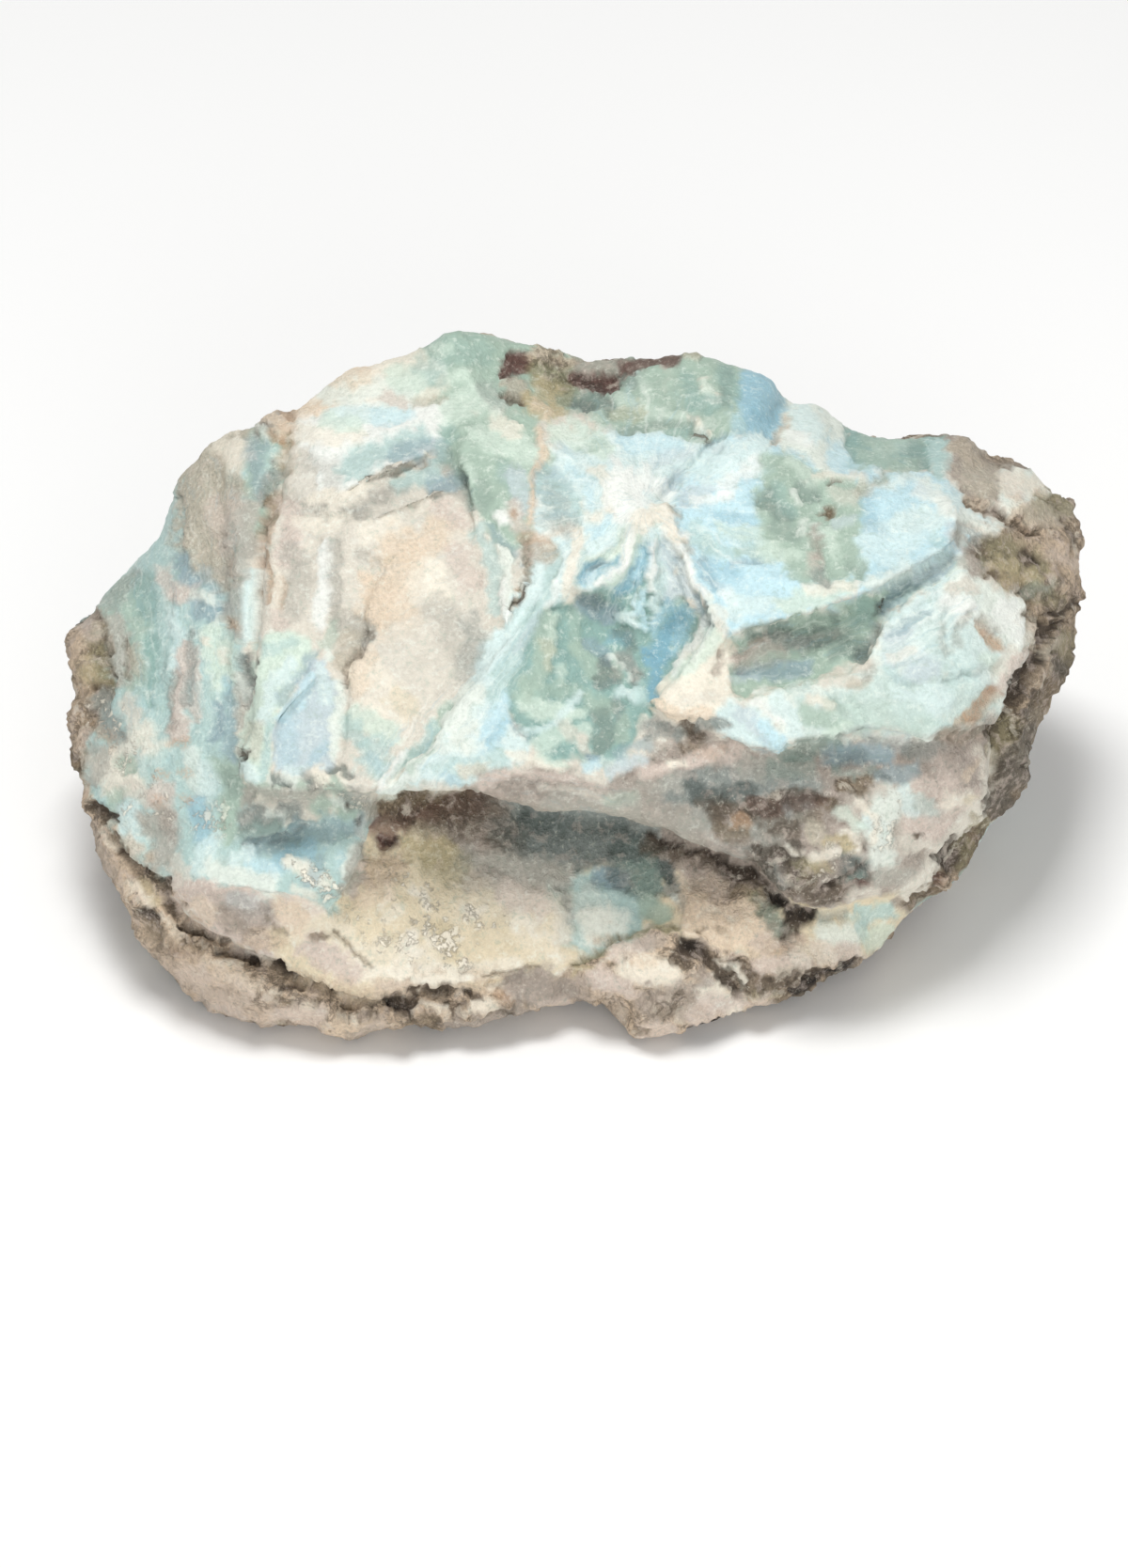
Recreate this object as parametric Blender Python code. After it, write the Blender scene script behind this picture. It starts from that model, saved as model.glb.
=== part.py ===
"""Rough larimar: one broken stone, pale blue pectolite still grown to its brown host rock.

The broken face leans back and looks up at the viewer. It is laid out square to the viewer's sight, in
millimetres: u to the right, v up and h towards the viewer. A spot (u, v, h) is then turned into place.
The face is a sheet of triangles over named lines: ledges, ridges, cracks and single high or low spots.
The hidden back is lofted from the stone's outline, with a few flat breaks, and the foot is broken off flat.
"""

import math

import bmesh
import bpy
import numpy as np
from mathutils import Vector, noise
from mathutils.geometry import delaunay_2d_cdt

# Driving dimensions, in millimetres and degrees
STONE_LENGTH = 98.0
LEAN_DEG = 40.0
SIGHT = 450.0
FACE_SPACING = 1.38

# The layout below is drawn for a stone of this length, and all of it is scaled to STONE_LENGTH
DRAWN_LENGTH = 98.0
SCALE = STONE_LENGTH / DRAWN_LENGTH
METRES = 0.001

# Where the layout's centre stands in the world, and where the line of sight crosses the layout
FACE_CENTRE = (0.0, -4.0, 24.4)
SIGHT_U, SIGHT_V = -1.0, -9.0

# A ledge's foot lies this far out from its lip on the layout, and is tucked back under the lip by a
# share of the drop
FOOT_OFFSET = 0.5
UNDERCUT = 0.2
LINE_CLEARANCE = 0.62

# The outline seen by the viewer, clockwise from the left tip
OUTLINE = [
    (-48.0, 4.0, -9), (-47.4, 5.4, -9.5), (-45.0, 7.0, -9.5), (-44.1, 8.4, -9.5), (-41.6, 10.2, -9),
    (-40.2, 12.6, -9), (-38.7, 14.6, -9), (-38.0, 17.0, -9), (-36.3, 20.4, -9.5), (-35.0, 22.4, -9.5),
    (-33.4, 23.6, -9), (-31.6, 24.0, -8.5), (-30.0, 24.0, -8), (-29.0, 25.3, -7.5), (-27.8, 26.0, -7),
    (-26.4, 25.5, -7), (-25.0, 26.8, -8), (-23.0, 28.3, -9), (-21.6, 29.5, -9.5), (-19.0, 30.4, -10),
    (-16.0, 31.1, -10), (-14.0, 32.0, -9.5), (-12.4, 33.3, -9), (-11.0, 33.5, -9), (-10.0, 33.1, -9.5),
    (-8.0, 33.0, -10), (-5.6, 32.2, -11), (-2.6, 31.6, -12), (-1.0, 31.2, -13), (0.8, 30.3, -13.5),
    (3.0, 30.3, -13), (5.0, 30.6, -12.5), (8.0, 30.9, -11.5), (11.0, 31.3, -10.5), (12.4, 30.9, -10),
    (15.0, 30.0, -10), (17.0, 29.6, -9.5), (18.5, 28.6, -9), (19.4, 26.9, -9), (19.7, 25.9, -9.5),
    (20.6, 26.4, -10), (22.0, 26.6, -10.5), (23.4, 26.0, -11), (25.0, 24.3, -11), (26.6, 23.6, -11.5),
    (29.0, 23.2, -12), (31.0, 23.3, -12), (33.4, 23.6, -12), (35.2, 23.6, -12), (37.2, 23.0, -12),
    (39.0, 21.4, -12), (40.6, 21.3, -12), (42.0, 21.3, -12.5), (43.3, 19.4, -12.5), (45.0, 17.9, -12.5),
    (46.5, 17.5, -12.5), (46.7, 16.0, -12), (47.3, 14.5, -11.5), (47.4, 12.4, -11), (47.9, 9.6, -10),
    (47.2, 7.8, -9), (46.3, 6.0, -8), (46.4, 1.3, -6.5), (45.2, -0.3, -6), (43.6, -1.6, -5),
    (43.1, -4.0, -4.5), (42.4, -6.6, -4), (42.3, -8.5, -3.5), (41.6, -10.3, -3), (39.4, -11.9, -2.5),
    (38.0, -13.8, -2.5), (37.0, -15.9, -2.5), (35.9, -17.6, -2.5), (34.5, -18.7, -2), (32.8, -19.7, -2),
    (31.2, -21.0, -2), (30.0, -22.8, -2), (28.8, -24.2, -1.5), (27.0, -25.4, -1), (24.6, -26.7, -0.5),
    (22.0, -28.3, 0), (19.0, -29.9, 0.5), (15.0, -31.0, 1), (12.0, -32.0, 1.5), (9.5, -32.7, 1.5),
    (7.0, -33.3, 2), (5.4, -32.8, 2), (4.4, -31.5, 2), (2.6, -29.9, 1.5), (1.0, -29.3, 1.5),
    (-0.6, -29.8, 1.5), (-2.6, -30.0, 1.5), (-4.6, -31.1, 1.5), (-8.0, -32.0, 2), (-11.0, -32.3, 2),
    (-14.0, -32.6, 2), (-16.4, -32.3, 2), (-18.6, -32.9, 2), (-20.5, -33.5, 2), (-22.4, -33.0, 2),
    (-25.0, -32.1, 1.5), (-29.5, -32.1, 1), (-32.0, -31.4, 0.5), (-34.0, -30.6, 0), (-35.4, -29.5, -0.5),
    (-37.8, -26.7, -1), (-39.6, -24.8, -1.5), (-41.0, -23.0, -2), (-41.8, -21.0, -2.5),
    (-42.1, -19.4, -2.5),
    (-43.6, -17.3, -3), (-44.6, -15.5, -3), (-45.3, -13.2, -3.5), (-45.9, -10.2, -4), (-46.2, -9.3, -4),
    (-47.5, -7.6, -5), (-47.3, -5.4, -5.5), (-47.8, -3.2, -6), (-47.0, -0.8, -7), (-46.8, 0.4, -7.5),
    (-47.5, 2.0, -8.5),
]

# Ledges: the lip's points as (u, v, h, drop). The foot lies on the right hand of one who walks along
# the lip
RIGHT, LEFT = 1, -1
LEDGES = {
    "slab edge and overhang": (RIGHT, [
        (-26.5, 24.4, -4.5, 0.4), (-26.9, 21.0, -0.5, 2.0), (-27.4, 18.0, 1.5, 2.5),
        (-28.7, 15.0, 3.5, 2.5),
        (-29.2, 10.0, 6.0, 2.5), (-29.6, 5.0, 8.5, 3.0), (-30.0, 1.0, 10.0, 3.0), (-30.2, -3.0, 11.5, 3.0),
        (-31.3, -7.0, 12.5, 2.8), (-31.1, -8.6, 13.0, 2.2), (-29.6, -9.8, 13.5, 1.8),
        (-27.0, -10.2, 13.5, 1.8),
        (-24.0, -9.6, 14.0, 2.0), (-21.0, -9.6, 14.5, 2.8), (-18.8, -10.3, 15.0, 5.0),
        (-17.2, -10.6, 15.2, 7.5),
        (-15.0, -10.2, 15.0, 9.0), (-11.0, -10.1, 14.8, 11.0), (-9.4, -10.1, 14.0, 11.0),
        (-6.0, -11.2, 12.2, 9.6), (-2.5, -12.1, 11.6, 9.4), (1.5, -12.0, 11.2, 9.4),
        (4.0, -12.4, 10.8, 9.0),
        (6.0, -13.1, 10.4, 8.6), (8.8, -13.7, 10.0, 8.0), (10.0, -14.6, 9.6, 7.4), (12.4, -15.3, 9.4, 7.0),
        (14.6, -16.3, 9.0, 6.6), (16.9, -16.6, 9.0, 6.4), (17.8, -18.2, 9.0, 6.0), (19.6, -19.8, 8.8, 5.4),
        (21.6, -20.6, 8.2, 5.0), (23.6, -20.8, 7.6, 4.5), (26.0, -20.2, 6.8, 4.0), (30.0, -19.4, 5.2, 3.0),
        (32.4, -18.9, 3.5, 2.5), (33.6, -17.8, 3.5, 2.5), (34.2, -16.0, 3.5, 2.5), (35.8, -13.9, 3.5, 2.0),
        (38.2, -12.2, 2.5, 2.0), (38.7, -10.0, 3.5, 2.5), (38.6, -6.0, 5.0, 2.5), (39.2, -3.4, 6.5, 2.5),
        (40.4, -1.0, 7.5, 2.2), (41.6, 1.6, 7.5, 2.0), (42.4, 4.6, 6.0, 1.6), (42.0, 7.0, 5.0, 1.2),
        (40.8, 9.0, 4.5, 0.6),
    ]),
    "slit under the upper plate": (RIGHT, [
        (-21.6, 18.4, 5.4, 0.1), (-19.5, 19.1, 5.2, 0.9), (-17.0, 20.1, 4.6, 1.6), (-15.0, 21.1, 3.6, 1.4),
        (-13.6, 21.9, 2.4, 0.3),
    ]),
    "second plate": (RIGHT, [
        (-20.5, 15.0, 7.4, 0.1), (-18.0, 15.9, 7.0, 0.6), (-15.0, 17.0, 6.2, 1.0), (-12.8, 18.0, 5.4, 0.9),
        (-12.0, 18.6, 5.0, 0.3),
    ]),
    "green column": (RIGHT, [
        (-9.8, 24.5, 0.5, 0.2), (-11.1, 22.0, 2.8, 1.2), (-10.6, 19.8, 4.8, 2.0), (-9.9, 18.0, 6.0, 1.8),
        (-9.7, 16.0, 7.0, 1.2), (-9.3, 13.6, 8.4, 0.6),
    ]),
    "blade over the crack": (LEFT, [
        (-7.0, 13.6, 9.0, 0.2), (-5.8, 11.6, 10.0, 0.7), (-4.9, 9.6, 10.8, 1.2), (-5.8, 7.4, 11.6, 1.0),
        (-6.4, 6.0, 12.0, 0.3),
    ]),
    "diagonal ridge": (RIGHT, [
        (0.6, 14.2, 8.8, 0.2), (-1.3, 11.6, 10.0, 0.6), (-3.1, 8.6, 11.0, 0.8), (-4.6, 6.2, 11.8, 0.9),
        (-6.6, 4.0, 12.6, 1.2), (-9.0, 1.2, 13.4, 1.4), (-12.2, -3.0, 14.8, 1.3), (-15.0, -6.6, 15.4, 1.0),
        (-17.2, -9.2, 15.5, 0.6),
    ]),
    "bright right ledge": (RIGHT, [
        (13.6, 3.7, 13.2, 0.6), (14.6, 4.8, 14.0, 2.2), (17.0, 5.3, 14.4, 3.0), (20.0, 6.1, 14.2, 3.2),
        (24.0, 7.5, 13.6, 3.2), (28.0, 9.1, 12.3, 3.0), (31.0, 10.8, 11.0, 2.8), (33.6, 12.2, 9.6, 2.8),
        (35.4, 13.6, 8.2, 2.5), (35.9, 15.0, 7.2, 1.5), (35.2, 16.8, 5.6, 0.3),
    ]),
    "lower plate upper edge": (LEFT, [
        (15.4, -0.8, 13.6, 1.0), (17.0, -0.5, 13.8, 1.8), (20.4, 0.5, 13.8, 2.0), (23.2, 1.1, 13.6, 1.8),
        (25.6, 1.2, 13.2, 1.2), (27.2, 3.0, 12.8, 2.2), (28.0, 5.0, 12.0, 2.2), (29.6, 7.2, 11.2, 1.8),
        (31.6, 8.6, 10.4, 1.4), (34.4, 9.5, 9.2, 1.0), (36.2, 11.0, 7.8, 0.4),
    ]),
    "cream tongue": (RIGHT, [
        (13.2, 8.4, 12.4, 0.3), (12.7, 6.5, 12.8, 1.2), (11.8, 4.3, 13.2, 2.4), (9.8, 1.6, 13.8, 3.0),
        (8.0, -0.4, 14.2, 2.6), (6.9, -1.7, 14.4, 1.4), (8.4, -2.6, 14.6, 1.4), (11.0, -3.0, 14.8, 1.4),
        (13.2, -2.9, 15.0, 0.5),
    ]),
    "lower plate lip": (RIGHT, [
        (12.8, -4.2, 14.0, 0.4), (15.5, -5.3, 15.0, 1.8), (18.4, -6.4, 15.4, 2.6), (19.8, -5.6, 15.4, 2.6),
        (22.0, -5.2, 15.4, 2.4), (24.4, -4.9, 15.2, 2.2), (27.0, -4.0, 14.8, 2.0), (30.0, -4.4, 14.4, 2.0),
        (33.0, -4.9, 13.8, 2.0), (35.6, -4.1, 12.6, 1.8), (37.4, -3.0, 11.0, 0.8),
    ]),
    "tread behind the blue wedge": (RIGHT, [
        (-31.4, -15.0, 9.2, 0.2), (-29.6, -14.3, 9.6, 0.9), (-27.0, -13.8, 9.4, 1.1),
        (-25.2, -12.5, 9.2, 0.9),
        (-23.0, -12.6, 9.2, 0.2),
    ]),
    "blue wedge lip": (RIGHT, [
        (-34.6, -18.2, 11.0, 0.4), (-31.0, -18.7, 12.0, 1.2), (-28.0, -19.3, 12.0, 1.2),
        (-25.4, -19.7, 11.2, 0.6),
    ]),
    "blue wedge end": (LEFT, [
        (-19.0, -12.6, 10.0, 3.5), (-19.4, -14.6, 10.4, 4.5), (-20.4, -17.2, 10.6, 4.5),
        (-21.4, -19.4, 10.0, 3.2),
        (-22.3, -20.8, 9.0, 1.6), (-23.6, -22.4, 8.0, 0.3),
    ]),
    "cream plate": (RIGHT, [
        (-16.2, 13.4, 8.0, 0.3), (-17.6, 11.0, 8.8, 0.8), (-19.2, 8.2, 9.6, 1.1), (-19.3, 5.0, 10.4, 1.2),
        (-20.8, 1.4, 11.4, 1.2), (-21.3, -1.6, 12.2, 1.0), (-21.5, -5.2, 13.0, 0.8),
        (-21.2, -7.6, 13.6, 0.2),
    ]),
    "lavender hollow": (RIGHT, [
        (-28.2, -7.6, 13.0, 0.2), (-28.0, -4.0, 12.6, 0.9), (-26.4, -1.8, 12.2, 1.1),
        (-24.8, 0.0, 11.8, 0.9),
        (-23.6, 1.2, 11.2, 0.2),
    ]),
    "rim groove": (RIGHT, [
        (-44.9, -10.4, -1.0, 0.6), (-43.4, -12.0, 1.2, 1.4), (-42.2, -14.6, 2.8, 1.8),
        (-40.2, -16.8, 4.6, 2.4),
        (-38.2, -17.6, 6.6, 3.2), (-37.6, -19.0, 7.4, 3.5), (-36.6, -21.0, 7.4, 3.5),
        (-34.6, -22.3, 7.6, 3.2),
        (-31.4, -24.0, 7.6, 3.0), (-29.0, -25.2, 7.4, 2.8), (-26.6, -26.4, 7.2, 2.4),
        (-23.4, -27.9, 7.0, 2.2),
        (-20.6, -29.2, 6.8, 2.4), (-17.4, -29.0, 6.4, 2.6), (-14.8, -28.3, 6.0, 2.2),
        (-11.4, -28.0, 5.6, 1.4),
        (-8.4, -27.6, 5.4, 1.0), (-5.4, -26.5, 5.0, 0.8), (-2.4, -26.4, 4.8, 0.3),
    ]),
    "host rock lump": (LEFT, [
        (0.2, -25.6, 4.8, 0.8), (1.4, -24.9, 5.2, 1.4), (3.4, -23.8, 5.6, 1.8), (6.0, -22.6, 5.8, 1.8),
        (9.0, -22.2, 5.8, 1.4), (10.6, -22.8, 5.8, 0.8), (12.4, -23.6, 5.6, 0.3),
    ]),
}

# Ridges and valleys: creases with no step
CREASES = {
    "left column crest": [(-28.4, 24.4, -4.2), (-30.0, 19.0, 0.2), (-31.0, 14.0, 3.0),
                          (-31.4, 8.0, 5.2), (-31.2, 2.0, 7.4)],
    "left column groove": [(-31.4, 21.4, -4.2), (-32.7, 15.0, -1.0), (-33.0, 9.0, 1.8), (-32.6, 3.0, 4.6)],
    "left shoulder": [(-36.0, 17.0, -5.0), (-37.6, 10.0, -2.0), (-39.4, 3.0, 1.0),
                      (-41.0, -4.0, 2.6), (-40.6, -10.0, 4.4)],
    "left flank fold": [(-33.4, -2.0, 6.6), (-34.4, -8.0, 7.4), (-34.8, -13.0, 8.0), (-36.4, -16.6, 8.4)],
    "left knob": [(-46.0, 4.4, -5.6), (-45.4, 1.4, -4.6)],
    "left knob valley": [(-43.6, 6.6, -5.6), (-43.4, 2.6, -3.4), (-43.6, 0.2, -2.6)],
    "top band edge": [(-23.6, 26.2, -5.0), (-20.0, 26.8, -5.0), (-16.0, 26.4, -4.0), (-12.6, 26.4, -3.0),
                      (-9.4, 27.2, -3.6), (-6.4, 26.8, -4.0), (-4.0, 25.8, -3.4), (-1.6, 25.2, -3.0),
                      (0.2, 24.8, -3.0), (2.6, 26.2, -4.4), (5.0, 26.6, -5.4)],
    "top pocket floor": [(-4.4, 29.4, -11.4), (-2.0, 27.8, -10.8), (0.4, 27.0, -10.6), (2.8, 28.4, -12.4)],
    "top band foot": [(1.8, 24.6, -1.6), (4.4, 23.8, -0.4), (6.6, 24.4, -1.2), (9.0, 24.0, -0.8),
                      (11.6, 23.2, 0.4)],
    "upper crack": [(13.9, 23.4, 0.4), (12.2, 21.2, 2.2), (10.6, 19.6, 3.6), (9.0, 18.0, 5.4)],
    "upper crack left side": [(12.6, 23.6, 1.0), (11.0, 21.6, 3.0), (9.4, 20.0, 4.6), (7.8, 18.6, 6.8)],
    "upper crack right side": [(15.2, 23.0, 1.6), (13.2, 20.6, 4.0), (11.6, 18.8, 5.4), (10.0, 17.2, 7.2)],
    "broken ridge": [(8.8, 15.8, 9.2), (9.6, 13.6, 9.8), (10.6, 11.4, 10.4), (11.2, 9.4, 11.0),
                     (12.0, 7.4, 11.6)],
    "fan ridge 1": [(3.4, 15.2, 9.6), (1.6, 12.6, 10.2), (0.4, 9.8, 10.8)],
    "fan valley 1": [(3.4, 13.4, 9.3), (2.0, 11.0, 9.6), (1.6, 9.6, 9.8)],
    "fan ridge 2": [(5.0, 14.8, 9.8), (3.8, 11.6, 10.2), (2.0, 8.9, 10.6)],
    "fan valley 2": [(5.6, 13.2, 9.2), (4.8, 10.0, 9.2), (3.6, 8.0, 8.6)],
    "fan ridge 3": [(7.0, 14.6, 9.8), (6.9, 11.4, 10.2), (6.4, 8.2, 10.2), (5.6, 5.2, 9.8)],
    "fan valley 3": [(8.2, 12.6, 9.2), (7.9, 9.4, 9.3), (7.6, 6.8, 8.8)],
    "green lump crest": [(18.6, 20.6, 3.4), (20.2, 18.0, 5.8), (21.0, 14.6, 8.4), (21.6, 12.0, 10.2)],
    "green lump gully": [(17.0, 19.2, 4.0), (17.0, 15.4, 7.0), (17.8, 12.4, 9.4)],
    "green lump notch": [(24.2, 19.0, 3.8), (23.4, 16.0, 6.0), (23.6, 13.4, 8.4), (25.0, 11.4, 9.8)],
    "white plate foot": [(18.4, 22.2, 1.2), (21.0, 21.4, 1.6), (23.6, 19.8, 2.4),
                         (26.4, 19.8, 1.8), (30.0, 20.6, -0.4), (33.4, 19.6, -0.8)],
    "blue knob foot": [(14.8, 24.6, -0.6), (16.6, 23.6, -0.6), (18.8, 23.2, -1.6), (19.5, 24.6, -5.4)],
    "white tongue": [(37.0, 15.6, 3.4), (38.2, 15.0, 3.4), (39.6, 14.4, 2.4)],
    "dark crevice": [(36.2, 18.2, -1.6), (38.2, 17.0, -1.2), (40.4, 15.4, -0.8), (43.0, 14.0, -2.6)],
    "brown plate edge": [(36.6, 19.0, -1.4), (39.4, 17.8, -1.0), (41.6, 16.4, -1.4), (44.0, 17.2, -5.4)],
    "host rock shoulder": [(40.6, 12.6, 2.6), (43.6, 10.0, 1.0), (44.6, 6.4, -0.6),
                           (44.6, 2.4, 0.4), (42.2, -2.0, 3.2), (41.0, -7.4, 2.4)],
    "lower wall crest": [(13.0, -9.4, 12.6), (17.0, -9.0, 12.4), (22.0, -8.0, 12.6),
                         (27.0, -7.6, 12.8), (32.0, -7.4, 11.6), (36.0, -7.0, 9.6)],
    "underside band": [(-8.2, -8.8, 14.8), (-5.0, -7.7, 14.8), (-1.0, -8.3, 14.6),
                       (3.4, -9.1, 13.8), (7.4, -8.8, 13.4), (10.4, -7.4, 13.2)],
    "host rock knob": [(18.6, -15.4, 10.6), (21.0, -14.4, 11.4), (24.4, -15.2, 11.4),
                       (26.4, -17.4, 10.4), (24.6, -19.2, 9.4), (20.8, -18.8, 10.0), (19.2, -17.2, 10.4)],
    "shelf step": [(-1.6, -18.0, 3.8), (-0.6, -21.0, 4.2), (0.2, -24.0, 4.4)],
    "shelf step foot": [(-0.8, -17.4, 3.0), (0.4, -20.8, 3.2), (1.2, -23.4, 3.4)],
    "shelf hump": [(8.4, -16.6, 3.0), (9.0, -19.4, 3.6), (11.6, -21.4, 4.4)],
    "lower crevice": [(13.2, -25.6, 4.6), (14.6, -27.0, 4.2), (17.4, -28.0, 3.4),
                      (21.4, -27.0, 2.2), (25.0, -25.6, 1.2)],
    "rim crest": [(-44.2, -15.0, 0.4), (-42.2, -18.6, 2.4), (-39.8, -21.8, 4.4),
                  (-36.0, -25.2, 6.0), (-31.0, -27.6, 6.8),
                  (-26.0, -29.4, 6.6), (-20.0, -31.2, 6.0), (-14.0, -30.8, 5.8),
                  (-8.0, -30.0, 5.4), (-3.4, -28.4, 5.2)],
    "lump crest": [(2.4, -27.6, 5.8), (6.4, -26.0, 7.0), (8.6, -28.6, 7.0), (7.4, -31.0, 5.2)],
}

# Single high and low spots
SPOTS = [
    (-44.0, -5.4, -0.4), (-37.4, -2.0, 4.6), (-37.8, -13.6, 5.6), (-34.6, 13.0, -2.4),
    (-24.6, 23.4, -1.2), (-18.6, 23.6, 0.2), (-14.4, 24.2, -0.6), (-24.0, 18.4, 3.6),
    (-17.4, 18.4, 5.4), (-13.6, 19.8, 3.6), (-25.6, 14.0, 5.6), (-26.0, 8.0, 8.0), (-22.6, 9.0, 8.4),
    (-13.6, 13.0, 7.8), (-12.4, 15.8, 6.4), (-16.4, 6.6, 10.2), (-22.2, 4.4, 9.4), (-13.4, 8.4, 9.4),
    (-9.4, 8.0, 9.2), (-10.6, 3.2, 11.0), (-15.4, -1.0, 12.8), (-18.6, -1.6, 12.8), (-22.9, -2.2, 11.6),
    (-28.2, -0.8, 11.4), (-25.4, -5.4, 11.8), (-23.2, -7.2, 12.6), (-29.8, -5.6, 12.0),
    (-18.6, -5.6, 13.8), (-26.6, 3.4, 10.0),
    (-6.6, 20.6, 4.4), (-4.2, 23.2, 1.0), (-6.0, 17.0, 7.0), (-3.0, 18.4, 5.8), (-2.0, 15.0, 7.6),
    (-4.4, 13.2, 8.0),
    (0.4, 21.0, 3.2), (4.8, 17.6, 9.0), (3.0, 20.4, 6.4), (7.0, 16.6, 9.6), (1.4, 17.4, 7.6),
    (-3.0, 3.6, 12.0), (-6.0, -2.6, 14.2), (-9.4, -6.4, 15.2), (-12.6, -8.6, 15.3), (-3.6, -5.4, 14.8),
    (1.6, 6.4, 8.2), (3.6, 4.6, 8.2), (9.6, 5.2, 8.6), (8.0, 2.4, 9.2), (5.0, 2.0, 9.6), (1.8, 2.4, 10.0),
    (4.4, -1.2, 11.2), (0.0, -0.6, 11.8), (1.4, -5.0, 13.4), (5.4, -5.4, 13.4),
    (15.4, 18.4, 6.4), (18.0, 10.0, 11.6), (14.6, 8.0, 12.6), (15.6, 13.0, 9.6), (26.0, 11.8, 10.4),
    (26.6, 16.6, 6.4), (31.0, 18.0, 3.8), (32.4, 14.4, 7.2), (28.4, 13.0, 9.0), (34.4, 18.0, 3.0),
    (22.6, 24.0, -3.4),
    (28.6, 22.0, -4.8), (35.0, 21.4, -4.6), (38.6, 19.6, -4.4), (42.0, 18.6, -5.4),
    (10.6, 27.6, -4.6), (15.0, 27.0, -4.0),
    (17.4, 26.4, -3.4), (8.0, 28.8, -8.0), (-10.4, 30.0, -5.4), (-16.0, 28.8, -6.4), (-20.4, 28.4, -6.6),
    (16.0, 2.6, 11.2), (20.0, 3.6, 11.0), (24.6, 4.6, 10.2), (29.6, 8.0, 9.2), (33.6, 10.4, 7.6),
    (33.0, 4.4, 12.6), (37.0, 6.4, 10.4), (40.0, 6.6, 7.6), (38.0, 2.4, 11.4), (34.4, -0.6, 13.6),
    (28.6, -1.0, 14.4),
    (23.0, -1.6, 14.6), (18.0, -3.0, 14.8), (31.0, 1.6, 13.6), (15.2, -2.6, 14.4), (39.2, 9.8, 6.0),
    (15.0, -12.4, 10.4), (22.0, -11.4, 11.4), (28.6, -11.4, 11.2), (33.4, -11.0, 9.2), (37.4, -9.6, 6.4),
    (30.0, -15.6, 9.0), (33.4, -14.4, 7.0), (6.0, -11.0, 12.0), (28.0, -18.6, 8.0),
    (-30.0, -12.0, 9.6), (-24.6, -11.4, 10.0), (-29.0, -16.6, 10.6), (-24.6, -16.2, 10.2),
    (-34.0, -20.4, 10.2),
    (-29.6, -21.6, 9.6), (-26.4, -23.2, 8.6),
    (-16.4, -15.0, 6.2), (-16.0, -20.0, 6.6), (-10.4, -16.0, 4.4), (-8.0, -21.0, 5.2), (-17.0, -25.0, 6.6),
    (-10.0, -25.4, 5.4), (3.0, -15.6, 2.6), (4.0, -19.6, 3.0), (14.4, -19.6, 3.6), (18.0, -22.4, 4.0),
    (24.4, -22.6, 3.6), (16.0, -25.0, 4.8), (20.6, -25.6, 3.6), (13.0, -29.6, 4.8), (11.4, -26.0, 6.4),
    (4.8, -29.4, 5.0), (17.6, -29.2, 3.2), (31.6, -20.4, 0.6), (34.2, -17.8, 0.6),
    (44.6, 14.8, -5.6), (46.0, 11.6, -5.0),
]

# Where the face is host rock and not larimar: (u, v, radius) of rough, pitted patches
HOST_PATCHES = [
    (45.5, 15.5, 3.0), (43.5, 11.5, 4.5), (45.0, 5.0, 4.0), (43.0, -2.0, 3.5), (41.0, -7.0, 3.5),
    (37.5, -14.0, 2.5),
    (35.0, -17.5, 2.0), (22.5, -17.0, 4.8), (19.5, -21.5, 2.5), (9.0, -27.5, 6.5),
    (16.0, -28.5, 4.5), (23.0, -26.8, 2.5),
    (3.0, -28.0, 3.5), (-4.0, -29.0, 3.0), (-12.0, -30.5, 3.2), (-20.0, -31.5, 3.6),
    (-28.0, -29.0, 4.4), (-35.0, -26.0, 4.0),
    (-40.0, -21.5, 3.2), (-43.5, -15.5, 2.6), (-46.0, -6.0, 2.4), (-46.0, 2.5, 3.0),
    (2.0, 29.0, 3.0), (8.0, 30.4, 1.8),
]
LARIMAR_RIPPLE = 0.18
LARIMAR_CHIP = 4.6
CHIP_RISE = 0.4
HOST_LUMP = 2.6
HOST_LUMP_RISE = 0.85

# The back's loft: how deep and round it is from the outline to its middle, and how many rings it takes
BACK_MIDDLE = (1.0, -2.0, -37.0)
BACK_ROUND_ACROSS = 0.72
BACK_ROUND_DEPTH = 0.95
BACK_WAVES = 2.2
BACK_CHIP = 9.0
BACK_CHIP_RISE = 2.4

# The underside sags below this height, and the deepest part of the sag is broken off flat at the
# resting height
UNDERSIDE_TOP = 1.0
UNDERSIDE_SAG = 2.7
BACK_RINGS = 14
HALVED_AT_RINGS = (2, 10)

# Flat breaks on the back: the outward direction in the world, and how deep they cut into the rounded back
BREAKS = [
    ((0.12, 0.98, 0.10), 4.0),
    ((-0.60, 0.70, 0.38), 5.0),
    ((0.58, 0.78, 0.22), 5.0),
    ((-0.42, 0.80, -0.42), 5.0),
    ((0.30, 0.84, -0.46), 4.0),
    ((-0.86, 0.20, -0.46), 4.0),
    ((0.88, 0.24, -0.42), 5.0),
]


def in_place(u, v, h):
    """The world point, in metres, of a spot on the layout. A nearer spot looks larger, so it is drawn in."""
    taper = 1.0 - h / SIGHT
    across = SIGHT_U + (u - SIGHT_U) * taper
    up = SIGHT_V + (v - SIGHT_V) * taper
    lean = math.radians(LEAN_DEG)
    x = FACE_CENTRE[0] + across
    y = FACE_CENTRE[1] + up * math.sin(lean) - h * math.cos(lean)
    z = FACE_CENTRE[2] + up * math.cos(lean) + h * math.sin(lean)
    return Vector((x, y, z)) * (SCALE * METRES)


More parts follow.
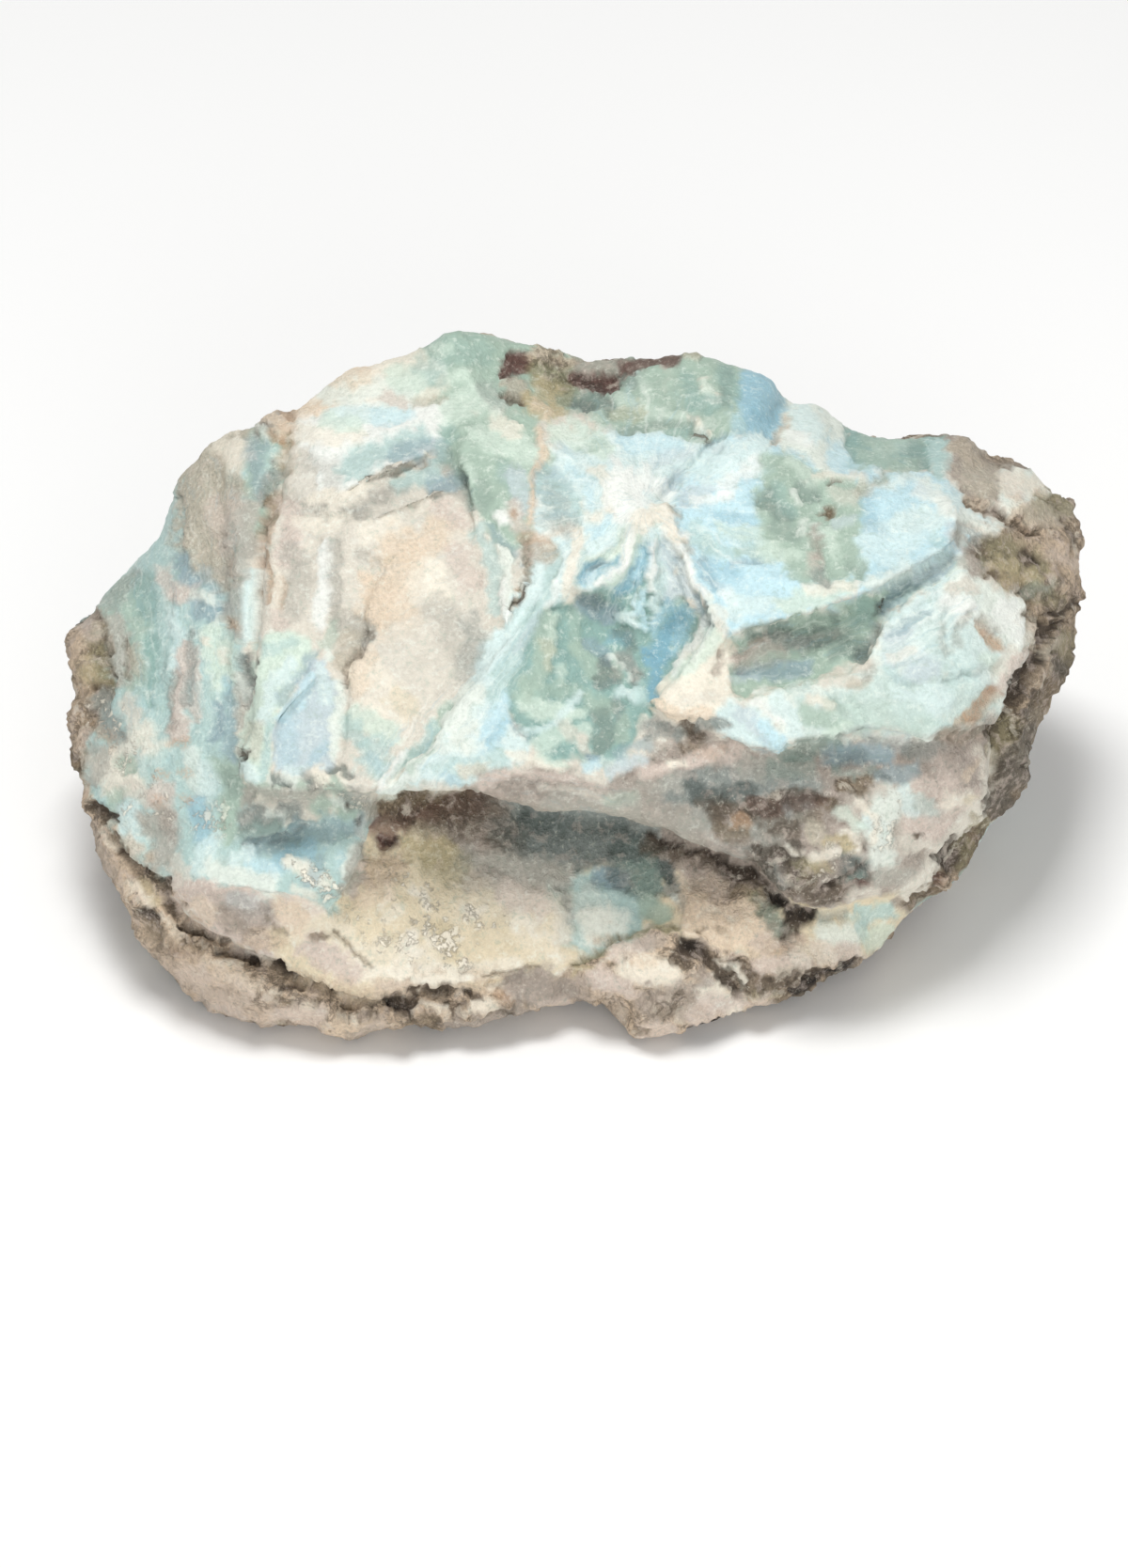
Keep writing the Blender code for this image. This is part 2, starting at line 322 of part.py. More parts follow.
def with_extra_points(line, spacing, closed=False):
    """The line with points added so that no gap is longer than the spacing. A point is a row: u and v first."""
    rows = [np.array(p, float) for p in line]
    ends = rows[1:] + rows[:1] if closed else rows[1:]
    out = []
    for a, b in zip(rows, ends):
        steps = max(1, math.ceil(np.linalg.norm((b - a)[:2]) / spacing))
        out += [a + (b - a) * i / steps for i in range(steps)]
    return out if closed else out + [rows[-1]]


def ledge_lines(side, line):
    """A ledge's lip and foot as rows (u, v, seen u, seen v, h): first the layout's pair, then the place."""
    rows = np.array(line, float)
    run = np.gradient(rows[:, :2], axis=0)
    run /= np.linalg.norm(run, axis=1)[:, None]
    out = np.stack([run[:, 1], -run[:, 0]], axis=1) * side
    lip = np.column_stack([rows[:, :2], rows[:, :2], rows[:, 2]])
    foot_uv = rows[:, :2] + out * FOOT_OFFSET
    tucked = rows[:, :2] + out * (FOOT_OFFSET * 0.5) - out * (UNDERCUT * rows[:, 3])[:, None]
    foot = np.column_stack([foot_uv, tucked, rows[:, 2] - rows[:, 3]])
    return lip, foot


def layout_lines():
    """Every line of the face as rows (u, v, seen u, seen v, h), and whether it closes on itself."""
    creases = [(line, False) for line in CREASES.values()]
    plain = [(OUTLINE, True)] + creases + [([spot], False) for spot in SPOTS]
    lines = [(np.array([(u, v, u, v, h) for u, v, h in line], float), closed) for line, closed in plain]
    for side, line in LEDGES.values():
        lines += [(rows, False) for rows in ledge_lines(side, line)]
    return lines


def triangulated(lines, loose):
    """The plane's triangulation that keeps every line, with the rows of the lines and loose points."""
    rows, edges, wanted = [], [], []
    for line, closed in lines:
        first = len(rows)
        rows += list(line)
        edges += [(first + i, first + i + 1) for i in range(len(line) - 1)]
        if closed:
            wanted.append(list(range(len(rows) - 1, first - 1, -1)))
    rows += list(loose)
    flat = [Vector((row[0], row[1])) for row in rows]
    points, _, triangles, origin, _, inside = delaunay_2d_cdt(flat, edges, wanted, 0, 1e-6, True)
    crossings = [tuple(round(c, 1) for c in points[i]) for i, found in enumerate(origin) if not found]
    if crossings:
        raise ValueError(f"lines of the face cross at {crossings}")
    kept = [triangle for triangle, outlines in zip(triangles, inside) if outlines]
    faces = [[origin[corner][0] for corner in triangle] for triangle in kept]
    faces = [face[face.index(min(face)):] + face[:face.index(min(face))] for face in faces]
    return np.array(rows), np.array(sorted(faces))


def read_off(points, rows, faces):
    """The row of each plane point, read off the triangles, and whether the point lies in one."""
    found = np.zeros((len(points), rows.shape[1]))
    inside = np.zeros(len(points), bool)
    for a, b, c in rows[faces]:
        across, along = b[:2] - a[:2], c[:2] - a[:2]
        area = across[0] * along[1] - across[1] * along[0]
        if abs(area) < 1e-9:
            continue
        step = points - a[:2]
        s = (step[:, 0] * along[1] - step[:, 1] * along[0]) / area
        t = (across[0] * step[:, 1] - across[1] * step[:, 0]) / area
        here = (s >= 0) & (t >= 0) & (s + t <= 1)
        found[here] = a + s[here, None] * (b - a) + t[here, None] * (c - a)
        inside |= here
    return found, inside


def clear_of(points, lines, clearance):
    """Which plane points lie at least the clearance away from every line."""
    clear = np.ones(len(points), bool)
    for line, closed in lines:
        ends = line if closed else line[:-1]
        nexts = np.roll(line, -1, axis=0) if closed else line[1:]
        if len(line) == 1:
            ends, nexts = line, line
        for a, b in zip(ends[:, :2], nexts[:, :2]):
            run = b - a
            share = np.clip((points - a) @ run / max(run @ run, 1e-12), 0, 1)
            clear &= np.linalg.norm(points - a - share[:, None] * run, axis=1) >= clearance
    return clear


def fill_points(spacing):
    """A triangular lattice of plane points over the stone's outline."""
    outline = np.array(OUTLINE)
    low, high = outline[:, :2].min(0), outline[:, :2].max(0)
    row_gap = spacing * math.sqrt(3) / 2
    points = []
    for j in range(int((high[1] - low[1]) / row_gap) + 1):
        shift = spacing / 2 * (j % 2)
        for i in range(int((high[0] - low[0]) / spacing) + 1):
            aside = noise.noise(Vector((i * 0.7, j * 0.7, 0.5))) * 0.4 * spacing
            ahead = noise.noise(Vector((i * 0.7, j * 0.7, 9.5))) * 0.4 * spacing
            points.append((low[0] + i * spacing + shift + aside, low[1] + j * row_gap + ahead))
    return np.array(points)


def host_share(u, v):
    """1 where the face is host rock and 0 where it is larimar, with a ragged edge."""
    ragged = 1.2 * noise.fractal(Vector((u * 0.25, v * 0.25, 3.0)), 1.0, 2.0, 3)
    nearest = min(math.hypot(u - cu, v - cv) - radius for cu, cv, radius in HOST_PATCHES)
    return min(1.0, max(0.0, 0.5 - (nearest + ragged) / 1.5))


def chipped(spot):
    """0 along the borders of chips and up to about 1 in their middles, for a place given in chip sizes."""
    distances = noise.voronoi(spot)[0]
    return distances[1] - distances[0]


def roughness_at(u, v):
    """How far the broken surface stands off its facet, in mm: fine on larimar, lumpy on host rock."""
    host = host_share(u, v)
    spot = Vector((u, v, 0.0))
    chips = (chipped(spot / LARIMAR_CHIP) - 0.3) * CHIP_RISE
    fine = noise.fractal(spot * 0.5, 1.0, 2.0, 4) * LARIMAR_RIPPLE + chips
    elsewhere = spot * 0.4 + Vector((7.0, 0.0, 0.0))
    lumps = noise.fractal(elsewhere, 0.8, 2.0, 4) + chipped(spot / HOST_LUMP) - 0.3
    return fine * (1 - host) + lumps * HOST_LUMP_RISE * host


def face_sheet():
    """The face's rows and triangles. The outline comes first, in order."""
    coarse_lines = layout_lines()
    coarse_rows, coarse_faces = triangulated(coarse_lines, [])
    fine_lines = []
    for line, closed in coarse_lines:
        fine_lines.append((np.array(with_extra_points(line, FACE_SPACING, closed)), closed))
    outline = fine_lines[0][0]
    while len(outline) % 4:
        gaps = np.linalg.norm((np.roll(outline, -1, axis=0) - outline)[:, :2], axis=1)
        widest = int(gaps.argmax())
        middle = (outline[widest] + outline[(widest + 1) % len(outline)]) / 2
        outline = np.insert(outline, widest + 1, middle, axis=0)
    fine_lines[0] = (outline, True)
    points = fill_points(FACE_SPACING)
    rows, inside = read_off(points, coarse_rows, coarse_faces)
    rows[:, :2] = points
    keep = inside & clear_of(points, fine_lines, LINE_CLEARANCE * FACE_SPACING)
    fine_rows, faces = triangulated(fine_lines, rows[keep])
    fine_rows[:, 4] += [roughness_at(row[0], row[1]) for row in fine_rows]
    return fine_rows, faces, len(outline)


def back_ring(rows, share):
    """The loft's points behind the outline's given rows: share 0 is the outline, 1 the middle of the back."""
    turn = share * math.pi / 2
    across = math.cos(turn) ** BACK_ROUND_ACROSS
    deep = math.sin(turn) ** BACK_ROUND_DEPTH
    spread = np.array([across, across, 1 - deep])
    return rows * spread + np.array(BACK_MIDDLE) * (1 - spread)


def softened(rows):
    """The rows of a closed line with their jags evened out a little."""
    for _ in range(3):
        rows = rows * 0.5 + (np.roll(rows, 1, axis=0) + np.roll(rows, -1, axis=0)) * 0.25
    return rows


def broken_flat(rings, outline):
    """Cuts the flat breaks into the rings of millimetre points, but none past the outline."""
    everything = np.concatenate(rings)
    for direction, depth in BREAKS:
        normal = np.array(direction) / np.linalg.norm(direction)
        reach = max((everything @ normal).max() - depth, (outline @ normal).max())
        for ring in rings:
            ring -= np.maximum(ring @ normal - reach, 0)[:, None] * normal


def settled(rings):
    """Draws up what hangs below the underside's edge, so that the underside sags only a little."""
    deepest = UNDERSIDE_TOP - min(ring[:, 2].min() for ring in rings)
    for ring in rings:
        below = np.maximum(UNDERSIDE_TOP - ring[:, 2], 0)
        ring[:, 2] += below - UNDERSIDE_SAG * (below / deepest) ** 2


def chip_rings(rings):
    """Roughens the rings: waves and chips, which fade towards the outline and towards the underside."""
    middle = np.array(in_place(*BACK_MIDDLE)) / METRES
    for number, ring in enumerate(rings, 1):
        for point in ring:
            spot = Vector(point)
            waves = noise.fractal(spot * 0.12, 1.0, 2.0, 3) * BACK_WAVES
            rise = waves + (chipped(spot / BACK_CHIP) - 0.3) * BACK_CHIP_RISE
            fade = min(1.0, number / 3) * min(1.0, max(0.1, point[2] / 7))
            point += np.array(Vector(point - middle * 0.5).normalized()) * (rise * fade)


def back_rings(rows):
    """Rings of world points, in metres, from the outline to the middle of the back."""
    outline = np.array([in_place(*row) for row in rows]) / METRES
    rings = []
    for number in range(1, BACK_RINGS):
        rows = softened(rows)
        if number in HALVED_AT_RINGS:
            rows = rows[::2]
        rings.append(np.array([in_place(*row) for row in back_ring(rows, number / BACK_RINGS)]) / METRES)
    broken_flat(rings, outline)
    settled(rings)
    chip_rings(rings)
    return [ring * METRES for ring in rings]


def joined_rings(mesh, ring, onward):
    """Triangles from one ring to the next, which has as many points or half as many."""
    count = len(ring)
    if len(onward) == count:
        for i in range(count):
            mesh.faces.new((ring[i], ring[(i + 1) % count], onward[(i + 1) % count]))
            mesh.faces.new((ring[i], onward[(i + 1) % count], onward[i]))
        return
    for i, near in enumerate(onward):
        start, half, end = ring[2 * i], ring[2 * i + 1], ring[(2 * i + 2) % count]
        far = onward[(i + 1) % len(onward)]
        for face in ((start, half, near), (half, far, near), (half, end, far)):
            mesh.faces.new(face)


def loft_back(mesh, ring, rows):
    """The back's triangles, from the sheet's open edge to the middle."""
    for points in back_rings(rows):
        onward = [mesh.verts.new(point) for point in points]
        joined_rings(mesh, ring, onward)
        ring = onward
    middle = mesh.verts.new(sum((vert.co for vert in ring), Vector()) / len(ring))
    for i, vert in enumerate(ring):
        mesh.faces.new((vert, ring[(i + 1) % len(ring)], middle))


def flat_foot(mesh):
    """Cuts off what hangs below the surface the stone rests on, and closes the cut with one flat face."""
    everything = mesh.verts[:] + mesh.edges[:] + mesh.faces[:]
    bmesh.ops.bisect_plane(mesh, geom=everything, plane_co=(0, 0, 0), plane_no=(0, 0, 1), clear_inner=True)
    bmesh.ops.holes_fill(mesh, edges=[e for e in mesh.edges if e.is_boundary], sides=0)


def build_stone():
    rows, faces, outline_count = face_sheet()
    mesh = bmesh.new()
    verts = [mesh.verts.new(in_place(*row[2:])) for row in rows]
    for a, b, c in faces:
        mesh.faces.new((verts[a], verts[b], verts[c]))
    loft_back(mesh, verts[:outline_count], rows[:outline_count, 2:])
    bmesh.ops.recalc_face_normals(mesh, faces=mesh.faces)
    flat_foot(mesh)
    bmesh.ops.triangulate(mesh, faces=mesh.faces)
    bmesh.ops.recalc_face_normals(mesh, faces=mesh.faces)
    data = bpy.data.meshes.new("rough_larimar")
    mesh.to_mesh(data)
    mesh.free()
    return data


def larimar_material():
    material = bpy.data.materials.new("larimar")
    material.use_nodes = True
    shader = material.node_tree.nodes["Principled BSDF"]
    shader.inputs["Base Color"].default_value = (0.55, 0.72, 0.72, 1.0)
    shader.inputs["Roughness"].default_value = 0.45
    shader.inputs["Metallic"].default_value = 0.0
    return material


def main():
    for thing in list(bpy.data.objects):
        bpy.data.objects.remove(thing)
    data = build_stone()
    data.materials.append(larimar_material())
    stone = bpy.data.objects.new("rough_larimar", data)
    bpy.context.scene.collection.objects.link(stone)


main()
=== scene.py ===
"""The finished look of a piece of rough larimar: pale blue pectolite still grown to its brown host rock.

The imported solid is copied, refined and broken up into fine relief. Its colours are painted on a layout
that lies square to the viewer's sight, in millimetres: u to the right, v up and h towards the viewer.
Each tint is an area or a stroke, laid over the last as with a brush. The material then adds clouds,
fibres, chalk, rust, grit and cracks, all from noise.
"""

import math

import bmesh
import bpy
import numpy as np
from bpy.props import FloatProperty, FloatVectorProperty, IntProperty, PointerProperty
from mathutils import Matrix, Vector, noise


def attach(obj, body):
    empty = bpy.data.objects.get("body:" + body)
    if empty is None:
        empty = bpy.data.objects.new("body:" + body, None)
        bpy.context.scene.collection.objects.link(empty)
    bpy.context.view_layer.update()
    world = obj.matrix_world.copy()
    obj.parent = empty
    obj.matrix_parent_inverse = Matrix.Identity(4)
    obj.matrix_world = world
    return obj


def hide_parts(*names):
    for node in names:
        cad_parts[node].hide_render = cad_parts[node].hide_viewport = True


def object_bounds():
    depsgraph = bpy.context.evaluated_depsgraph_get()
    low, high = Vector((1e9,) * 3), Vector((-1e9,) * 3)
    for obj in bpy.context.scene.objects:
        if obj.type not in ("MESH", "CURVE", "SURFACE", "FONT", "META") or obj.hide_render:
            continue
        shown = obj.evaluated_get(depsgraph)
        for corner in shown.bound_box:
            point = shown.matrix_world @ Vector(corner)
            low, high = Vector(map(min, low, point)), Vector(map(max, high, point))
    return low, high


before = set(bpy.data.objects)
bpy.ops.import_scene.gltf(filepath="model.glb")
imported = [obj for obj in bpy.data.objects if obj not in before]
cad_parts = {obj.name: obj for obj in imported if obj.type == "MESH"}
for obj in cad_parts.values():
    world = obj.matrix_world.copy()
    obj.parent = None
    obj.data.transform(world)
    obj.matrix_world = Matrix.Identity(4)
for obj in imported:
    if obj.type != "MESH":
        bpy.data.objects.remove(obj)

bl_info = {
    "name": "Rough larimar",
    "version": (1, 0, 0),
    "blender": (4, 5, 0),
    "location": "3D View > Sidebar > Larimar",
    "description": "Dresses the solid of a rough larimar with its broken surface and its colours",
    "category": "Object",
}

NODE = "rough_larimar"
MM = 0.001
CAD_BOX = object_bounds()

# How the viewer's layout lies in the world, in millimetres and degrees
LEAN_DEG = 40.0
SIGHT = 450.0
FACE_CENTRE = np.array([0.0, -4.0, 24.4])
SIGHT_U, SIGHT_V = -1.0, -9.0

# The photograph's frame: its height in pixels, and the size of one pixel on the layout
PHOTO_HEIGHT_PX = 1668
PIXEL_MM = 0.0875
SENSOR_MM = 36.0

# Where the painted face ends and the hidden back begins, in millimetres towards the viewer
FACE_BACK = -7.5
FACE_DIP = 0.22
FACE_BOW = 1.5
FACE_BLUR = 1.4
HALF_LENGTH = 48.0

# Depth that parts the shelf from what overhangs it, at the shelf's left end, and how it falls to the right
SHELF_LEVEL = 8.5
SHELF_FALL = 0.06
SHELF_START = -18.0
SHELF_BLUR = 0.5

# The refined mesh, in millimetres: points this close are one, points this low are the flat foot, and the mesh
# stays this far inside the solid's box
SAME_PLACE_MM = 0.001
FOOT_MM = 0.01
INSET_MM = 0.01

# How facets are blended: how sharply a ledge is kept, and how far a point moves in each round
LEDGE_POWER = 8
BLEND_STEP = 0.5

# How paint turns into relief: the lightness of red, green and blue, the rounds that give the ground around a
# point, and the most that a point may be lighter or darker than it
LIGHTNESS = (0.3, 0.6, 0.1)
CALM_ROUNDS = 8
CRUST_LIMIT = 0.12

# Small relief: the spacing, seed and narrowness of the pits, the share of the small noise beside the large,
# the share of the ripples, and the size of the fibre noise across and along the fibres in millimetres
PIT_SPACING = 1.9
PIT_SEED = 13.0
PIT_NARROWNESS = 2.6
SMALL_SHARE = 0.5
RIPPLE_SHARE = 0.8
FIBRE_SIZE = (0.7, 0.7, 7.0)

# How noise frays a painted edge, how firm the edges are, and the margin in which they are worked out
FRAY = 0.5
AREA_FIRMNESS = 1.3
STROKE_FIRMNESS = 1.4
AREA_MARGIN_MM = 1.0
STROKE_MARGIN = 2.0

# Cracks, in millimetres: how far their wavering is worked out, and the place of what lies beyond it
CRACK_REACH = 1.5
CRACK_FAR = 10.0

# The stage, in metres
FLOOR_REACH = 1.5
FLOOR_ROUGHNESS = 0.9
FLOOR_UNEVENNESS = 0.05
KEY_WIDTH, KEY_PLACE = 0.16, (-0.04, 0.02, 0.5)
FILL_WIDTH, FILL_PLACE = 0.4, (0.12, -0.62, 0.2)
LIT_PLACE = (0.0, 0.0, 0.02)
SIGHT_END = 10.0


def tint(name, description, red, green, blue):
    """A colour property from screen values of 0 to 255."""
    return FloatVectorProperty(
        name=name,
        description=description,
        default=(red / 255, green / 255, blue / 255),
        size=3,
        min=0.0,
        max=1.0,
        subtype="COLOR_GAMMA",
    )


def rise(name, description, millimetres):
    """A property for the height of one kind of relief."""
    return FloatProperty(name=name, description=description, default=millimetres * MM, unit="LENGTH")


def power(name, description, watts):
    """A property for the power of a light."""
    return FloatProperty(name=name, description=description, default=watts, unit="POWER")


class LarimarTints(bpy.types.PropertyGroup):
    """The paints of the larimar and of its host rock."""

    snow: tint("Snow", "Nearly white crystal sprays", 252, 254, 247)
    milk: tint("Milk", "White plates with a trace of green", 240, 247, 236)
    ice: tint("Ice", "Palest blue-green plates", 226, 245, 242)
    sky: tint("Sky", "Clear pale blue plates", 208, 240, 247)
    lilac: tint("Lilac", "Pale blue that leans to violet", 206, 220, 223)
    blue: tint("Blue", "Full larimar blue", 166, 206, 219)
    deep: tint("Deep blue", "Strongest blue, in the hollow", 134, 182, 200)
    steel: tint("Steel", "Grey blue", 150, 174, 182)
    aqua: tint("Aqua", "Pale blue-green", 190, 217, 212)
    teal: tint("Teal", "Strong blue-green", 150, 184, 176)
    mint: tint("Mint", "Palest green", 222, 239, 223)
    sage: tint("Sage", "Grey green", 178, 200, 183)
    moss: tint("Moss", "Dark grey green", 138, 158, 148)
    pearl: tint("Pearl", "Warm pale grey", 231, 224, 209)
    cream: tint("Cream", "Warm white", 251, 243, 225)
    peach: tint("Peach", "Pale orange", 250, 229, 202)
    shell: tint("Shell", "Pinkish cream", 229, 212, 199)
    sand: tint("Sand", "Grey beige", 207, 198, 178)
    dove: tint("Dove", "Warm grey", 193, 189, 177)
    ash: tint("Ash", "Cool grey", 165, 171, 165)
    slate: tint("Slate", "Dark cool grey", 112, 122, 118)
    rust: tint("Rust", "Iron stain", 196, 160, 128)
    ochre: tint("Ochre", "Yellow stain", 206, 190, 150)
    olive: tint("Olive", "Dark yellow green", 166, 158, 124)
    straw: tint("Straw", "Yellow of the lower shelf", 240, 225, 194)
    umber: tint("Umber", "Shadowed brown grey", 124, 110, 94)
    # Wine is also laid just under the shelf's lip as painted shade
    wine: tint("Wine", "Dark red stain", 116, 84, 76)
    clay: tint("Clay", "Pinkish grey", 184, 171, 159)
    tan: tint("Tan", "Pale host rock", 236, 212, 184)
    bark: tint("Bark", "Brown host rock", 152, 135, 112)
    stone: tint("Stone", "Grey host rock", 128, 120, 108)
    # Soot and ink also draw the painted shadow line along the shelf's lip
    soot: tint("Soot", "Crevices", 78, 67, 57)
    ink: tint("Ink", "Deepest gaps", 46, 40, 36)


class LarimarSizes(bpy.types.PropertyGroup):
    """How finely the stone is cut up, and how strongly its small relief stands out."""

    cuts: IntProperty(
        name="Cuts", description="New points along each edge of the packed solid", default=3, min=1, max=3
    )
    rounds: IntProperty(
        name="Smoothing rounds", description="How often flat facets are blended", default=8, min=0, max=20
    )
    rock_rise: rise("Rock lumps", "Height of the lumps of host rock", 0.65)
    pit_rise: rise("Rock pits", "Depth of the pits in the host rock", 0.35)
    chip_rise: rise("Chips", "Height of the chipped larimar surface", 0.3)
    fibre_rise: rise("Fibres", "Height of the crystal fibres", 0.18)
    crust_rise: rise("Crusts", "How far white paint would stand over black", 2.2)


class StageSettings(bpy.types.PropertyGroup):
    """The floor, the lights and the air around the stone."""

    floor: tint("Floor", "Plain pale floor", 253, 253, 252)
    key_power: power("Key light", "Power of the soft light overhead", 1.52)
    fill_power: power("Fill light", "Power of the light in front", 1.65)
    air: FloatProperty(name="Air", description="Brightness of the room all round", default=0.40, min=0.0)


# Areas of one ground tint on the layout: tint, softness of the edge in millimetres, outline
FACE_AREAS = [
    ("aqua", 1.5, [(-50, 6), (-42, 15), (-36, 25), (-29, 26), (-29.6, 18), (-30.8, 10), (-30.6, 2),
                   (-31.5, -4), (-31, -10), (-26, -12), (-30, -15), (-37, -18), (-42, -16), (-48, -9)]),
    ("bark", 1.2, [(-51, 5), (-45.5, 9), (-43.4, 6), (-43.2, 0), (-46, -8), (-50, -9)]),
    ("sage", 1, [(-30, 24.6), (-29, 27), (-26, 26.6), (-26.6, 20), (-27.6, 17.6), (-29, 13.6), (-31, 14),
                 (-30.8, 19)]),
    ("snow", 1.2, [(-26.2, 24.5), (-24, 30), (-14, 30), (-11, 26), (-12.4, 22), (-21, 18.7), (-26, 17.6)]),
    ("dove", 1.2, [(-27, 17.4), (-21, 18.5), (-13, 21.8), (-10.4, 21), (-9.8, 17), (-20, 15), (-27, 15.6)]),
    ("pearl", 1, [(-28.6, 15), (-27, 17.2), (-20, 15.4), (-12, 18), (-9.6, 16.5), (-7.6, 12), (-9.4, 3),
                  (-11, -1), (-14.6, -6.2), (-18, -9.8), (-22, -8.6), (-22, 1), (-24, 4), (-29, 2.6),
                  (-29.6, 9)]),
    ("sage", 1, [(-12.6, 24), (-11, 26.4), (-3, 25.6), (-3.4, 20), (-4.2, 14), (-5.6, 12), (-8.2, 14.6),
                 (-10.2, 17.5), (-11.4, 21.5)]),
    ("mint", 1.2, [(-29.6, 2), (-28.8, 5), (-26, 5.4), (-24, 3), (-27.6, -2), (-28.3, -8.4), (-30.6, -9.6),
                   (-31.6, -7)]),
    ("lilac", 0.8, [(-25.2, 2.6), (-22.6, 3), (-22.2, -3), (-22.2, -7.4), (-27.6, -8.2), (-28.2, -4),
                    (-26.8, -1.4)]),
    ("ice", 1, [(-18.4, -10.4), (-11, -10), (-7, -7.4), (-4, -6), (-7, -2), (-4, 4), (-0.6, 8), (0.8, 14.4),
                (-2, 14), (-4.6, 11), (-7, 6), (-9, 3.6), (-10.6, -1), (-14.6, -6.6)]),
    ("ice", 1.4, [(-3.4, 22), (0, 24), (9, 24.4), (13.6, 23.6), (10, 18.5), (9, 14), (7, 8), (0, 9),
                  (0.6, 15), (-3.8, 14)]),
    ("teal", 1.2, [(-4, 7), (0.6, 8.6), (3.4, 9.2), (6.2, 11.5), (8, 9), (11.6, 6), (9.6, 2), (7, -0.6),
                   (7.4, -3), (4, -7), (-3, -6.6), (-6.8, -2)]),
    ("sky", 1.2, [(8.6, 17), (14.2, 24), (19, 22.6), (26, 20), (34, 20.4), (37, 16.6), (40, 14.4), (36, 12),
                  (28, 8.9), (20, 5.9), (14.4, 4.6), (12.6, 7), (10.6, 11)]),
    ("sage", 1.2, [(17, 18.4), (18.6, 21.6), (21, 21.4), (24, 19.4), (27, 19), (27.2, 13), (26.4, 10.6),
                   (22.6, 9.8), (19.4, 11.6), (17.2, 13.6)]),
    ("sage", 0.8, [(14.2, 4.4), (20, 5.6), (28, 8.6), (33, 11.4), (36, 12.6), (37, 11), (32, 9), (28.4, 6.6),
                   (27, 2.6), (22.6, 0.8), (15, -0.8), (12.6, 0.6)]),
    ("cream", 0.9, [(6.8, -1.4), (9, 2), (12.6, 5.6), (15.2, 3.6), (14.4, 0.4), (14.6, -1.6), (13.4, -3.2),
                    (8.4, -2.9)]),
    ("ice", 0.8, [(13.6, -1.2), (17, -1.2), (20.2, -5), (18.6, -6.6), (14.6, -5.2), (13, -3.6)]),
    ("milk", 1, [(15, -0.9), (20, 0.3), (27, 1.4), (28.4, 6), (36, 11.4), (39.4, 9.8), (42.4, 7), (42.6, 3),
                 (39.8, -1.6), (36.6, -3.6), (33, -5.2), (27, -4.3), (20, -5.6), (17.6, -2)]),
    ("aqua", 1, [(-36.6, -17.6), (-31.6, -15.1), (-25.2, -12.5), (-20.6, -11.4), (-18.6, -12), (-19.8, -16),
                 (-21.6, -20.6), (-27, -19.6), (-34.6, -18.6)]),
    ("shell", 0.9, [(-37.4, -17.4), (-26, -19.7), (-22.4, -21.4), (-24, -25.6), (-28, -25.4), (-35, -22),
                    (-37.6, -19.6)]),
    ("sage", 1.4, [(-17.6, 26.8), (-18, 33), (-12, 35.5), (1, 33), (0.8, 26), (-3, 24.8), (-9, 26.4)]),
    ("sage", 1.2, [(0.8, 25.2), (1.6, 32), (15, 32), (19, 29), (15.4, 24), (12, 22.8), (8, 23.8), (4, 23.8)]),
    ("blue", 0.9, [(14.6, 24.8), (16, 31), (20.4, 30), (19.9, 24), (18.2, 22.6), (15.4, 23.8)]),
    ("milk", 0.9, [(18.6, 22.4), (19.9, 28), (25, 27), (26, 20.6), (23.6, 19.6), (21, 21.6)]),
    ("teal", 1.2, [(25.2, 26), (34.8, 26), (34.6, 20.6), (25.2, 20.6)]),
    ("clay", 0.9, [(34.8, 26), (39, 23.6), (44, 23), (40, 17), (37, 17.4), (34.6, 20.6)]),
    ("milk", 0.8, [(39.4, 20.4), (43, 20.6), (46, 18.4), (43.6, 17.2), (41, 15.3), (39.2, 17.6)]),
    ("bark", 1, [(42.6, 16.9), (46, 19), (50, 18), (50, -1), (45, -3), (44.6, -12), (31, -24), (28.8, -24.6),
                 (32.6, -19), (34.6, -15.4), (38.6, -12), (38.8, -4), (40.6, -1), (42.8, 4), (41.4, 8.8),
                 (38.4, 10.6), (36.8, 12.6)]),
    ("tan", 1, [(-46, -8), (-44.6, -11), (-42, -15), (-38, -18), (-36.4, -21.4), (-31, -24.3), (-20.6, -29.3),
                (-8, -27.8), (-2, -26.3), (2, -24.8), (7, -22.6), (11, -23.2), (14, -24.8), (20, -25),
                (28, -24.6), (29, -28), (10, -36), (-24, -36), (-42, -28), (-48, -14)]),
]

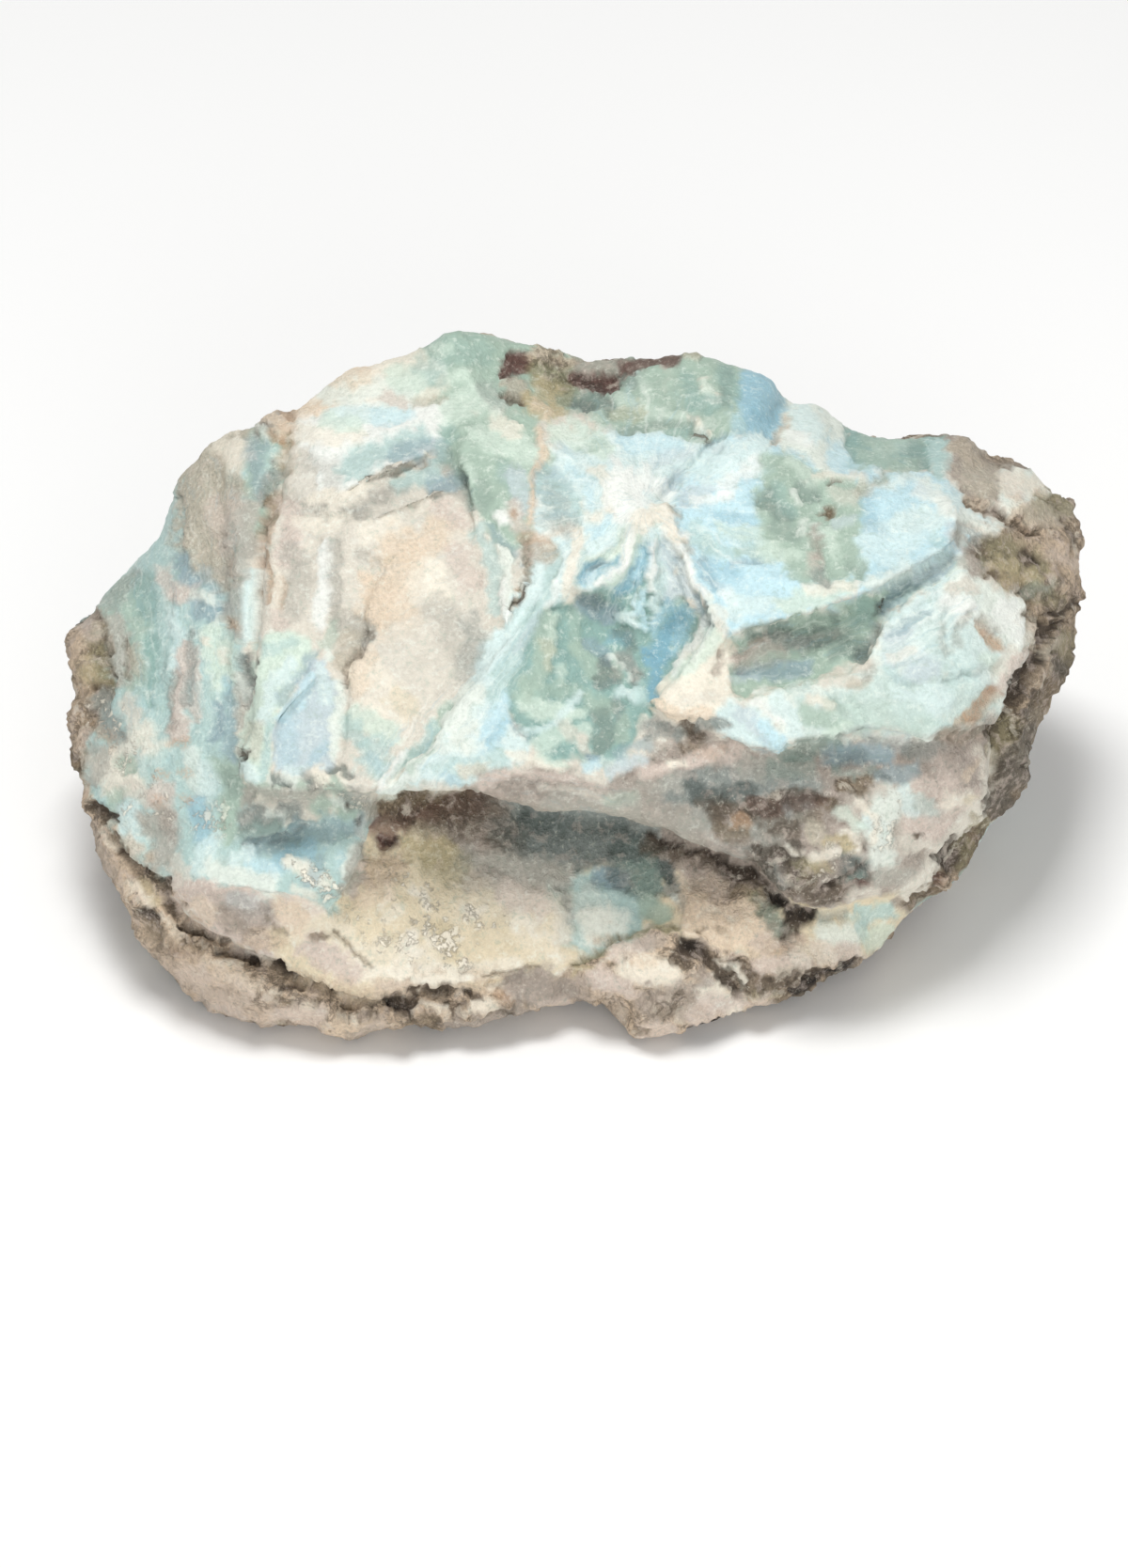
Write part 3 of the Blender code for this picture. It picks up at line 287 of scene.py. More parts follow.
# Areas on what overhangs the shelf, and on the shelf itself, each going on behind the lip between them
OVERHANG_AREAS = [
    ("clay", 1.4, [(-11, -9.4), (-4, -7.4), (3, -9), (8, -5.6), (12, -4.4), (19, -6.4), (25, -4.8),
                   (33, -5.2), (38.6, -2.6), (40.5, -8), (39, -13), (32, -20), (27, -23), (20, -23),
                   (16, -19), (3, -15), (-9, -13)]),
    ("ash", 2.4, [(8, -8), (19, -6.6), (23, -9), (22, -12), (19, -14), (18, -19), (12, -17), (7, -12.6)]),
]
SHELF_AREAS_AND_SHADE = [
    ("straw", 1, [(-20.6, -16), (-18, -9), (-10, -8), (9, -11), (17, -14), (21, -18), (28, -18), (32, -20.6),
                  (28, -25), (20, -25.6), (13, -24.4), (7, -22.4), (2, -24.4), (-2, -26.6), (-9, -28),
                  (-20, -29.4), (-27, -26.6), (-29, -22.4), (-24, -20.6)]),
    # Dove, clay, ash and bark here darken the top of the shelf under the lip: painted shade of the overhang
    ("dove", 3.4, [(-12, -8), (-12, -16), (-8, -19), (0, -19), (4, -9)]),
    ("clay", 3, [(-13, -8), (-13.4, -12.6), (-9, -15.4), (-4, -15), (-4, -8)]),
    ("ash", 2.4, [(-7, -8), (-6.6, -13.6), (-4, -15.8), (2, -16.4), (8, -18), (10, -14), (8, -10), (0, -8)]),
    ("bark", 1.2, [(-20, -8), (-18.8, -13.2), (-12, -12.4), (-9.2, -12), (-9, -8)]),
    # Painted shade under the right part of the lip
    ("clay", 1.6, [(7.6, -11), (8.2, -16.4), (12, -18), (16, -18.6), (20, -20.4), (22, -17), (16, -13)]),
    ("peach", 1.6, [(9.8, -18.4), (16, -19.4), (18.6, -20.6), (20, -24.4), (12, -24.6), (9.6, -22.4)]),
    ("aqua", 1.4, [(-1.2, -18.2), (0.4, -25), (6, -23.4), (7, -20), (5, -17), (1, -17)]),
    ("milk", 1.2, [(0.2, -20.4), (4.6, -20.4), (5.4, -22.4), (1, -24.4)]),
    # Painted shade under the lip, on the shelf's green
    ("moss", 1.4, [(4, -14), (7.4, -15), (8.6, -17.6), (7.6, -20), (5.2, -19.8), (3.4, -17)]),
]

# Brush strokes on the layout, laid in this order: tint, strength, reach from the line in millimetres, line
STROKES = {
    "left tip": [
        ("clay", 0.7, 1.6, [(-47.4, 4.4), (-45.4, 6.4)]),
        ("tan", 0.8, 1.3, [(-46.6, 3.2), (-46, 0.6)]),
        ("ochre", 0.8, 0.9, [(-45.6, 2.2), (-45, 0.8)]),
        ("olive", 0.7, 0.6, [(-44.6, 5.6), (-44.4, 3), (-43.8, 0.4)]),
        ("tan", 0.6, 1.5, [(-46.4, -1), (-46.6, -3.4)]),
        ("shell", 0.6, 0.8, [(-45.4, -4.6), (-46.4, -5.4)]),
        ("rust", 0.4, 0.5, [(-44.4, -3.2), (-44, -4.2)]),
        ("bark", 0.6, 0.5, [(-45.8, -6.4), (-45.6, -7.4)]),
        ("tan", 0.7, 1.1, [(-46.8, 5), (-46.4, 2.6)]),
        ("shell", 0.5, 0.9, [(-45.6, 6), (-44.8, 5)]),
        ("tan", 0.6, 0.8, [(-47, -2), (-46.6, -5.4)]),
    ],
    "left flank": [
        ("sage", 0.85, 2, [(-42.4, 9.2), (-41.6, 6), (-41.6, 1.6)]),
        ("ash", 0.45, 1.2, [(-43.2, 8.4), (-41.2, 10.4)]),
        ("dove", 0.8, 1.1, [(-42.8, 6), (-42.7, 3), (-42.4, 1)]),
        ("bark", 0.5, 0.35, [(-43.6, 5.6), (-43.4, 2.6), (-42.8, 0.4)]),
        ("bark", 0.5, 0.3, [(-41.9, 4.6), (-41.2, 2.6), (-41.6, 1)]),
        ("sand", 0.6, 0.6, [(-41, 3.2), (-40.7, 1.6)]),
        ("aqua", 0.9, 2, [(-38.4, 17.4), (-38.4, 12)]),
        ("sand", 0.95, 2.6, [(-33, 23.6), (-34.6, 20), (-34.8, 15), (-33.8, 11.6)]),
        ("sand", 0.8, 1.6, [(-31.2, 24.2), (-32.4, 20), (-32.2, 16)]),
        ("cream", 0.8, 0.9, [(-31.8, 22.9), (-31, 22), (-31.4, 20.6)]),
        ("cream", 0.5, 0.6, [(-33.4, 22.6), (-32.6, 21.4)]),
        ("shell", 0.5, 0.8, [(-31.6, 17.6), (-31.8, 15.6)]),
        ("dove", 0.6, 0.8, [(-32.2, 15), (-32.3, 10.6)]),
        ("bark", 0.3, 0.45, [(-31.4, 13.8), (-31.9, 11.6), (-31.2, 10.2)]),
        ("steel", 0.8, 0.65, [(-36.9, 12.1), (-36.4, 10.6), (-35.5, 9.8)]),
        ("steel", 0.5, 0.9, [(-34.8, 10.2), (-33.6, 8.6)]),
        ("shell", 0.7, 1, [(-38.2, 10.2), (-37.2, 8.6)]),
        ("shell", 0.5, 0.9, [(-37.4, 8.4), (-35.6, 8.8)]),
        ("steel", 0.75, 0.8, [(-35.4, 7.2), (-33.8, 7), (-32.6, 7.6)]),
        ("milk", 0.8, 0.5, [(-34.6, 8.5), (-33.6, 8.2)]),
        ("milk", 0.7, 0.5, [(-33.6, 6.2), (-32.8, 6.6)]),
        ("dove", 0.7, 0.8, [(-31.8, 9), (-31.9, 7), (-31.4, 4.8)]),
        ("rust", 0.6, 0.45, [(-32, 6), (-31.6, 5.4)]),
        ("teal", 0.7, 0.9, [(-40.2, 10), (-39.9, 7)]),
        ("teal", 0.95, 1, [(-39.3, 4.6), (-39.2, 2), (-39.4, -1.4)]),
        ("aqua", 0.8, 0.9, [(-38.4, 7.4), (-38, 4), (-38.8, -1), (-38.6, -3.6)]),
        ("ice", 0.7, 0.6, [(-37.8, 7), (-37, 4.4), (-37.2, 2.2)]),
        ("shell", 0.85, 0.7, [(-36.2, 4), (-36.6, 1), (-36.8, -2.4), (-37.2, -4.6)]),
        ("shell", 0.7, 0.5, [(-35.4, 3.2), (-35.2, 0.4), (-35.6, -3)]),
        ("clay", 0.5, 0.4, [(-37.2, 1.6), (-37.6, -1.2), (-37.4, -3.8)]),
        ("ash", 0.6, 0.5, [(-35.9, 5.2), (-35.8, 2), (-36, -1.2)]),
        ("mint", 0.9, 1.2, [(-34, 5), (-32.8, 2.8), (-33, 1)]),
        ("cream", 0.7, 0.4, [(-34.6, 4.5), (-34.3, 4)]),
        ("cream", 0.6, 0.45, [(-33.2, 3.4), (-32.6, 2.6)]),
        ("blue", 0.6, 0.5, [(-32.8, 0.8), (-32.4, -0.2)]),
        ("steel", 0.85, 0.6, [(-33.6, -1.6), (-33.4, -3), (-33.6, -4.6)]),
        ("aqua", 0.6, 0.7, [(-34.6, 0), (-34.4, -4.4)]),
        ("steel", 0.6, 0.7, [(-32.2, -1), (-32.3, -4), (-32, -7)]),
        ("dove", 0.7, 0.6, [(-31.3, 0.4), (-31.2, -3.6)]),
        ("ash", 0.7, 0.5, [(-30.6, 2.4), (-30.6, -1.4)]),
        ("ice", 0.9, 0.6, [(-30.3, 10.4), (-30.2, 4.6)]),
        ("slate", 0.6, 0.4, [(-30, 2.4), (-30.1, 0.8), (-30.4, -0.2)]),
        ("milk", 0.6, 0.45, [(-31, 0.6), (-30.7, -0.6)]),
        ("sage", 0.9, 1.2, [(-32.6, -7.4), (-31.8, -10), (-32.4, -13.4)]),
        ("moss", 0.4, 0.8, [(-32.6, -8), (-32, -9.6)]),
        ("cream", 0.9, 1.6, [(-43.4, -7.4), (-42.4, -9)]),
        ("cream", 0.8, 1.1, [(-40.2, -4.2), (-42.4, -5.6), (-40.8, -8.6)]),
        ("pearl", 0.8, 0.9, [(-41.6, -1.4), (-41.2, -3)]),
        ("cream", 0.6, 0.9, [(-38.4, -5.6), (-40, -6.4)]),
        ("dove", 0.7, 0.9, [(-44.4, -6.2), (-45, -8.4)]),
        ("ash", 0.75, 0.9, [(-44.2, -1), (-43.4, -3.4), (-42.6, -4.4)]),
        ("sage", 0.75, 0.45, [(-42.4, -7.2), (-41.7, -6.6), (-41.1, -7.2), (-41.8, -7.9)]),
        ("pearl", 0.8, 1, [(-41.6, -9.6), (-39.4, -10.4)]),
        ("shell", 0.75, 1.2, [(-38.6, -9.6), (-38.2, -11.6)]),
        ("aqua", 0.8, 1, [(-40, -7.4), (-36.8, -6.6)]),
        ("milk", 0.6, 0.8, [(-35.6, -6.2), (-35.2, -9)]),
        ("ice", 0.6, 0.7, [(-34.2, -7.6), (-34.8, -10.4)]),
        ("sage", 0.7, 0.8, [(-42.6, -10.2), (-42.8, -11.4)]),
        ("ice", 0.7, 1.1, [(-41.4, -11.8), (-41.2, -14.4)]),
        ("dove", 0.85, 1.4, [(-39.2, -12.6), (-38, -13.6), (-38.2, -15.6)]),
        ("clay", 0.45, 0.8, [(-37.8, -12.2), (-37.2, -13.4)]),
        ("aqua", 0.7, 0.8, [(-36.4, -12), (-36.2, -16.6)]),
        ("blue", 0.75, 0.8, [(-35.4, -11), (-34.4, -14.4)]),
        ("ice", 0.7, 0.8, [(-33.6, -14.2), (-35.2, -16.6)]),
        ("pearl", 0.7, 0.8, [(-37, -16.4), (-36.4, -18.2)]),
    ],
    "rib": [
        ("clay", 0.9, 1.3, [(-28.6, 25.2), (-27, 25.2)]),
        ("rust", 0.6, 0.75, [(-26.6, 25.6), (-27.1, 20.2)]),
        ("rust", 0.6, 0.5, [(-28.4, 24), (-27.4, 23.2)]),
        ("milk", 0.7, 0.35, [(-29.2, 24.4), (-28.8, 23.6)]),
        ("steel", 0.6, 0.9, [(-29.6, 22.6), (-29.6, 20.4), (-29.2, 18.4)]),
        ("aqua", 0.7, 0.7, [(-28.2, 22), (-28.2, 19.6)]),
        ("ash", 0.7, 0.8, [(-27.8, 20), (-28.6, 17.6)]),
        ("dove", 0.9, 1, [(-30.2, 17), (-30.6, 13)]),
        ("rust", 0.5, 0.5, [(-27.6, 17.6), (-28.6, 15.6), (-29, 13.8)]),
        ("bark", 0.4, 0.4, [(-28.2, 17), (-29, 14.6)]),
        ("dove", 0.7, 0.7, [(-31, 12.6), (-30.8, 10.6)]),
        ("peach", 0.7, 0.8, [(-28.2, 25.2), (-27.2, 24.4)]),
        ("cream", 0.6, 0.8, [(-33, 23.2), (-31.4, 21.2)]),
        ("shell", 0.5, 0.9, [(-33.6, 17), (-32.6, 13)]),
    ],
    "upper left plates": [
        ("peach", 0.9, 1.5, [(-24.2, 27), (-22, 28.6), (-19.4, 29.4)]),
        ("cream", 0.8, 1.2, [(-25, 28), (-21, 30.4), (-16, 31)]),
        ("milk", 0.7, 1.1, [(-15, 28.4), (-13.4, 30)]),
        ("peach", 0.7, 1, [(-25.4, 25.8), (-23.4, 26.6)]),
        ("cream", 0.8, 1.6, [(-18.2, 29.6), (-15, 30.6)]),
        ("cream", 0.7, 1, [(-20, 27.2), (-17.4, 27)]),
        ("ice", 0.9, 0.9, [(-22.6, 25.4), (-19.4, 25.8), (-16.4, 25.8)]),
        ("sky", 0.45, 0.8, [(-18.4, 25.5), (-15.8, 25.6)]),
        ("cream", 0.7, 1, [(-25.6, 23.8), (-23, 23.4), (-20.6, 23.6)]),
        ("mint", 0.7, 0.8, [(-23, 25), (-20.6, 24.8)]),
        ("pearl", 0.8, 1.2, [(-26, 21.4), (-25.2, 18.6)]),
        ("dove", 0.35, 0.9, [(-25, 20.8), (-22.6, 20.6), (-22.6, 19)]),
        ("aqua", 0.85, 1.2, [(-21, 20.6), (-14.6, 23.2)]),
        ("steel", 0.55, 0.9, [(-16.6, 21.6), (-14, 22.4), (-12.4, 22.2)]),
        ("cream", 0.85, 0.7, [(-24.4, 17.8), (-21.6, 17.9), (-19.8, 18.2)]),
        ("pearl", 0.8, 0.8, [(-18.4, 18.9), (-15.4, 20.2)]),
        ("aqua", 0.8, 0.9, [(-16, 18.8), (-13, 20.3)]),
        ("steel", 0.75, 0.8, [(-13.2, 19.2), (-11.2, 19.2)]),
        ("cream", 0.6, 0.5, [(-23.4, 16.6), (-20.8, 16.1)]),
        ("pearl", 0.8, 0.7, [(-18.4, 16.4), (-14.4, 17.8)]),
        ("milk", 0.8, 1.2, [(-23, 27.6), (-19.6, 28.2), (-16, 27.6)]),
        ("peach", 0.6, 0.8, [(-22.4, 29), (-19.6, 29.6)]),
    ],
    "cream plate": [
        ("shell", 0.75, 1.1, [(-26.6, 16.4), (-26.2, 14.4), (-27.4, 12)]),
        ("cream", 0.7, 0.8, [(-25.6, 15.2), (-22.6, 15.4)]),
        ("dove", 0.55, 0.9, [(-26.4, 12.8), (-25.2, 12)]),
        ("dove", 0.55, 1.3, [(-25.6, 10.4), (-26.6, 7)]),
        ("rust", 0.5, 0.35, [(-29, 12.6), (-28.6, 10), (-28.8, 8.2)]),
        ("rust", 0.35, 0.5, [(-27.6, 9.6), (-27.3, 8)]),
        ("cream", 0.6, 0.4, [(-28.2, 12.4), (-27.8, 9.6), (-28, 7.4)]),
        ("shell", 0.6, 0.7, [(-27.8, 7), (-27.4, 5.8)]),
        ("snow", 0.9, 0.75, [(-23.2, 13.2), (-23.2, 9.6), (-23.6, 6.4)]),
        ("dove", 0.7, 0.7, [(-22.2, 13.4), (-22.3, 6.8)]),
        ("cream", 0.7, 0.9, [(-19.4, 14.4), (-16.4, 15.2)]),
        ("dove", 0.5, 0.7, [(-19.8, 12.8), (-18.6, 11.8)]),
        ("olive", 0.5, 0.35, [(-17.1, 12.3), (-17.8, 11.5)]),
        ("peach", 0.75, 2.2, [(-16.4, 12.8), (-17, 6.4)]),
        ("peach", 0.75, 1.8, [(-12.6, 14.6), (-14.6, 12.4)]),
        ("shell", 0.7, 1, [(-12.4, 16.8), (-11, 15.6)]),
        ("cream", 0.95, 1.5, [(-13.2, 11), (-12.8, 9.2)]),
        ("cream", 0.7, 1, [(-14.6, 10.6), (-14.4, 8.6)]),
        ("shell", 0.6, 1.2, [(-10.6, 12.4), (-9.6, 10)]),
        ("dove", 0.45, 1.6, [(-12.8, 7.4), (-11, 5.4), (-10.6, 3.6)]),
        ("ash", 0.4, 1, [(-9.6, 6), (-9.2, 3.6), (-10.4, 1.4)]),
        ("peach", 0.8, 1.4, [(-18.6, 9.4), (-18.4, 6.6)]),
        ("pearl", 0.8, 1.8, [(-16, 4.6), (-13.8, 2)]),
        ("cream", 0.75, 1.7, [(-19.4, 1), (-17.2, -1.4)]),
        ("peach", 0.55, 1.2, [(-19.2, 2.8), (-20.2, 0.4)]),
        ("straw", 0.5, 1.1, [(-16.6, -0.6), (-15.8, -2.2)]),
        ("cream", 0.75, 0.7, [(-20.2, -1.6), (-16.6, -3.2)]),
        ("mint", 0.8, 0.9, [(-20.8, -2.6), (-17, -4.4)]),
        ("aqua", 0.7, 0.9, [(-21, -3.4), (-20, -5)]),
        ("aqua", 0.75, 1.5, [(-18.8, -5.6), (-18.6, -7.6)]),
        ("blue", 0.3, 0.8, [(-18.6, -6.6), (-18, -7.8)]),
        ("dove", 0.8, 0.8, [(-21.6, 6), (-20, 5.8), (-19.4, 5)]),
        ("sand", 0.7, 1, [(-20.8, 4.6), (-21.4, 2.8)]),
        ("umber", 0.4, 0.3, [(-19.2, 5), (-20, 3.4), (-21, 1.8), (-21.4, 0.4)]),
        ("sage", 0.5, 0.7, [(-23.4, 4.2), (-22.4, 5.4)]),
        ("milk", 0.8, 0.35, [(-23.2, 3.6), (-22.6, 2.9)]),
    ],
    "lavender hollow": [
        ("mint", 0.6, 0.7, [(-29.2, 1.2), (-27.6, 0.4)]),
        ("aqua", 0.6, 0.6, [(-28.6, 3.6), (-26.4, 4)]),
        ("ice", 0.8, 0.6, [(-26.6, 2.4), (-28.2, -0.4), (-29.2, -3)]),
        ("steel", 0.5, 0.45, [(-24.4, 3.2), (-27.6, -1)]),
        ("sky", 0.7, 0.7, [(-24.6, 1), (-25.4, -0.6), (-27.2, -2.6)]),
        ("blue", 0.3, 0.9, [(-26.4, -3.6), (-26.6, -6.2)]),
        ("ice", 0.7, 0.6, [(-23.4, 1.8), (-23.6, -1.4)]),
        ("blue", 0.35, 0.6, [(-23.4, -5.4), (-24.6, -6.8)]),
        ("ice", 0.7, 0.6, [(-26.8, -7.6), (-25.8, -7.8)]),
        ("milk", 0.9, 0.5, [(-22.1, 0.6), (-22.4, -6.4)]),
        ("aqua", 0.8, 0.45, [(-28.4, -3.4), (-28.8, -6), (-28.9, -8.4)]),
        ("sand", 0.4, 0.7, [(-29.8, -3.6), (-30, -6)]),
        ("ice", 0.8, 0.7, [(-30.6, -7.4), (-30, -8.6)]),
        ("soot", 0.6, 0.15, [(-30.6, -5.8), (-31.2, -7)]),
    ],
    "crust under the hollow": [
        ("sage", 0.8, 0.9, [(-29.4, -9.6), (-22, -8.8)]),
        ("milk", 0.85, 0.55, [(-27.8, -8.3), (-26.6, -8.6)]),
        ("cream", 0.85, 0.6, [(-24.6, -8.2), (-23.4, -8.2)]),
        ("cream", 0.75, 0.5, [(-22, -7.6), (-21.2, -8.6)]),
        ("ash", 0.6, 0.5, [(-25.4, -8), (-24.8, -9.4)]),
        ("slate", 0.6, 0.3, [(-27.9, -8), (-27.4, -8.7), (-26.9, -9.2)]),
        ("slate", 0.6, 0.25, [(-23, -7.7), (-21.7, -7.5), (-20.8, -8.4)]),
        ("slate", 0.5, 0.25, [(-25.2, -8.4), (-24.7, -9.3), (-23.4, -9.8)]),
        ("dove", 0.85, 1.1, [(-30.2, -10.2), (-27.4, -10.6), (-24, -10.2)]),
        ("ash", 0.8, 1, [(-30.4, -12.2), (-26.2, -11.6)]),
        ("moss", 0.5, 0.8, [(-30.8, -13.4), (-28.4, -13)]),
        ("milk", 0.7, 0.3, [(-28.8, -11.4), (-28, -11.9), (-27, -11.8)]),
        ("cream", 0.6, 0.4, [(-29.4, -10.4), (-28.6, -10.9)]),
        ("sage", 0.8, 1.1, [(-23.4, -11), (-20.6, -11.4)]),
        ("ash", 0.6, 0.9, [(-21.6, -10.2), (-19.2, -10.8), (-19, -12.2)]),
        ("milk", 0.6, 0.35, [(-22.8, -10.4), (-21.4, -11.4)]),
        ("pearl", 0.7, 0.5, [(-20.2, -12.4), (-20, -14)]),
        ("dove", 0.7, 0.6, [(-18.6, -11), (-18.6, -13)]),
        ("soot", 0.8, 0.2, [(-21.2, -11.2), (-20.9, -11.3)]),
        ("soot", 0.8, 0.2, [(-20.5, -12.6), (-20.2, -12.5)]),
        # Painted shadow where the crust's lower edge overhangs the blue tread
        ("slate", 0.6, 0.3, [(-30.6, -14.6), (-26.8, -13.8), (-25.2, -12.8)]),
    ],
    "diagonal stripes": [
        ("milk", 0.9, 1.2, [(-9.4, -0.6), (-11.6, -3.4), (-10, -4.6)]),
        ("milk", 0.8, 0.8, [(-12.6, -4.4), (-15.6, -8.4), (-17.2, -9.8)]),
        ("sage", 0.75, 0.3, [(-11.4, -1.4), (-13.6, -4.6), (-16.2, -7.4)]),
        ("aqua", 0.75, 0.35, [(-13, -3.4), (-15.4, -6.4), (-17.6, -8.8)]),
        ("snow", 0.8, 0.35, [(-15.8, -6.2), (-18, -9.2)]),
        ("sage", 0.5, 0.3, [(-13.4, -5.6), (-15.4, -8)]),
        ("sky", 0.9, 1, [(-8.6, -5.2), (-6.4, -1.6)]),
        ("blue", 0.45, 0.7, [(-8, -5.4), (-6.4, -3.6)]),
        ("aqua", 0.6, 0.8, [(-12.6, -7.6), (-10.2, -7), (-7, -6.6)]),
        ("ice", 0.7, 0.7, [(-14.2, -9), (-12, -8.4)]),
        ("blue", 0.4, 0.5, [(-12, -8.2), (-10.6, -8.8)]),
        ("peach", 0.5, 0.6, [(-10.6, -7.4), (-8.4, -7.4)]),
        ("pearl", 0.7, 0.6, [(-13.8, -9.2), (-10.8, -9.6)]),
        ("milk", 0.6, 0.5, [(-12.8, -5.8), (-9, -5.4)]),
    ],
    "pale column": [
        ("aqua", 0.7, 0.7, [(-8.8, 14.6), (-7.6, 11), (-7.4, 7.4)]),
        ("steel", 0.5, 0.5, [(-7.6, 15), (-5.2, 11.6)]),
        ("milk", 0.9, 0.6, [(-7, 12.8), (-6, 10.4), (-6.2, 7.6)]),
        ("snow", 0.75, 0.4, [(-6.6, 9.8), (-6.6, 7), (-6.2, 6.2)]),
        ("pearl", 0.8, 0.5, [(-5.4, 11.4), (-5.2, 9.2)]),
        ("rust", 0.55, 0.3, [(-5.2, 9.2), (-4.7, 8.4), (-5.6, 7.2)]),
        ("umber", 0.5, 0.15, [(-4.4, 9.6), (-4.7, 8.5), (-5.8, 6.9)]),
        ("aqua", 0.75, 0.6, [(-2, 12.4), (-3, 8.4), (-5.4, 4.4), (-7.6, 1.4)]),
        ("ice", 0.8, 0.5, [(-3.4, 11), (-4.4, 7.6), (-6.6, 4.2), (-9, 1.2)]),
        ("lilac", 0.5, 0.5, [(-3.4, 6.6), (-5.6, 3.4)]),
        ("snow", 0.6, 0.5, [(-1.8, 9.8), (-2.6, 7.2)]),
        ("aqua", 0.8, 0.8, [(-5.6, 2.4), (-7.6, -1)]),
        ("cream", 0.85, 0.6, [(0.6, 14.2), (-0.4, 11.4), (-0.4, 8)]),
        ("pearl", 0.7, 0.5, [(0.4, 10.4), (0.1, 7.4)]),
        ("aqua", 0.6, 0.4, [(0.9, 12.6), (0.5, 9.6)]),
    ],
    "green column": [
        ("mint", 0.85, 1.4, [(-8.6, 23.4), (-5.8, 23), (-4, 21.6)]),
        ("cream", 0.7, 0.7, [(-7.4, 25.4), (-5.6, 24)]),
        ("mint", 0.8, 1.2, [(-11.4, 25.6), (-9.4, 27.2), (-7.6, 26.8)]),
        ("teal", 0.55, 0.8, [(-11.8, 24), (-12, 21.6)]),
        # Painted shade where the plates dip under the column's left edge
        ("moss", 0.6, 0.4, [(-11.3, 22.2), (-10.9, 20), (-10.2, 18.2), (-9.8, 16.4)]),
        ("sage", 0.8, 1, [(-9.8, 22.4), (-8.4, 19.6), (-8.6, 16.6)]),
        ("mint", 0.5, 0.5, [(-9.9, 20.6), (-9.4, 19.4)]),
        ("moss", 0.35, 0.7, [(-8.6, 18.6), (-8.8, 16.6)]),
        ("teal", 0.35, 0.6, [(-6.6, 20.8), (-6.4, 18.8)]),
        ("lilac", 0.75, 1.1, [(-5.6, 19.4), (-4.8, 17)]),
        ("shell", 0.7, 0.7, [(-6, 16.8), (-5.2, 15)]),
        ("snow", 0.95, 0.5, [(-7.1, 16.5), (-6.6, 15.5)]),
        ("rust", 0.6, 0.25, [(-5.9, 16.6), (-5.7, 16.2)]),
        ("sage", 0.7, 0.5, [(-2.8, 21.4), (-2.9, 20)]),
        ("peach", 0.85, 0.35, [(-3.2, 24), (-3.2, 21.6), (-3.8, 18.4), (-4.2, 15.4)]),
        ("rust", 0.45, 0.6, [(-4.9, 13.9), (-3.2, 13.7), (-2.8, 13)]),
        ("dove", 0.7, 0.8, [(-4.2, 12.6), (-3, 12)]),
        ("bark", 0.5, 0.35, [(-4.6, 13.6), (-4.4, 11.8), (-4.4, 10.2)]),
        ("sand", 0.6, 0.6, [(-2.9, 12.2), (-2.3, 12.6)]),
        ("steel", 0.45, 0.9, [(-2.8, 19.8), (-1.2, 18.6)]),
        ("aqua", 0.75, 1.5, [(-1.8, 18.4), (-0.6, 16.4)]),
        ("ash", 0.3, 1.2, [(-2, 17.6), (-0.8, 15.2)]),
        ("dove", 0.3, 0.8, [(-2.6, 15.6), (-0.6, 14.6)]),
        ("cream", 0.5, 0.5, [(0.6, 17.2), (1.2, 15.8)]),
    ],
    "crystal spray": [
        ("pearl", 0.8, 0.6, [(12, 28.6), (12.4, 27.4), (13, 27)]),
        ("moss", 0.6, 0.5, [(14.2, 29.4), (14, 27)]),
        ("aqua", 0.6, 0.4, [(5.6, 29.4), (5.2, 27)]),
        ("pearl", 0.5, 0.3, [(8.4, 30), (8.6, 27.4)]),
        ("mint", 0.6, 0.5, [(2.2, 25.8), (4.4, 26.6), (7, 25.8), (10, 25.4)]),
        ("cream", 0.8, 0.3, [(10.6, 25.2), (12.6, 23.8)]),
        ("mint", 0.8, 1, [(-1.6, 23.8), (1.6, 23.4), (2.6, 22.4)]),
        ("sage", 0.5, 0.5, [(0.6, 22.6), (2.6, 22.6)]),
        ("sky", 0.7, 0.9, [(5, 23), (9, 22.4)]),
        ("lilac", 0.55, 0.6, [(7.4, 21.2), (11, 22)]),
        ("sky", 0.55, 0.6, [(-0.6, 20.6), (1.6, 19.2), (1.2, 17.4)]),
        ("cream", 0.7, 0.6, [(1.6, 20.2), (3.2, 19.2), (3.4, 17.8)]),
        ("snow", 0.95, 1.9, [(4.6, 18.6), (5.4, 16.6)]),
        ("snow", 0.8, 1.1, [(6.6, 19.6), (8.4, 18.4)]),
        ("snow", 0.7, 0.5, [(3.4, 21.4), (4.4, 19)]),
        ("cream", 0.75, 0.8, [(6, 15.6), (7.4, 16.2)]),
        ("cream", 0.7, 0.6, [(1.8, 16), (3.2, 16.4)]),
        ("cream", 0.8, 0.7, [(7.4, 15.6), (4.8, 13.4), (2.6, 11.2)]),
        ("sky", 0.7, 0.5, [(2, 14.4), (3, 15.8)]),
        ("mint", 0.7, 0.5, [(4.8, 14.6), (3.6, 12.6), (1.6, 11.4)]),
        ("deep", 0.8, 0.5, [(3.5, 12), (1, 10.1)]),
        ("blue", 0.6, 0.35, [(3.6, 11.4), (1.2, 9.6)]),
        ("snow", 0.9, 0.4, [(5.4, 14.4), (4.2, 11.6), (2.6, 9.6)]),
        ("mint", 0.8, 0.35, [(6, 14), (4.9, 11.6), (3.4, 9.6)]),
        ("blue", 0.9, 0.55, [(6.3, 12.6), (5.4, 10.8), (4, 9)]),
        ("deep", 0.6, 0.45, [(6.2, 11), (5.2, 9.4), (3.6, 8.2)]),
        ("blue", 0.7, 0.4, [(7, 13.4), (6.3, 11.4)]),
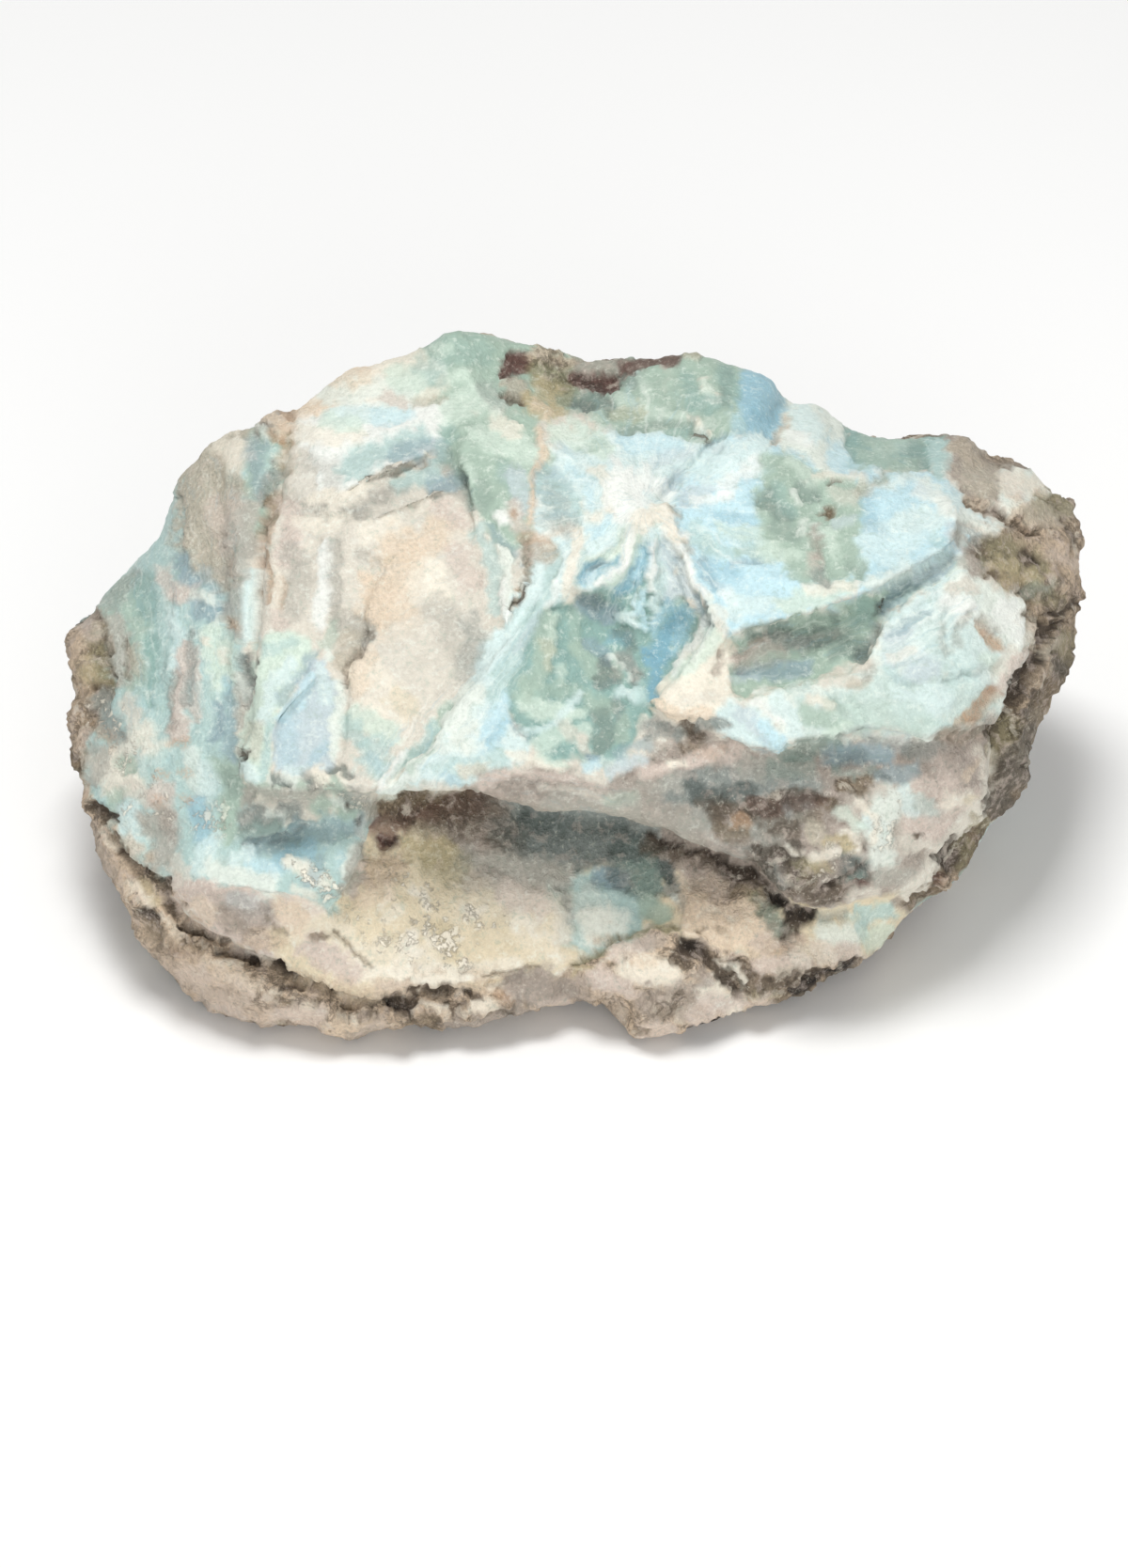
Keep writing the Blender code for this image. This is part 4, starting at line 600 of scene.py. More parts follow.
        ("snow", 0.85, 0.4, [(7.4, 13.6), (6.9, 11.2), (6.8, 9)]),
        ("ice", 0.85, 0.35, [(7.6, 9.6), (7.3, 7.4), (7.4, 5.8)]),
        ("sky", 0.8, 0.35, [(6.4, 9), (6.2, 7.4), (6.4, 5.4)]),
        ("lilac", 0.9, 0.7, [(8.5, 13), (8.4, 10.6), (8.6, 8.4)]),
        ("aqua", 0.6, 0.4, [(8, 11.6), (8, 8.8)]),
        ("steel", 0.45, 0.4, [(9.2, 12), (9.2, 9)]),
        ("lilac", 0.8, 0.7, [(9.8, 11.4), (10, 8.6)]),
        ("aqua", 0.7, 0.8, [(11.2, 14.6), (12.6, 13)]),
        ("snow", 0.95, 0.55, [(8.7, 15.6), (8.8, 14.6)]),
        ("snow", 0.95, 0.7, [(9.4, 14.4), (10.2, 14), (9.6, 13.2)]),
        ("cream", 0.9, 0.5, [(8.2, 16.2), (8.8, 14.8), (10, 13.6)]),
        ("snow", 0.9, 0.5, [(10.4, 12.4), (10.9, 9.6)]),
        ("snow", 0.9, 0.4, [(10.9, 10.6), (11.3, 9.4), (12.2, 8.6)]),
        ("milk", 0.8, 0.3, [(12.4, 8.6), (12.8, 7), (12.7, 5.8)]),
        ("sand", 0.6, 0.4, [(8.7, 16.6), (9.2, 16)]),
        ("dove", 0.6, 0.35, [(10.4, 13.4), (10.9, 12.6)]),
        ("steel", 0.7, 0.7, [(12, 11.6), (12.8, 10)]),
        ("steel", 0.7, 0.45, [(11, 8.4), (12.4, 5.2)]),
        ("slate", 0.5, 0.2, [(12.2, 7.8), (12.7, 6.6), (12.6, 5.4)]),
        ("steel", 0.6, 0.45, [(13.8, 23.6), (12, 21.4), (10.2, 19.8), (9.4, 18.9)]),
        ("lilac", 0.8, 0.7, [(12.4, 18.6), (10, 17.4)]),
        ("lilac", 0.6, 0.5, [(10.4, 20.2), (8.6, 18.8)]),
        ("stone", 0.5, 0.18, [(11, 24), (12.2, 23.4), (12.6, 22.8)]),
    ],
    "blue hollow": [
        ("sage", 0.85, 0.9, [(-2.6, 6.2), (-2.8, 3), (-4, 0)]),
        ("straw", 0.35, 0.6, [(-2.6, 4.4), (-2.4, 2)]),
        ("mint", 0.65, 0.5, [(-1.2, 2), (-1, 0.6)]),
        ("mint", 0.6, 0.6, [(-1.8, 6.4), (-2.2, 5)]),
        ("steel", 0.9, 0.9, [(0.8, 7.6), (3.4, 6.8)]),
        ("sage", 0.55, 0.7, [(0.2, 6.4), (0.2, 3.6)]),
        ("slate", 0.35, 0.6, [(0.8, 8), (2.4, 8)]),
        ("deep", 0.5, 0.7, [(3.4, 4.8), (4.6, 4.2)]),
        ("slate", 0.35, 0.6, [(3.8, 5.2), (5.2, 4.4), (5.6, 3.6)]),
        ("ice", 0.9, 0.45, [(4, 6.4), (5, 6.4), (5.6, 5.8)]),
        ("sky", 0.7, 0.4, [(5.6, 8.4), (5.6, 6.8)]),
        ("deep", 0.9, 0.9, [(9.6, 6.4), (7.6, 3)]),
        ("deep", 0.9, 0.6, [(7, 3.4), (7.4, 1.2), (7.2, -0.6)]),
        ("blue", 0.8, 0.5, [(10.6, 6.6), (9.2, 3.2)]),
        ("blue", 0.7, 0.5, [(8.4, 7.6), (7.4, 5)]),
        ("sage", 0.8, 0.9, [(0.6, 3.6), (2, 1.4), (4.4, 2.2)]),
        ("steel", 0.7, 0.7, [(1.6, 4.2), (3, 2.6)]),
        ("slate", 0.5, 0.6, [(2.6, 2.2), (3.6, 1), (2.4, 0.4)]),
        ("ash", 0.8, 0.8, [(4.6, 2.6), (5.6, 1.2)]),
        ("milk", 0.8, 0.3, [(3.4, 2.8), (3.9, 2.2)]),
        ("milk", 0.7, 0.25, [(4.6, 1.6), (4.9, 0.9)]),
        ("ice", 0.8, 0.5, [(4.4, -0.2), (5.8, -0.4)]),
        ("aqua", 0.6, 0.5, [(6.2, 0.6), (6.4, -1.2)]),
        ("sage", 0.8, 0.8, [(1.6, -1.2), (3.4, -1.8)]),
        ("mint", 0.85, 0.9, [(-4.4, -1.6), (0, -2.4)]),
        ("sage", 0.6, 0.6, [(-5.4, -1.2), (-3.2, -0.2), (0.4, -0.2)]),
        ("steel", 0.4, 0.5, [(-5.6, -3.6), (-4.2, -4.8)]),
        ("ice", 0.75, 0.4, [(-4.6, -4), (-2.6, -3.6), (-0.6, -1.6), (0.4, -0.4)]),
        ("mint", 0.7, 0.8, [(-3.4, -5.4), (-1.4, -4.4), (0.6, -3.8)]),
        ("pearl", 0.6, 0.6, [(-1.2, -3.6), (-0.4, -5)]),
        ("moss", 0.75, 1, [(2.6, -2.6), (3.4, -4.2), (2.2, -5)]),
        ("slate", 0.35, 0.6, [(4.2, -1.4), (4.6, -3.2)]),
        ("sage", 0.7, 0.6, [(4.8, -2.6), (4.4, -4.6)]),
        ("pearl", 0.75, 0.6, [(0.4, -5.2), (0.9, -6)]),
        ("steel", 0.85, 0.45, [(1.2, -6.4), (1.8, -6.8)]),
        ("sky", 0.8, 0.5, [(1, -7.4), (1.9, -7.4)]),
        ("aqua", 0.6, 0.6, [(2.8, -7), (4.4, -6.8)]),
        ("mint", 0.7, 0.6, [(-3.4, -6.6), (-1.2, -7.2)]),
        ("cream", 0.7, 0.35, [(-6.4, -6), (-4.2, -6.7), (-1.4, -7.8)]),
    ],
    "right plates": [
        ("ice", 0.9, 1.4, [(12, 20.4), (14.4, 21.6), (17, 22.2)]),
        ("snow", 0.7, 0.8, [(13.4, 18.8), (17, 20.8)]),
        ("snow", 0.7, 0.5, [(11.4, 17.4), (14.4, 18)]),
        ("sky", 0.7, 0.6, [(12, 16.4), (16.4, 17)]),
        ("blue", 0.45, 0.8, [(14.4, 16.2), (16.6, 15.4)]),
        ("mint", 0.7, 0.6, [(13.6, 14.6), (17, 14)]),
        ("aqua", 0.7, 0.8, [(12.4, 13.4), (15, 12.6)]),
        ("sage", 0.5, 0.6, [(15.6, 12.9), (18.2, 12.4)]),
        ("steel", 0.55, 0.35, [(14.8, 11.6), (17.2, 11.8)]),
        ("blue", 0.6, 0.7, [(12.2, 11), (14.8, 11.2)]),
        ("blue", 0.45, 0.6, [(13, 9.4), (15, 10.4)]),
        ("snow", 0.6, 0.5, [(13.4, 9), (15.2, 7.8)]),
        ("ice", 0.8, 0.9, [(14.8, 7.6), (18.4, 7.6)]),
        ("cream", 0.55, 0.5, [(13.2, 7.4), (13.8, 5.8)]),
        ("mint", 0.8, 0.9, [(19.4, 7.4), (25.6, 9.4)]),
        ("cream", 0.7, 0.6, [(22, 9.4), (26.4, 9.6)]),
        ("cream", 0.75, 0.3, [(14.8, 5.1), (19.6, 6.1), (23.4, 7.4)]),
        ("sky", 0.9, 1.7, [(28.4, 17.4), (31.6, 17.6)]),
        ("sky", 0.95, 1.8, [(28.2, 12.6), (31.4, 13.8)]),
        ("ice", 0.85, 1, [(30.4, 15.4), (33.6, 15.6)]),
        ("snow", 0.6, 0.8, [(32.6, 18.4), (34, 17)]),
        ("blue", 0.55, 0.5, [(27.6, 15.8), (28.8, 14.8)]),
        ("blue", 0.4, 0.8, [(27, 17.8), (27.4, 16.2)]),
        ("steel", 0.3, 0.5, [(27.6, 15.1), (28.6, 14.6)]),
        ("teal", 0.35, 0.6, [(33.4, 14), (34.4, 13.2)]),
        ("ice", 0.8, 0.7, [(31.8, 11.4), (34.2, 12.2)]),
        ("milk", 0.8, 0.7, [(28, 9.9), (30.6, 11.2)]),
        ("blue", 0.4, 0.7, [(28, 11), (29.6, 11.4)]),
        ("lilac", 0.7, 0.5, [(35, 15.2), (35.6, 13.4)]),
        ("snow", 0.9, 0.6, [(33.8, 17.2), (38.6, 14.6)]),
        ("cream", 0.8, 0.4, [(37, 15), (39.2, 14.2)]),
        ("dove", 0.7, 0.5, [(36, 14), (36.6, 13)]),
        ("ice", 0.6, 2, [(28.6, 13), (32, 15)]),
        ("milk", 0.5, 1.2, [(33.6, 17.8), (36, 16.2)]),
        ("milk", 0.6, 0.5, [(27.6, 18.6), (31, 19.4), (34, 18.8)]),
    ],
    "green lump": [
        ("sage", 0.85, 1.4, [(18.6, 20.4), (18.6, 17.4), (19.2, 14.6)]),
        ("mint", 0.7, 0.6, [(20, 21), (21.4, 20.2), (22.4, 18.9)]),
        ("cream", 0.7, 0.45, [(22, 19.6), (24, 19.2), (26.6, 19.6)]),
        ("moss", 0.6, 0.7, [(21, 18.8), (22.4, 17.8)]),
        ("moss", 0.75, 0.9, [(18, 17.6), (19.4, 16.2)]),
        ("teal", 0.5, 0.8, [(19, 18.4), (19.8, 16.6)]),
        ("moss", 0.4, 0.8, [(18.8, 14.8), (20.4, 14.4)]),
        ("milk", 0.75, 0.35, [(20.6, 18.6), (20.9, 17.6)]),
        ("milk", 0.7, 0.35, [(21.1, 15.4), (21.5, 14.7)]),
        ("milk", 0.6, 0.35, [(22.4, 15), (22.9, 14.2)]),
        ("mint", 0.7, 0.8, [(17.8, 12.9), (20.6, 12.4)]),
        ("clay", 0.55, 0.35, [(22.4, 14.8), (22.8, 13.4), (22.6, 12.2)]),
        ("shell", 0.6, 0.6, [(22.2, 12.4), (22, 11.2)]),
        ("ash", 0.6, 0.5, [(22.6, 10.8), (23.2, 10)]),
        ("mint", 0.7, 0.7, [(24, 14.2), (24.4, 12.4)]),
        ("sage", 0.8, 0.8, [(25.2, 11.8), (26.4, 10.8)]),
        ("moss", 0.35, 0.6, [(25.4, 11.6), (26.6, 10.8)]),
        ("sage", 0.8, 0.8, [(20.2, 11.4), (21.6, 10.4)]),
        ("sage", 0.75, 0.9, [(24.8, 18.2), (25.6, 16.6)]),
        ("pearl", 0.5, 0.6, [(24.4, 17.6), (25.8, 17.8)]),
        ("lilac", 0.6, 0.6, [(24.4, 15.4), (25.8, 15.6)]),
        ("bark", 0.95, 0.42, [(23.3, 16.2), (23.7, 16.1)]),
        ("umber", 0.5, 0.25, [(24, 18.6), (24.6, 18.8)]),
        ("sand", 0.5, 0.5, [(26.4, 18.2), (27.6, 18.6)]),
        ("olive", 0.4, 0.35, [(27.8, 19.2), (28.8, 19.6)]),
    ],
    "top": [
        ("mint", 0.7, 0.9, [(-16.6, 29.2), (-14.8, 28.4)]),
        ("cream", 0.75, 0.7, [(-14, 27.2), (-12.4, 28.6)]),
        ("shell", 0.6, 0.6, [(-17.6, 27.4), (-16.2, 26.8)]),
        ("teal", 0.35, 1.4, [(-12.6, 31.6), (-9, 31.2)]),
        ("mint", 0.6, 0.6, [(-12.8, 31.6), (-11.8, 31.8)]),
        ("mint", 0.7, 0.7, [(-11.2, 29.2), (-9.4, 28.8)]),
        ("teal", 0.4, 0.9, [(-14.4, 29.8), (-13, 28.8)]),
        ("sand", 0.5, 0.6, [(-14.6, 26.7), (-12.6, 26.9)]),
        ("sage", 0.7, 0.9, [(-8.8, 29.4), (-7.2, 27.6)]),
        ("ash", 0.35, 0.8, [(-8.4, 28), (-7, 26.6)]),
        ("wine", 0.95, 0.75, [(-5.9, 30.7), (-4.6, 30.6), (-4.6, 29.8), (-5.8, 29.6)]),
        ("wine", 0.7, 0.4, [(-6.4, 28.8), (-6, 28.6)]),
        ("tan", 0.8, 0.9, [(-3.4, 30.8), (-0.8, 30.2)]),
        ("bark", 0.4, 0.4, [(-2, 30.8), (-0.6, 29.8)]),
        ("sand", 0.8, 0.6, [(-6.2, 28), (-5, 27.8)]),
        ("olive", 0.8, 1.1, [(-3.4, 29), (-1, 28.6)]),
        ("olive", 0.6, 0.9, [(-1.8, 27.8), (-0.4, 27.2)]),
        ("ochre", 0.7, 0.7, [(-3.4, 28), (-2.2, 27.2)]),
        ("ochre", 0.9, 0.75, [(-4.6, 26.8), (-3, 26), (-1.4, 25.8)]),
        ("peach", 0.6, 0.5, [(-4, 26.4), (-2.2, 25.6)]),
        ("umber", 0.7, 0.5, [(-6.4, 27.2), (-5.4, 26.6)]),
        ("wine", 0.95, 0.8, [(0.8, 28.4), (3.2, 28.2)]),
        ("wine", 0.8, 0.6, [(2.6, 27.4), (3, 27.8)]),
        ("ink", 0.3, 0.4, [(0.9, 28.6), (2.9, 27.4)]),
        ("clay", 0.7, 0.8, [(0.8, 29.8), (4.6, 30.2)]),
        ("wine", 0.75, 0.6, [(4.2, 29.4), (6.2, 30.4), (9.4, 30.6)]),
        ("moss", 0.85, 0.7, [(0.4, 26.6), (1.6, 26.8), (3.2, 26.2)]),
        ("slate", 0.45, 0.5, [(0.4, 26.6), (1, 26.2)]),
        ("moss", 0.6, 0.8, [(4.4, 28.6), (5.8, 28.4)]),
        ("mint", 0.5, 0.5, [(6.4, 28.6), (6.9, 27.2)]),
        ("sage", 0.7, 0.8, [(8.4, 28.8), (9, 27)]),
        ("mint", 0.8, 0.55, [(12.2, 28.4), (12.6, 27.4)]),
        ("teal", 0.6, 0.8, [(10.6, 26.6), (13.2, 26.2)]),
        ("teal", 0.5, 0.7, [(10.4, 29.4), (11, 28)]),
        ("tan", 0.5, 0.4, [(10.4, 31), (11.4, 31.1)]),
        ("teal", 0.5, 0.9, [(14, 29.4), (14.8, 27.6)]),
        ("ochre", 0.3, 0.5, [(3.6, 25.6), (6.2, 25.8)]),
        ("moss", 0.45, 0.45, [(4.4, 24), (7.6, 24.8), (11, 24.6)]),
        ("teal", 0.45, 0.5, [(9, 24), (12, 23.8)]),
        ("aqua", 0.6, 0.8, [(15, 25.2), (15.6, 24.6)]),
        ("deep", 0.4, 0.9, [(17.4, 26), (18.4, 25.2)]),
        ("blue", 0.8, 0.9, [(17.4, 27.8), (18.2, 26.4)]),
        ("rust", 0.35, 0.3, [(18.2, 22.8), (19.2, 24), (19.8, 25.2)]),
        ("ice", 0.8, 1.2, [(21.4, 25.6), (22.4, 23.8)]),
        ("snow", 0.7, 0.7, [(20.2, 23.6), (21.4, 22.8)]),
        ("sky", 0.8, 0.9, [(24.2, 22.4), (24.6, 20.8)]),
        ("sky", 0.7, 0.5, [(25.4, 20.6), (27.4, 20.6)]),
        ("sage", 0.7, 1, [(27, 21.8), (29.4, 21.9)]),
        ("mint", 0.35, 0.8, [(28.4, 22.8), (30.6, 22.6)]),
        ("sage", 0.6, 0.5, [(27, 23.2), (32, 23.2)]),
        ("sage", 0.7, 0.6, [(29.2, 20.6), (31.6, 20.8)]),
        ("moss", 0.35, 0.7, [(31.4, 22.4), (32.4, 21.2)]),
        ("aqua", 0.9, 0.8, [(33.6, 22.6), (33.8, 20.6)]),
        ("aqua", 0.6, 0.5, [(34.6, 22.6), (34.8, 20.8)]),
        ("tan", 0.55, 1, [(35.8, 22.6), (37.4, 21.4)]),
        ("sand", 0.6, 0.9, [(36.8, 19.6), (38.8, 18.8)]),
        ("bark", 0.4, 0.8, [(38.6, 21.6), (41.4, 21.2)]),
        ("shell", 0.6, 0.8, [(40.2, 19.2), (41.2, 18)]),
        ("cream", 0.7, 0.7, [(41.6, 19.4), (43.6, 18.4)]),
        ("sand", 0.55, 1.5, [(36.4, 22.2), (38.6, 18.6)]),
        ("cream", 0.65, 1.2, [(40.6, 19), (42.6, 18.6)]),
        ("milk", 0.6, 0.7, [(41, 16.6), (42.4, 17.2)]),
        ("dove", 0.7, 0.8, [(35.9, 14.6), (37.6, 14.2)]),
        ("milk", 0.7, 0.5, [(36, 16), (39, 14.8)]),
    ],
    "recess": [
        # Painted shade in the recess under the ledge
        ("moss", 0.7, 0.8, [(16.4, 4.6), (20, 5.4), (24, 6.6)]),
        ("sage", 0.7, 0.8, [(20.6, 6), (23.4, 6.4)]),
        ("ash", 0.8, 0.8, [(18.4, 3.9), (21.4, 4.4)]),
        ("shell", 0.9, 0.5, [(14.9, 2.7), (17.8, 4.2)]),
        ("dove", 0.8, 0.5, [(15.6, 2), (17.6, 3), (19.6, 3.6)]),
        ("steel", 0.8, 0.8, [(16.2, 1.2), (21.4, 2.2)]),
        ("lilac", 0.5, 0.5, [(14.8, 0.6), (16.8, 0.9)]),
        # This slate and the slate below: painted shade in the recess's right corner
        ("slate", 0.5, 0.9, [(22.8, 4.6), (24.6, 4.8)]),
        ("moss", 0.7, 1, [(24.6, 3.4), (26.6, 3.6)]),
        ("slate", 0.6, 0.6, [(26.6, 2.6), (27.8, 5.4)]),
        ("teal", 0.5, 0.8, [(26.4, 6.2), (27.4, 7.4)]),
        # Grey blue under the ledge, partly the plate's blue and partly painted shade
        ("steel", 0.8, 0.7, [(28.8, 7), (30.4, 9), (33.6, 10.6)]),
        ("lilac", 0.8, 0.7, [(32.2, 10.2), (35, 11.4), (36, 12.4)]),
        ("slate", 0.6, 0.25, [(28, 7), (28.6, 7.9)]),
        ("clay", 0.3, 0.6, [(36.6, 10.2), (38, 11)]),
        ("pearl", 0.35, 1, [(16.6, 2.6), (19.4, 3.4)]),
    ],
    "cream tongue": [
        ("mint", 0.8, 0.8, [(9.4, 0.6), (11, 2.2), (12.8, 4.4)]),
        ("cream", 0.85, 0.7, [(8.6, 0), (13, 1)]),
        ("peach", 0.7, 0.6, [(7.6, -1.6), (10, -2.5), (12.4, -2.6)]),
        ("clay", 0.5, 0.4, [(13.6, 3), (13.2, 1.2)]),
        ("snow", 0.7, 0.4, [(9.2, 1.6), (11.4, 4.4), (12.6, 6.4)]),
        ("pearl", 0.6, 0.5, [(10.4, -1.2), (13.2, -1.2)]),
    ],
    "lower plates": [
        ("aqua", 0.55, 3, [(24, -2.4), (31, -0.6), (36, -1)]),
        ("ice", 0.7, 3, [(31, 4), (34, 7), (37, 3)]),
        ("lilac", 0.8, 1, [(15.4, -2.2), (17.6, -4.4)]),
        ("sky", 0.9, 0.7, [(17.4, -3.4), (19.2, -5.4)]),
        ("blue", 0.25, 0.5, [(16.8, -4.8), (18.4, -5.9)]),
        ("snow", 0.7, 0.5, [(16.4, -1), (18.2, -1.6), (19.4, -3.2)]),
        ("ice", 0.8, 0.8, [(19, -1), (20.6, -2.8), (20.6, -4.6)]),
        ("aqua", 0.35, 0.6, [(20.2, 0), (22, -0.6)]),
        ("sage", 0.75, 1, [(22, -2.4), (23.8, -3.2)]),
        ("moss", 0.3, 0.5, [(24, -1.2), (25.4, -2.4)]),
        ("cream", 0.8, 0.5, [(22.4, -0.8), (23.4, -1.5)]),
        ("mint", 0.8, 0.6, [(23.6, -4.4), (25.4, -3.6)]),
        ("pearl", 0.8, 0.7, [(23.4, 0.7), (26, 0.5)]),
        ("sand", 0.5, 0.5, [(25.6, 0.4), (27, 0.4)]),
        ("dove", 0.5, 0.5, [(27.6, 1.8), (27, 0.9)]),
        ("ice", 0.75, 1.5, [(30.6, -1.4), (34, -1.2)]),
        ("aqua", 0.4, 1, [(31, -3.8), (34, -3.4)]),
        ("lilac", 0.7, 0.5, [(29, 5), (31, 5.4)]),
        ("ice", 0.8, 0.5, [(29.4, 6.4), (31.6, 7.8), (34, 8.6)]),
        ("steel", 0.45, 0.35, [(30.4, 6.2), (32.8, 7.2)]),
        ("steel", 0.4, 0.35, [(29.6, 5.4), (31.6, 6)]),
        ("cream", 0.75, 0.5, [(29.8, 3), (31.4, 3.6)]),
        ("lilac", 0.7, 0.7, [(30.4, 1), (33.4, 1.6)]),
        ("steel", 0.3, 0.4, [(30, 2.2), (32.6, 2.4)]),
        ("aqua", 0.5, 0.5, [(29.4, 1.4), (31.4, 0.4)]),
        ("snow", 0.85, 0.9, [(34.8, 8.4), (36.6, 7.4)]),
        ("pearl", 0.8, 0.6, [(35, 9.2), (37, 9.4)]),
        ("dove", 0.55, 0.45, [(36.8, 7.2), (35.6, 5.4), (36, 3.6)]),
        ("dove", 0.5, 0.4, [(34.2, 6.4), (34, 4.6), (35, 3.4)]),
        ("rust", 0.55, 0.6, [(38, 6.3), (38.6, 5.2)]),
        ("rust", 0.6, 0.5, [(38.6, 4.9), (39.1, 4.2), (39.3, 3.6)]),
        ("dove", 0.6, 0.6, [(38, 6.8), (39.4, 5.6)]),
        ("mint", 0.6, 0.6, [(38.2, 2.6), (39.2, 1.8)]),
        ("snow", 0.8, 1, [(40.4, 7.2), (41.4, 5)]),
        ("pearl", 0.7, 0.8, [(40.6, 3.2), (39.4, 1.4)]),
        ("shell", 0.8, 0.6, [(41.8, 3.4), (40.6, 1.4), (39.2, -0.2)]),
        ("sand", 0.5, 0.5, [(42.2, 5.8), (41.9, 4)]),
        ("rust", 0.6, 0.7, [(37, -2.5), (38.8, -0.6)]),
        ("rust", 0.5, 0.5, [(36, -3.2), (37, -3)]),
        ("aqua", 0.35, 2, [(34.6, 4.8), (35.8, 1.8)]),
        ("lilac", 0.35, 1.4, [(30, 3.6), (32.6, 1.8)]),
        ("sage", 0.3, 1.6, [(24, -2.4), (31.6, -3)]),
    ],
    "lower wall": [
        ("pearl", 0.6, 3, [(28, -11), (33, -13), (30, -16)]),
        ("shell", 0.6, 2.2, [(35, -7), (37, -10), (34, -13)]),
        ("stone", 0.5, 2.2, [(18.8, -14.2), (20.4, -17.4)]),
        ("dove", 0.5, 2.4, [(10, -13.4), (14, -12), (18, -14)]),
        ("steel", 0.45, 0.7, [(4.4, -6), (6.6, -5.2)]),
        ("lilac", 0.8, 0.6, [(3.4, -7.8), (6, -6.8)]),
        ("pearl", 0.7, 0.5, [(6, -4.4), (6.6, -3.2)]),
        ("ash", 0.85, 0.7, [(7.4, -3.8), (9.6, -4.4)]),
        ("umber", 0.75, 0.5, [(10.4, -3.5), (11.6, -4.6)]),
        ("ash", 0.7, 0.5, [(11.8, -3.6), (14, -3.6)]),
        ("bark", 0.5, 0.5, [(11.4, -5.2), (10.4, -5.8)]),
        ("shell", 0.9, 0.7, [(6.4, -7.8), (9.4, -7.4), (12.4, -6.4)]),
        ("cream", 0.9, 0.4, [(8.6, -7), (10.2, -7.2)]),
        ("shell", 0.8, 0.8, [(12.8, -5.8), (15.4, -6.6)]),
        ("rust", 0.2, 0.6, [(11.6, -6), (13.6, -6)]),
        ("ash", 0.75, 0.7, [(10.4, -8.8), (12.6, -8), (14.6, -8.4)]),
        ("dove", 0.7, 0.9, [(6.4, -9.4), (9.4, -9)]),
        ("dove", 0.7, 1, [(16, -7.4), (19.4, -7.6)]),
        ("moss", 0.7, 0.7, [(20, -6.2), (24.4, -5.4)]),
        ("moss", 0.5, 0.9, [(18.6, -7.8), (21.6, -7.4)]),
        ("slate", 0.8, 0.9, [(11.6, -10.4), (13.6, -10.8), (16, -9.6)]),
        ("umber", 0.5, 0.6, [(12, -11), (14, -11.2)]),
        ("slate", 0.4, 0.7, [(10.6, -8.9), (11.6, -9.6)]),
        ("clay", 0.8, 1.2, [(7.4, -11.4), (9.8, -12.4)]),
        ("dove", 0.6, 0.9, [(10.4, -12.8), (12.4, -14)]),
        ("umber", 0.85, 1, [(13.6, -11.8), (16.6, -11.4), (18.4, -10.9)]),
        ("bark", 0.7, 0.7, [(13.6, -13.2), (15.8, -13.8)]),
        ("rust", 0.75, 0.6, [(14.9, -12.3), (15.7, -12.5)]),
        ("clay", 0.6, 0.6, [(15, -14.6), (16.6, -14.4)]),
        ("steel", 0.85, 0.9, [(24, -6.6), (26.6, -6.2), (29, -6.4)]),
        ("slate", 0.3, 0.8, [(23.6, -6.8), (26.4, -6.8)]),
        ("lilac", 0.4, 0.8, [(27.6, -5.2), (31, -5.2)]),
        ("ash", 0.6, 0.8, [(31.6, -6), (33.8, -5.6)]),
        ("steel", 0.65, 0.9, [(28.4, -8.4), (31.4, -8)]),
        ("slate", 0.35, 0.5, [(27.6, -8), (29.4, -8.6)]),
        ("moss", 0.6, 0.5, [(24.2, -7.6), (26.4, -8.2), (27.6, -7.6)]),
        ("bark", 0.85, 0.7, [(24.6, -8.9), (26.4, -9.4), (27.2, -9)]),
        ("bark", 0.8, 0.6, [(22.6, -10.6), (24.4, -10.9)]),
        ("umber", 0.6, 0.8, [(19.4, -10.2), (22.2, -10.4)]),
        ("bark", 0.4, 0.9, [(34.8, -4.8), (37.6, -4.4)]),
        ("clay", 0.6, 0.9, [(35, -6.6), (36.8, -8.6)]),
        ("peach", 0.6, 0.35, [(36.2, -8.2), (37.2, -7.2)]),
        ("cream", 0.7, 0.5, [(37.6, -6.4), (38.1, -7.6), (38.2, -9)]),
        ("shell", 0.7, 1, [(32.6, -9.4), (34.6, -9.8)]),
        ("milk", 0.95, 1.5, [(29, -11.4), (30.2, -10.9)]),
        ("ice", 0.8, 1, [(27.4, -12.6), (28.4, -13.6)]),
        ("milk", 0.9, 1.6, [(28.4, -14.2), (28.4, -15.8)]),
        ("cream", 0.8, 1, [(35, -10.6), (36.8, -10.4)]),
        ("ochre", 0.3, 0.4, [(36.4, -10.6), (37.4, -10.2)]),
        ("aqua", 0.5, 0.8, [(32.6, -11), (33.4, -11.6)]),
        ("shell", 0.85, 1.2, [(31.6, -12.8), (34, -13.2)]),
        ("pearl", 0.75, 1, [(31, -14.6), (33.2, -14.8)]),
        ("umber", 0.85, 0.28, [(31.7, -13.6), (32.1, -13.4)]),
        ("clay", 0.7, 0.9, [(31, -16.4), (33, -16.2)]),
        ("dove", 0.8, 0.8, [(28.6, -17.6), (31.8, -17.9)]),
        ("mint", 0.6, 0.8, [(25.2, -11.8), (26.4, -12.8)]),
        ("cream", 0.8, 0.7, [(25, -13.8), (26, -15)]),
        ("bark", 0.4, 0.8, [(20.6, -11.8), (22.4, -12)]),
        ("sand", 0.9, 0.7, [(22.2, -12.8), (22.8, -14)]),
        ("umber", 0.6, 1, [(18.8, -12.8), (20.4, -13.4)]),
        ("stone", 0.7, 0.8, [(24.4, -18.4), (27, -17.4)]),
        ("stone", 0.7, 1.2, [(18.6, -15.6), (20.4, -15.2)]),
        ("ash", 0.8, 0.8, [(18.2, -17), (19, -18.2)]),
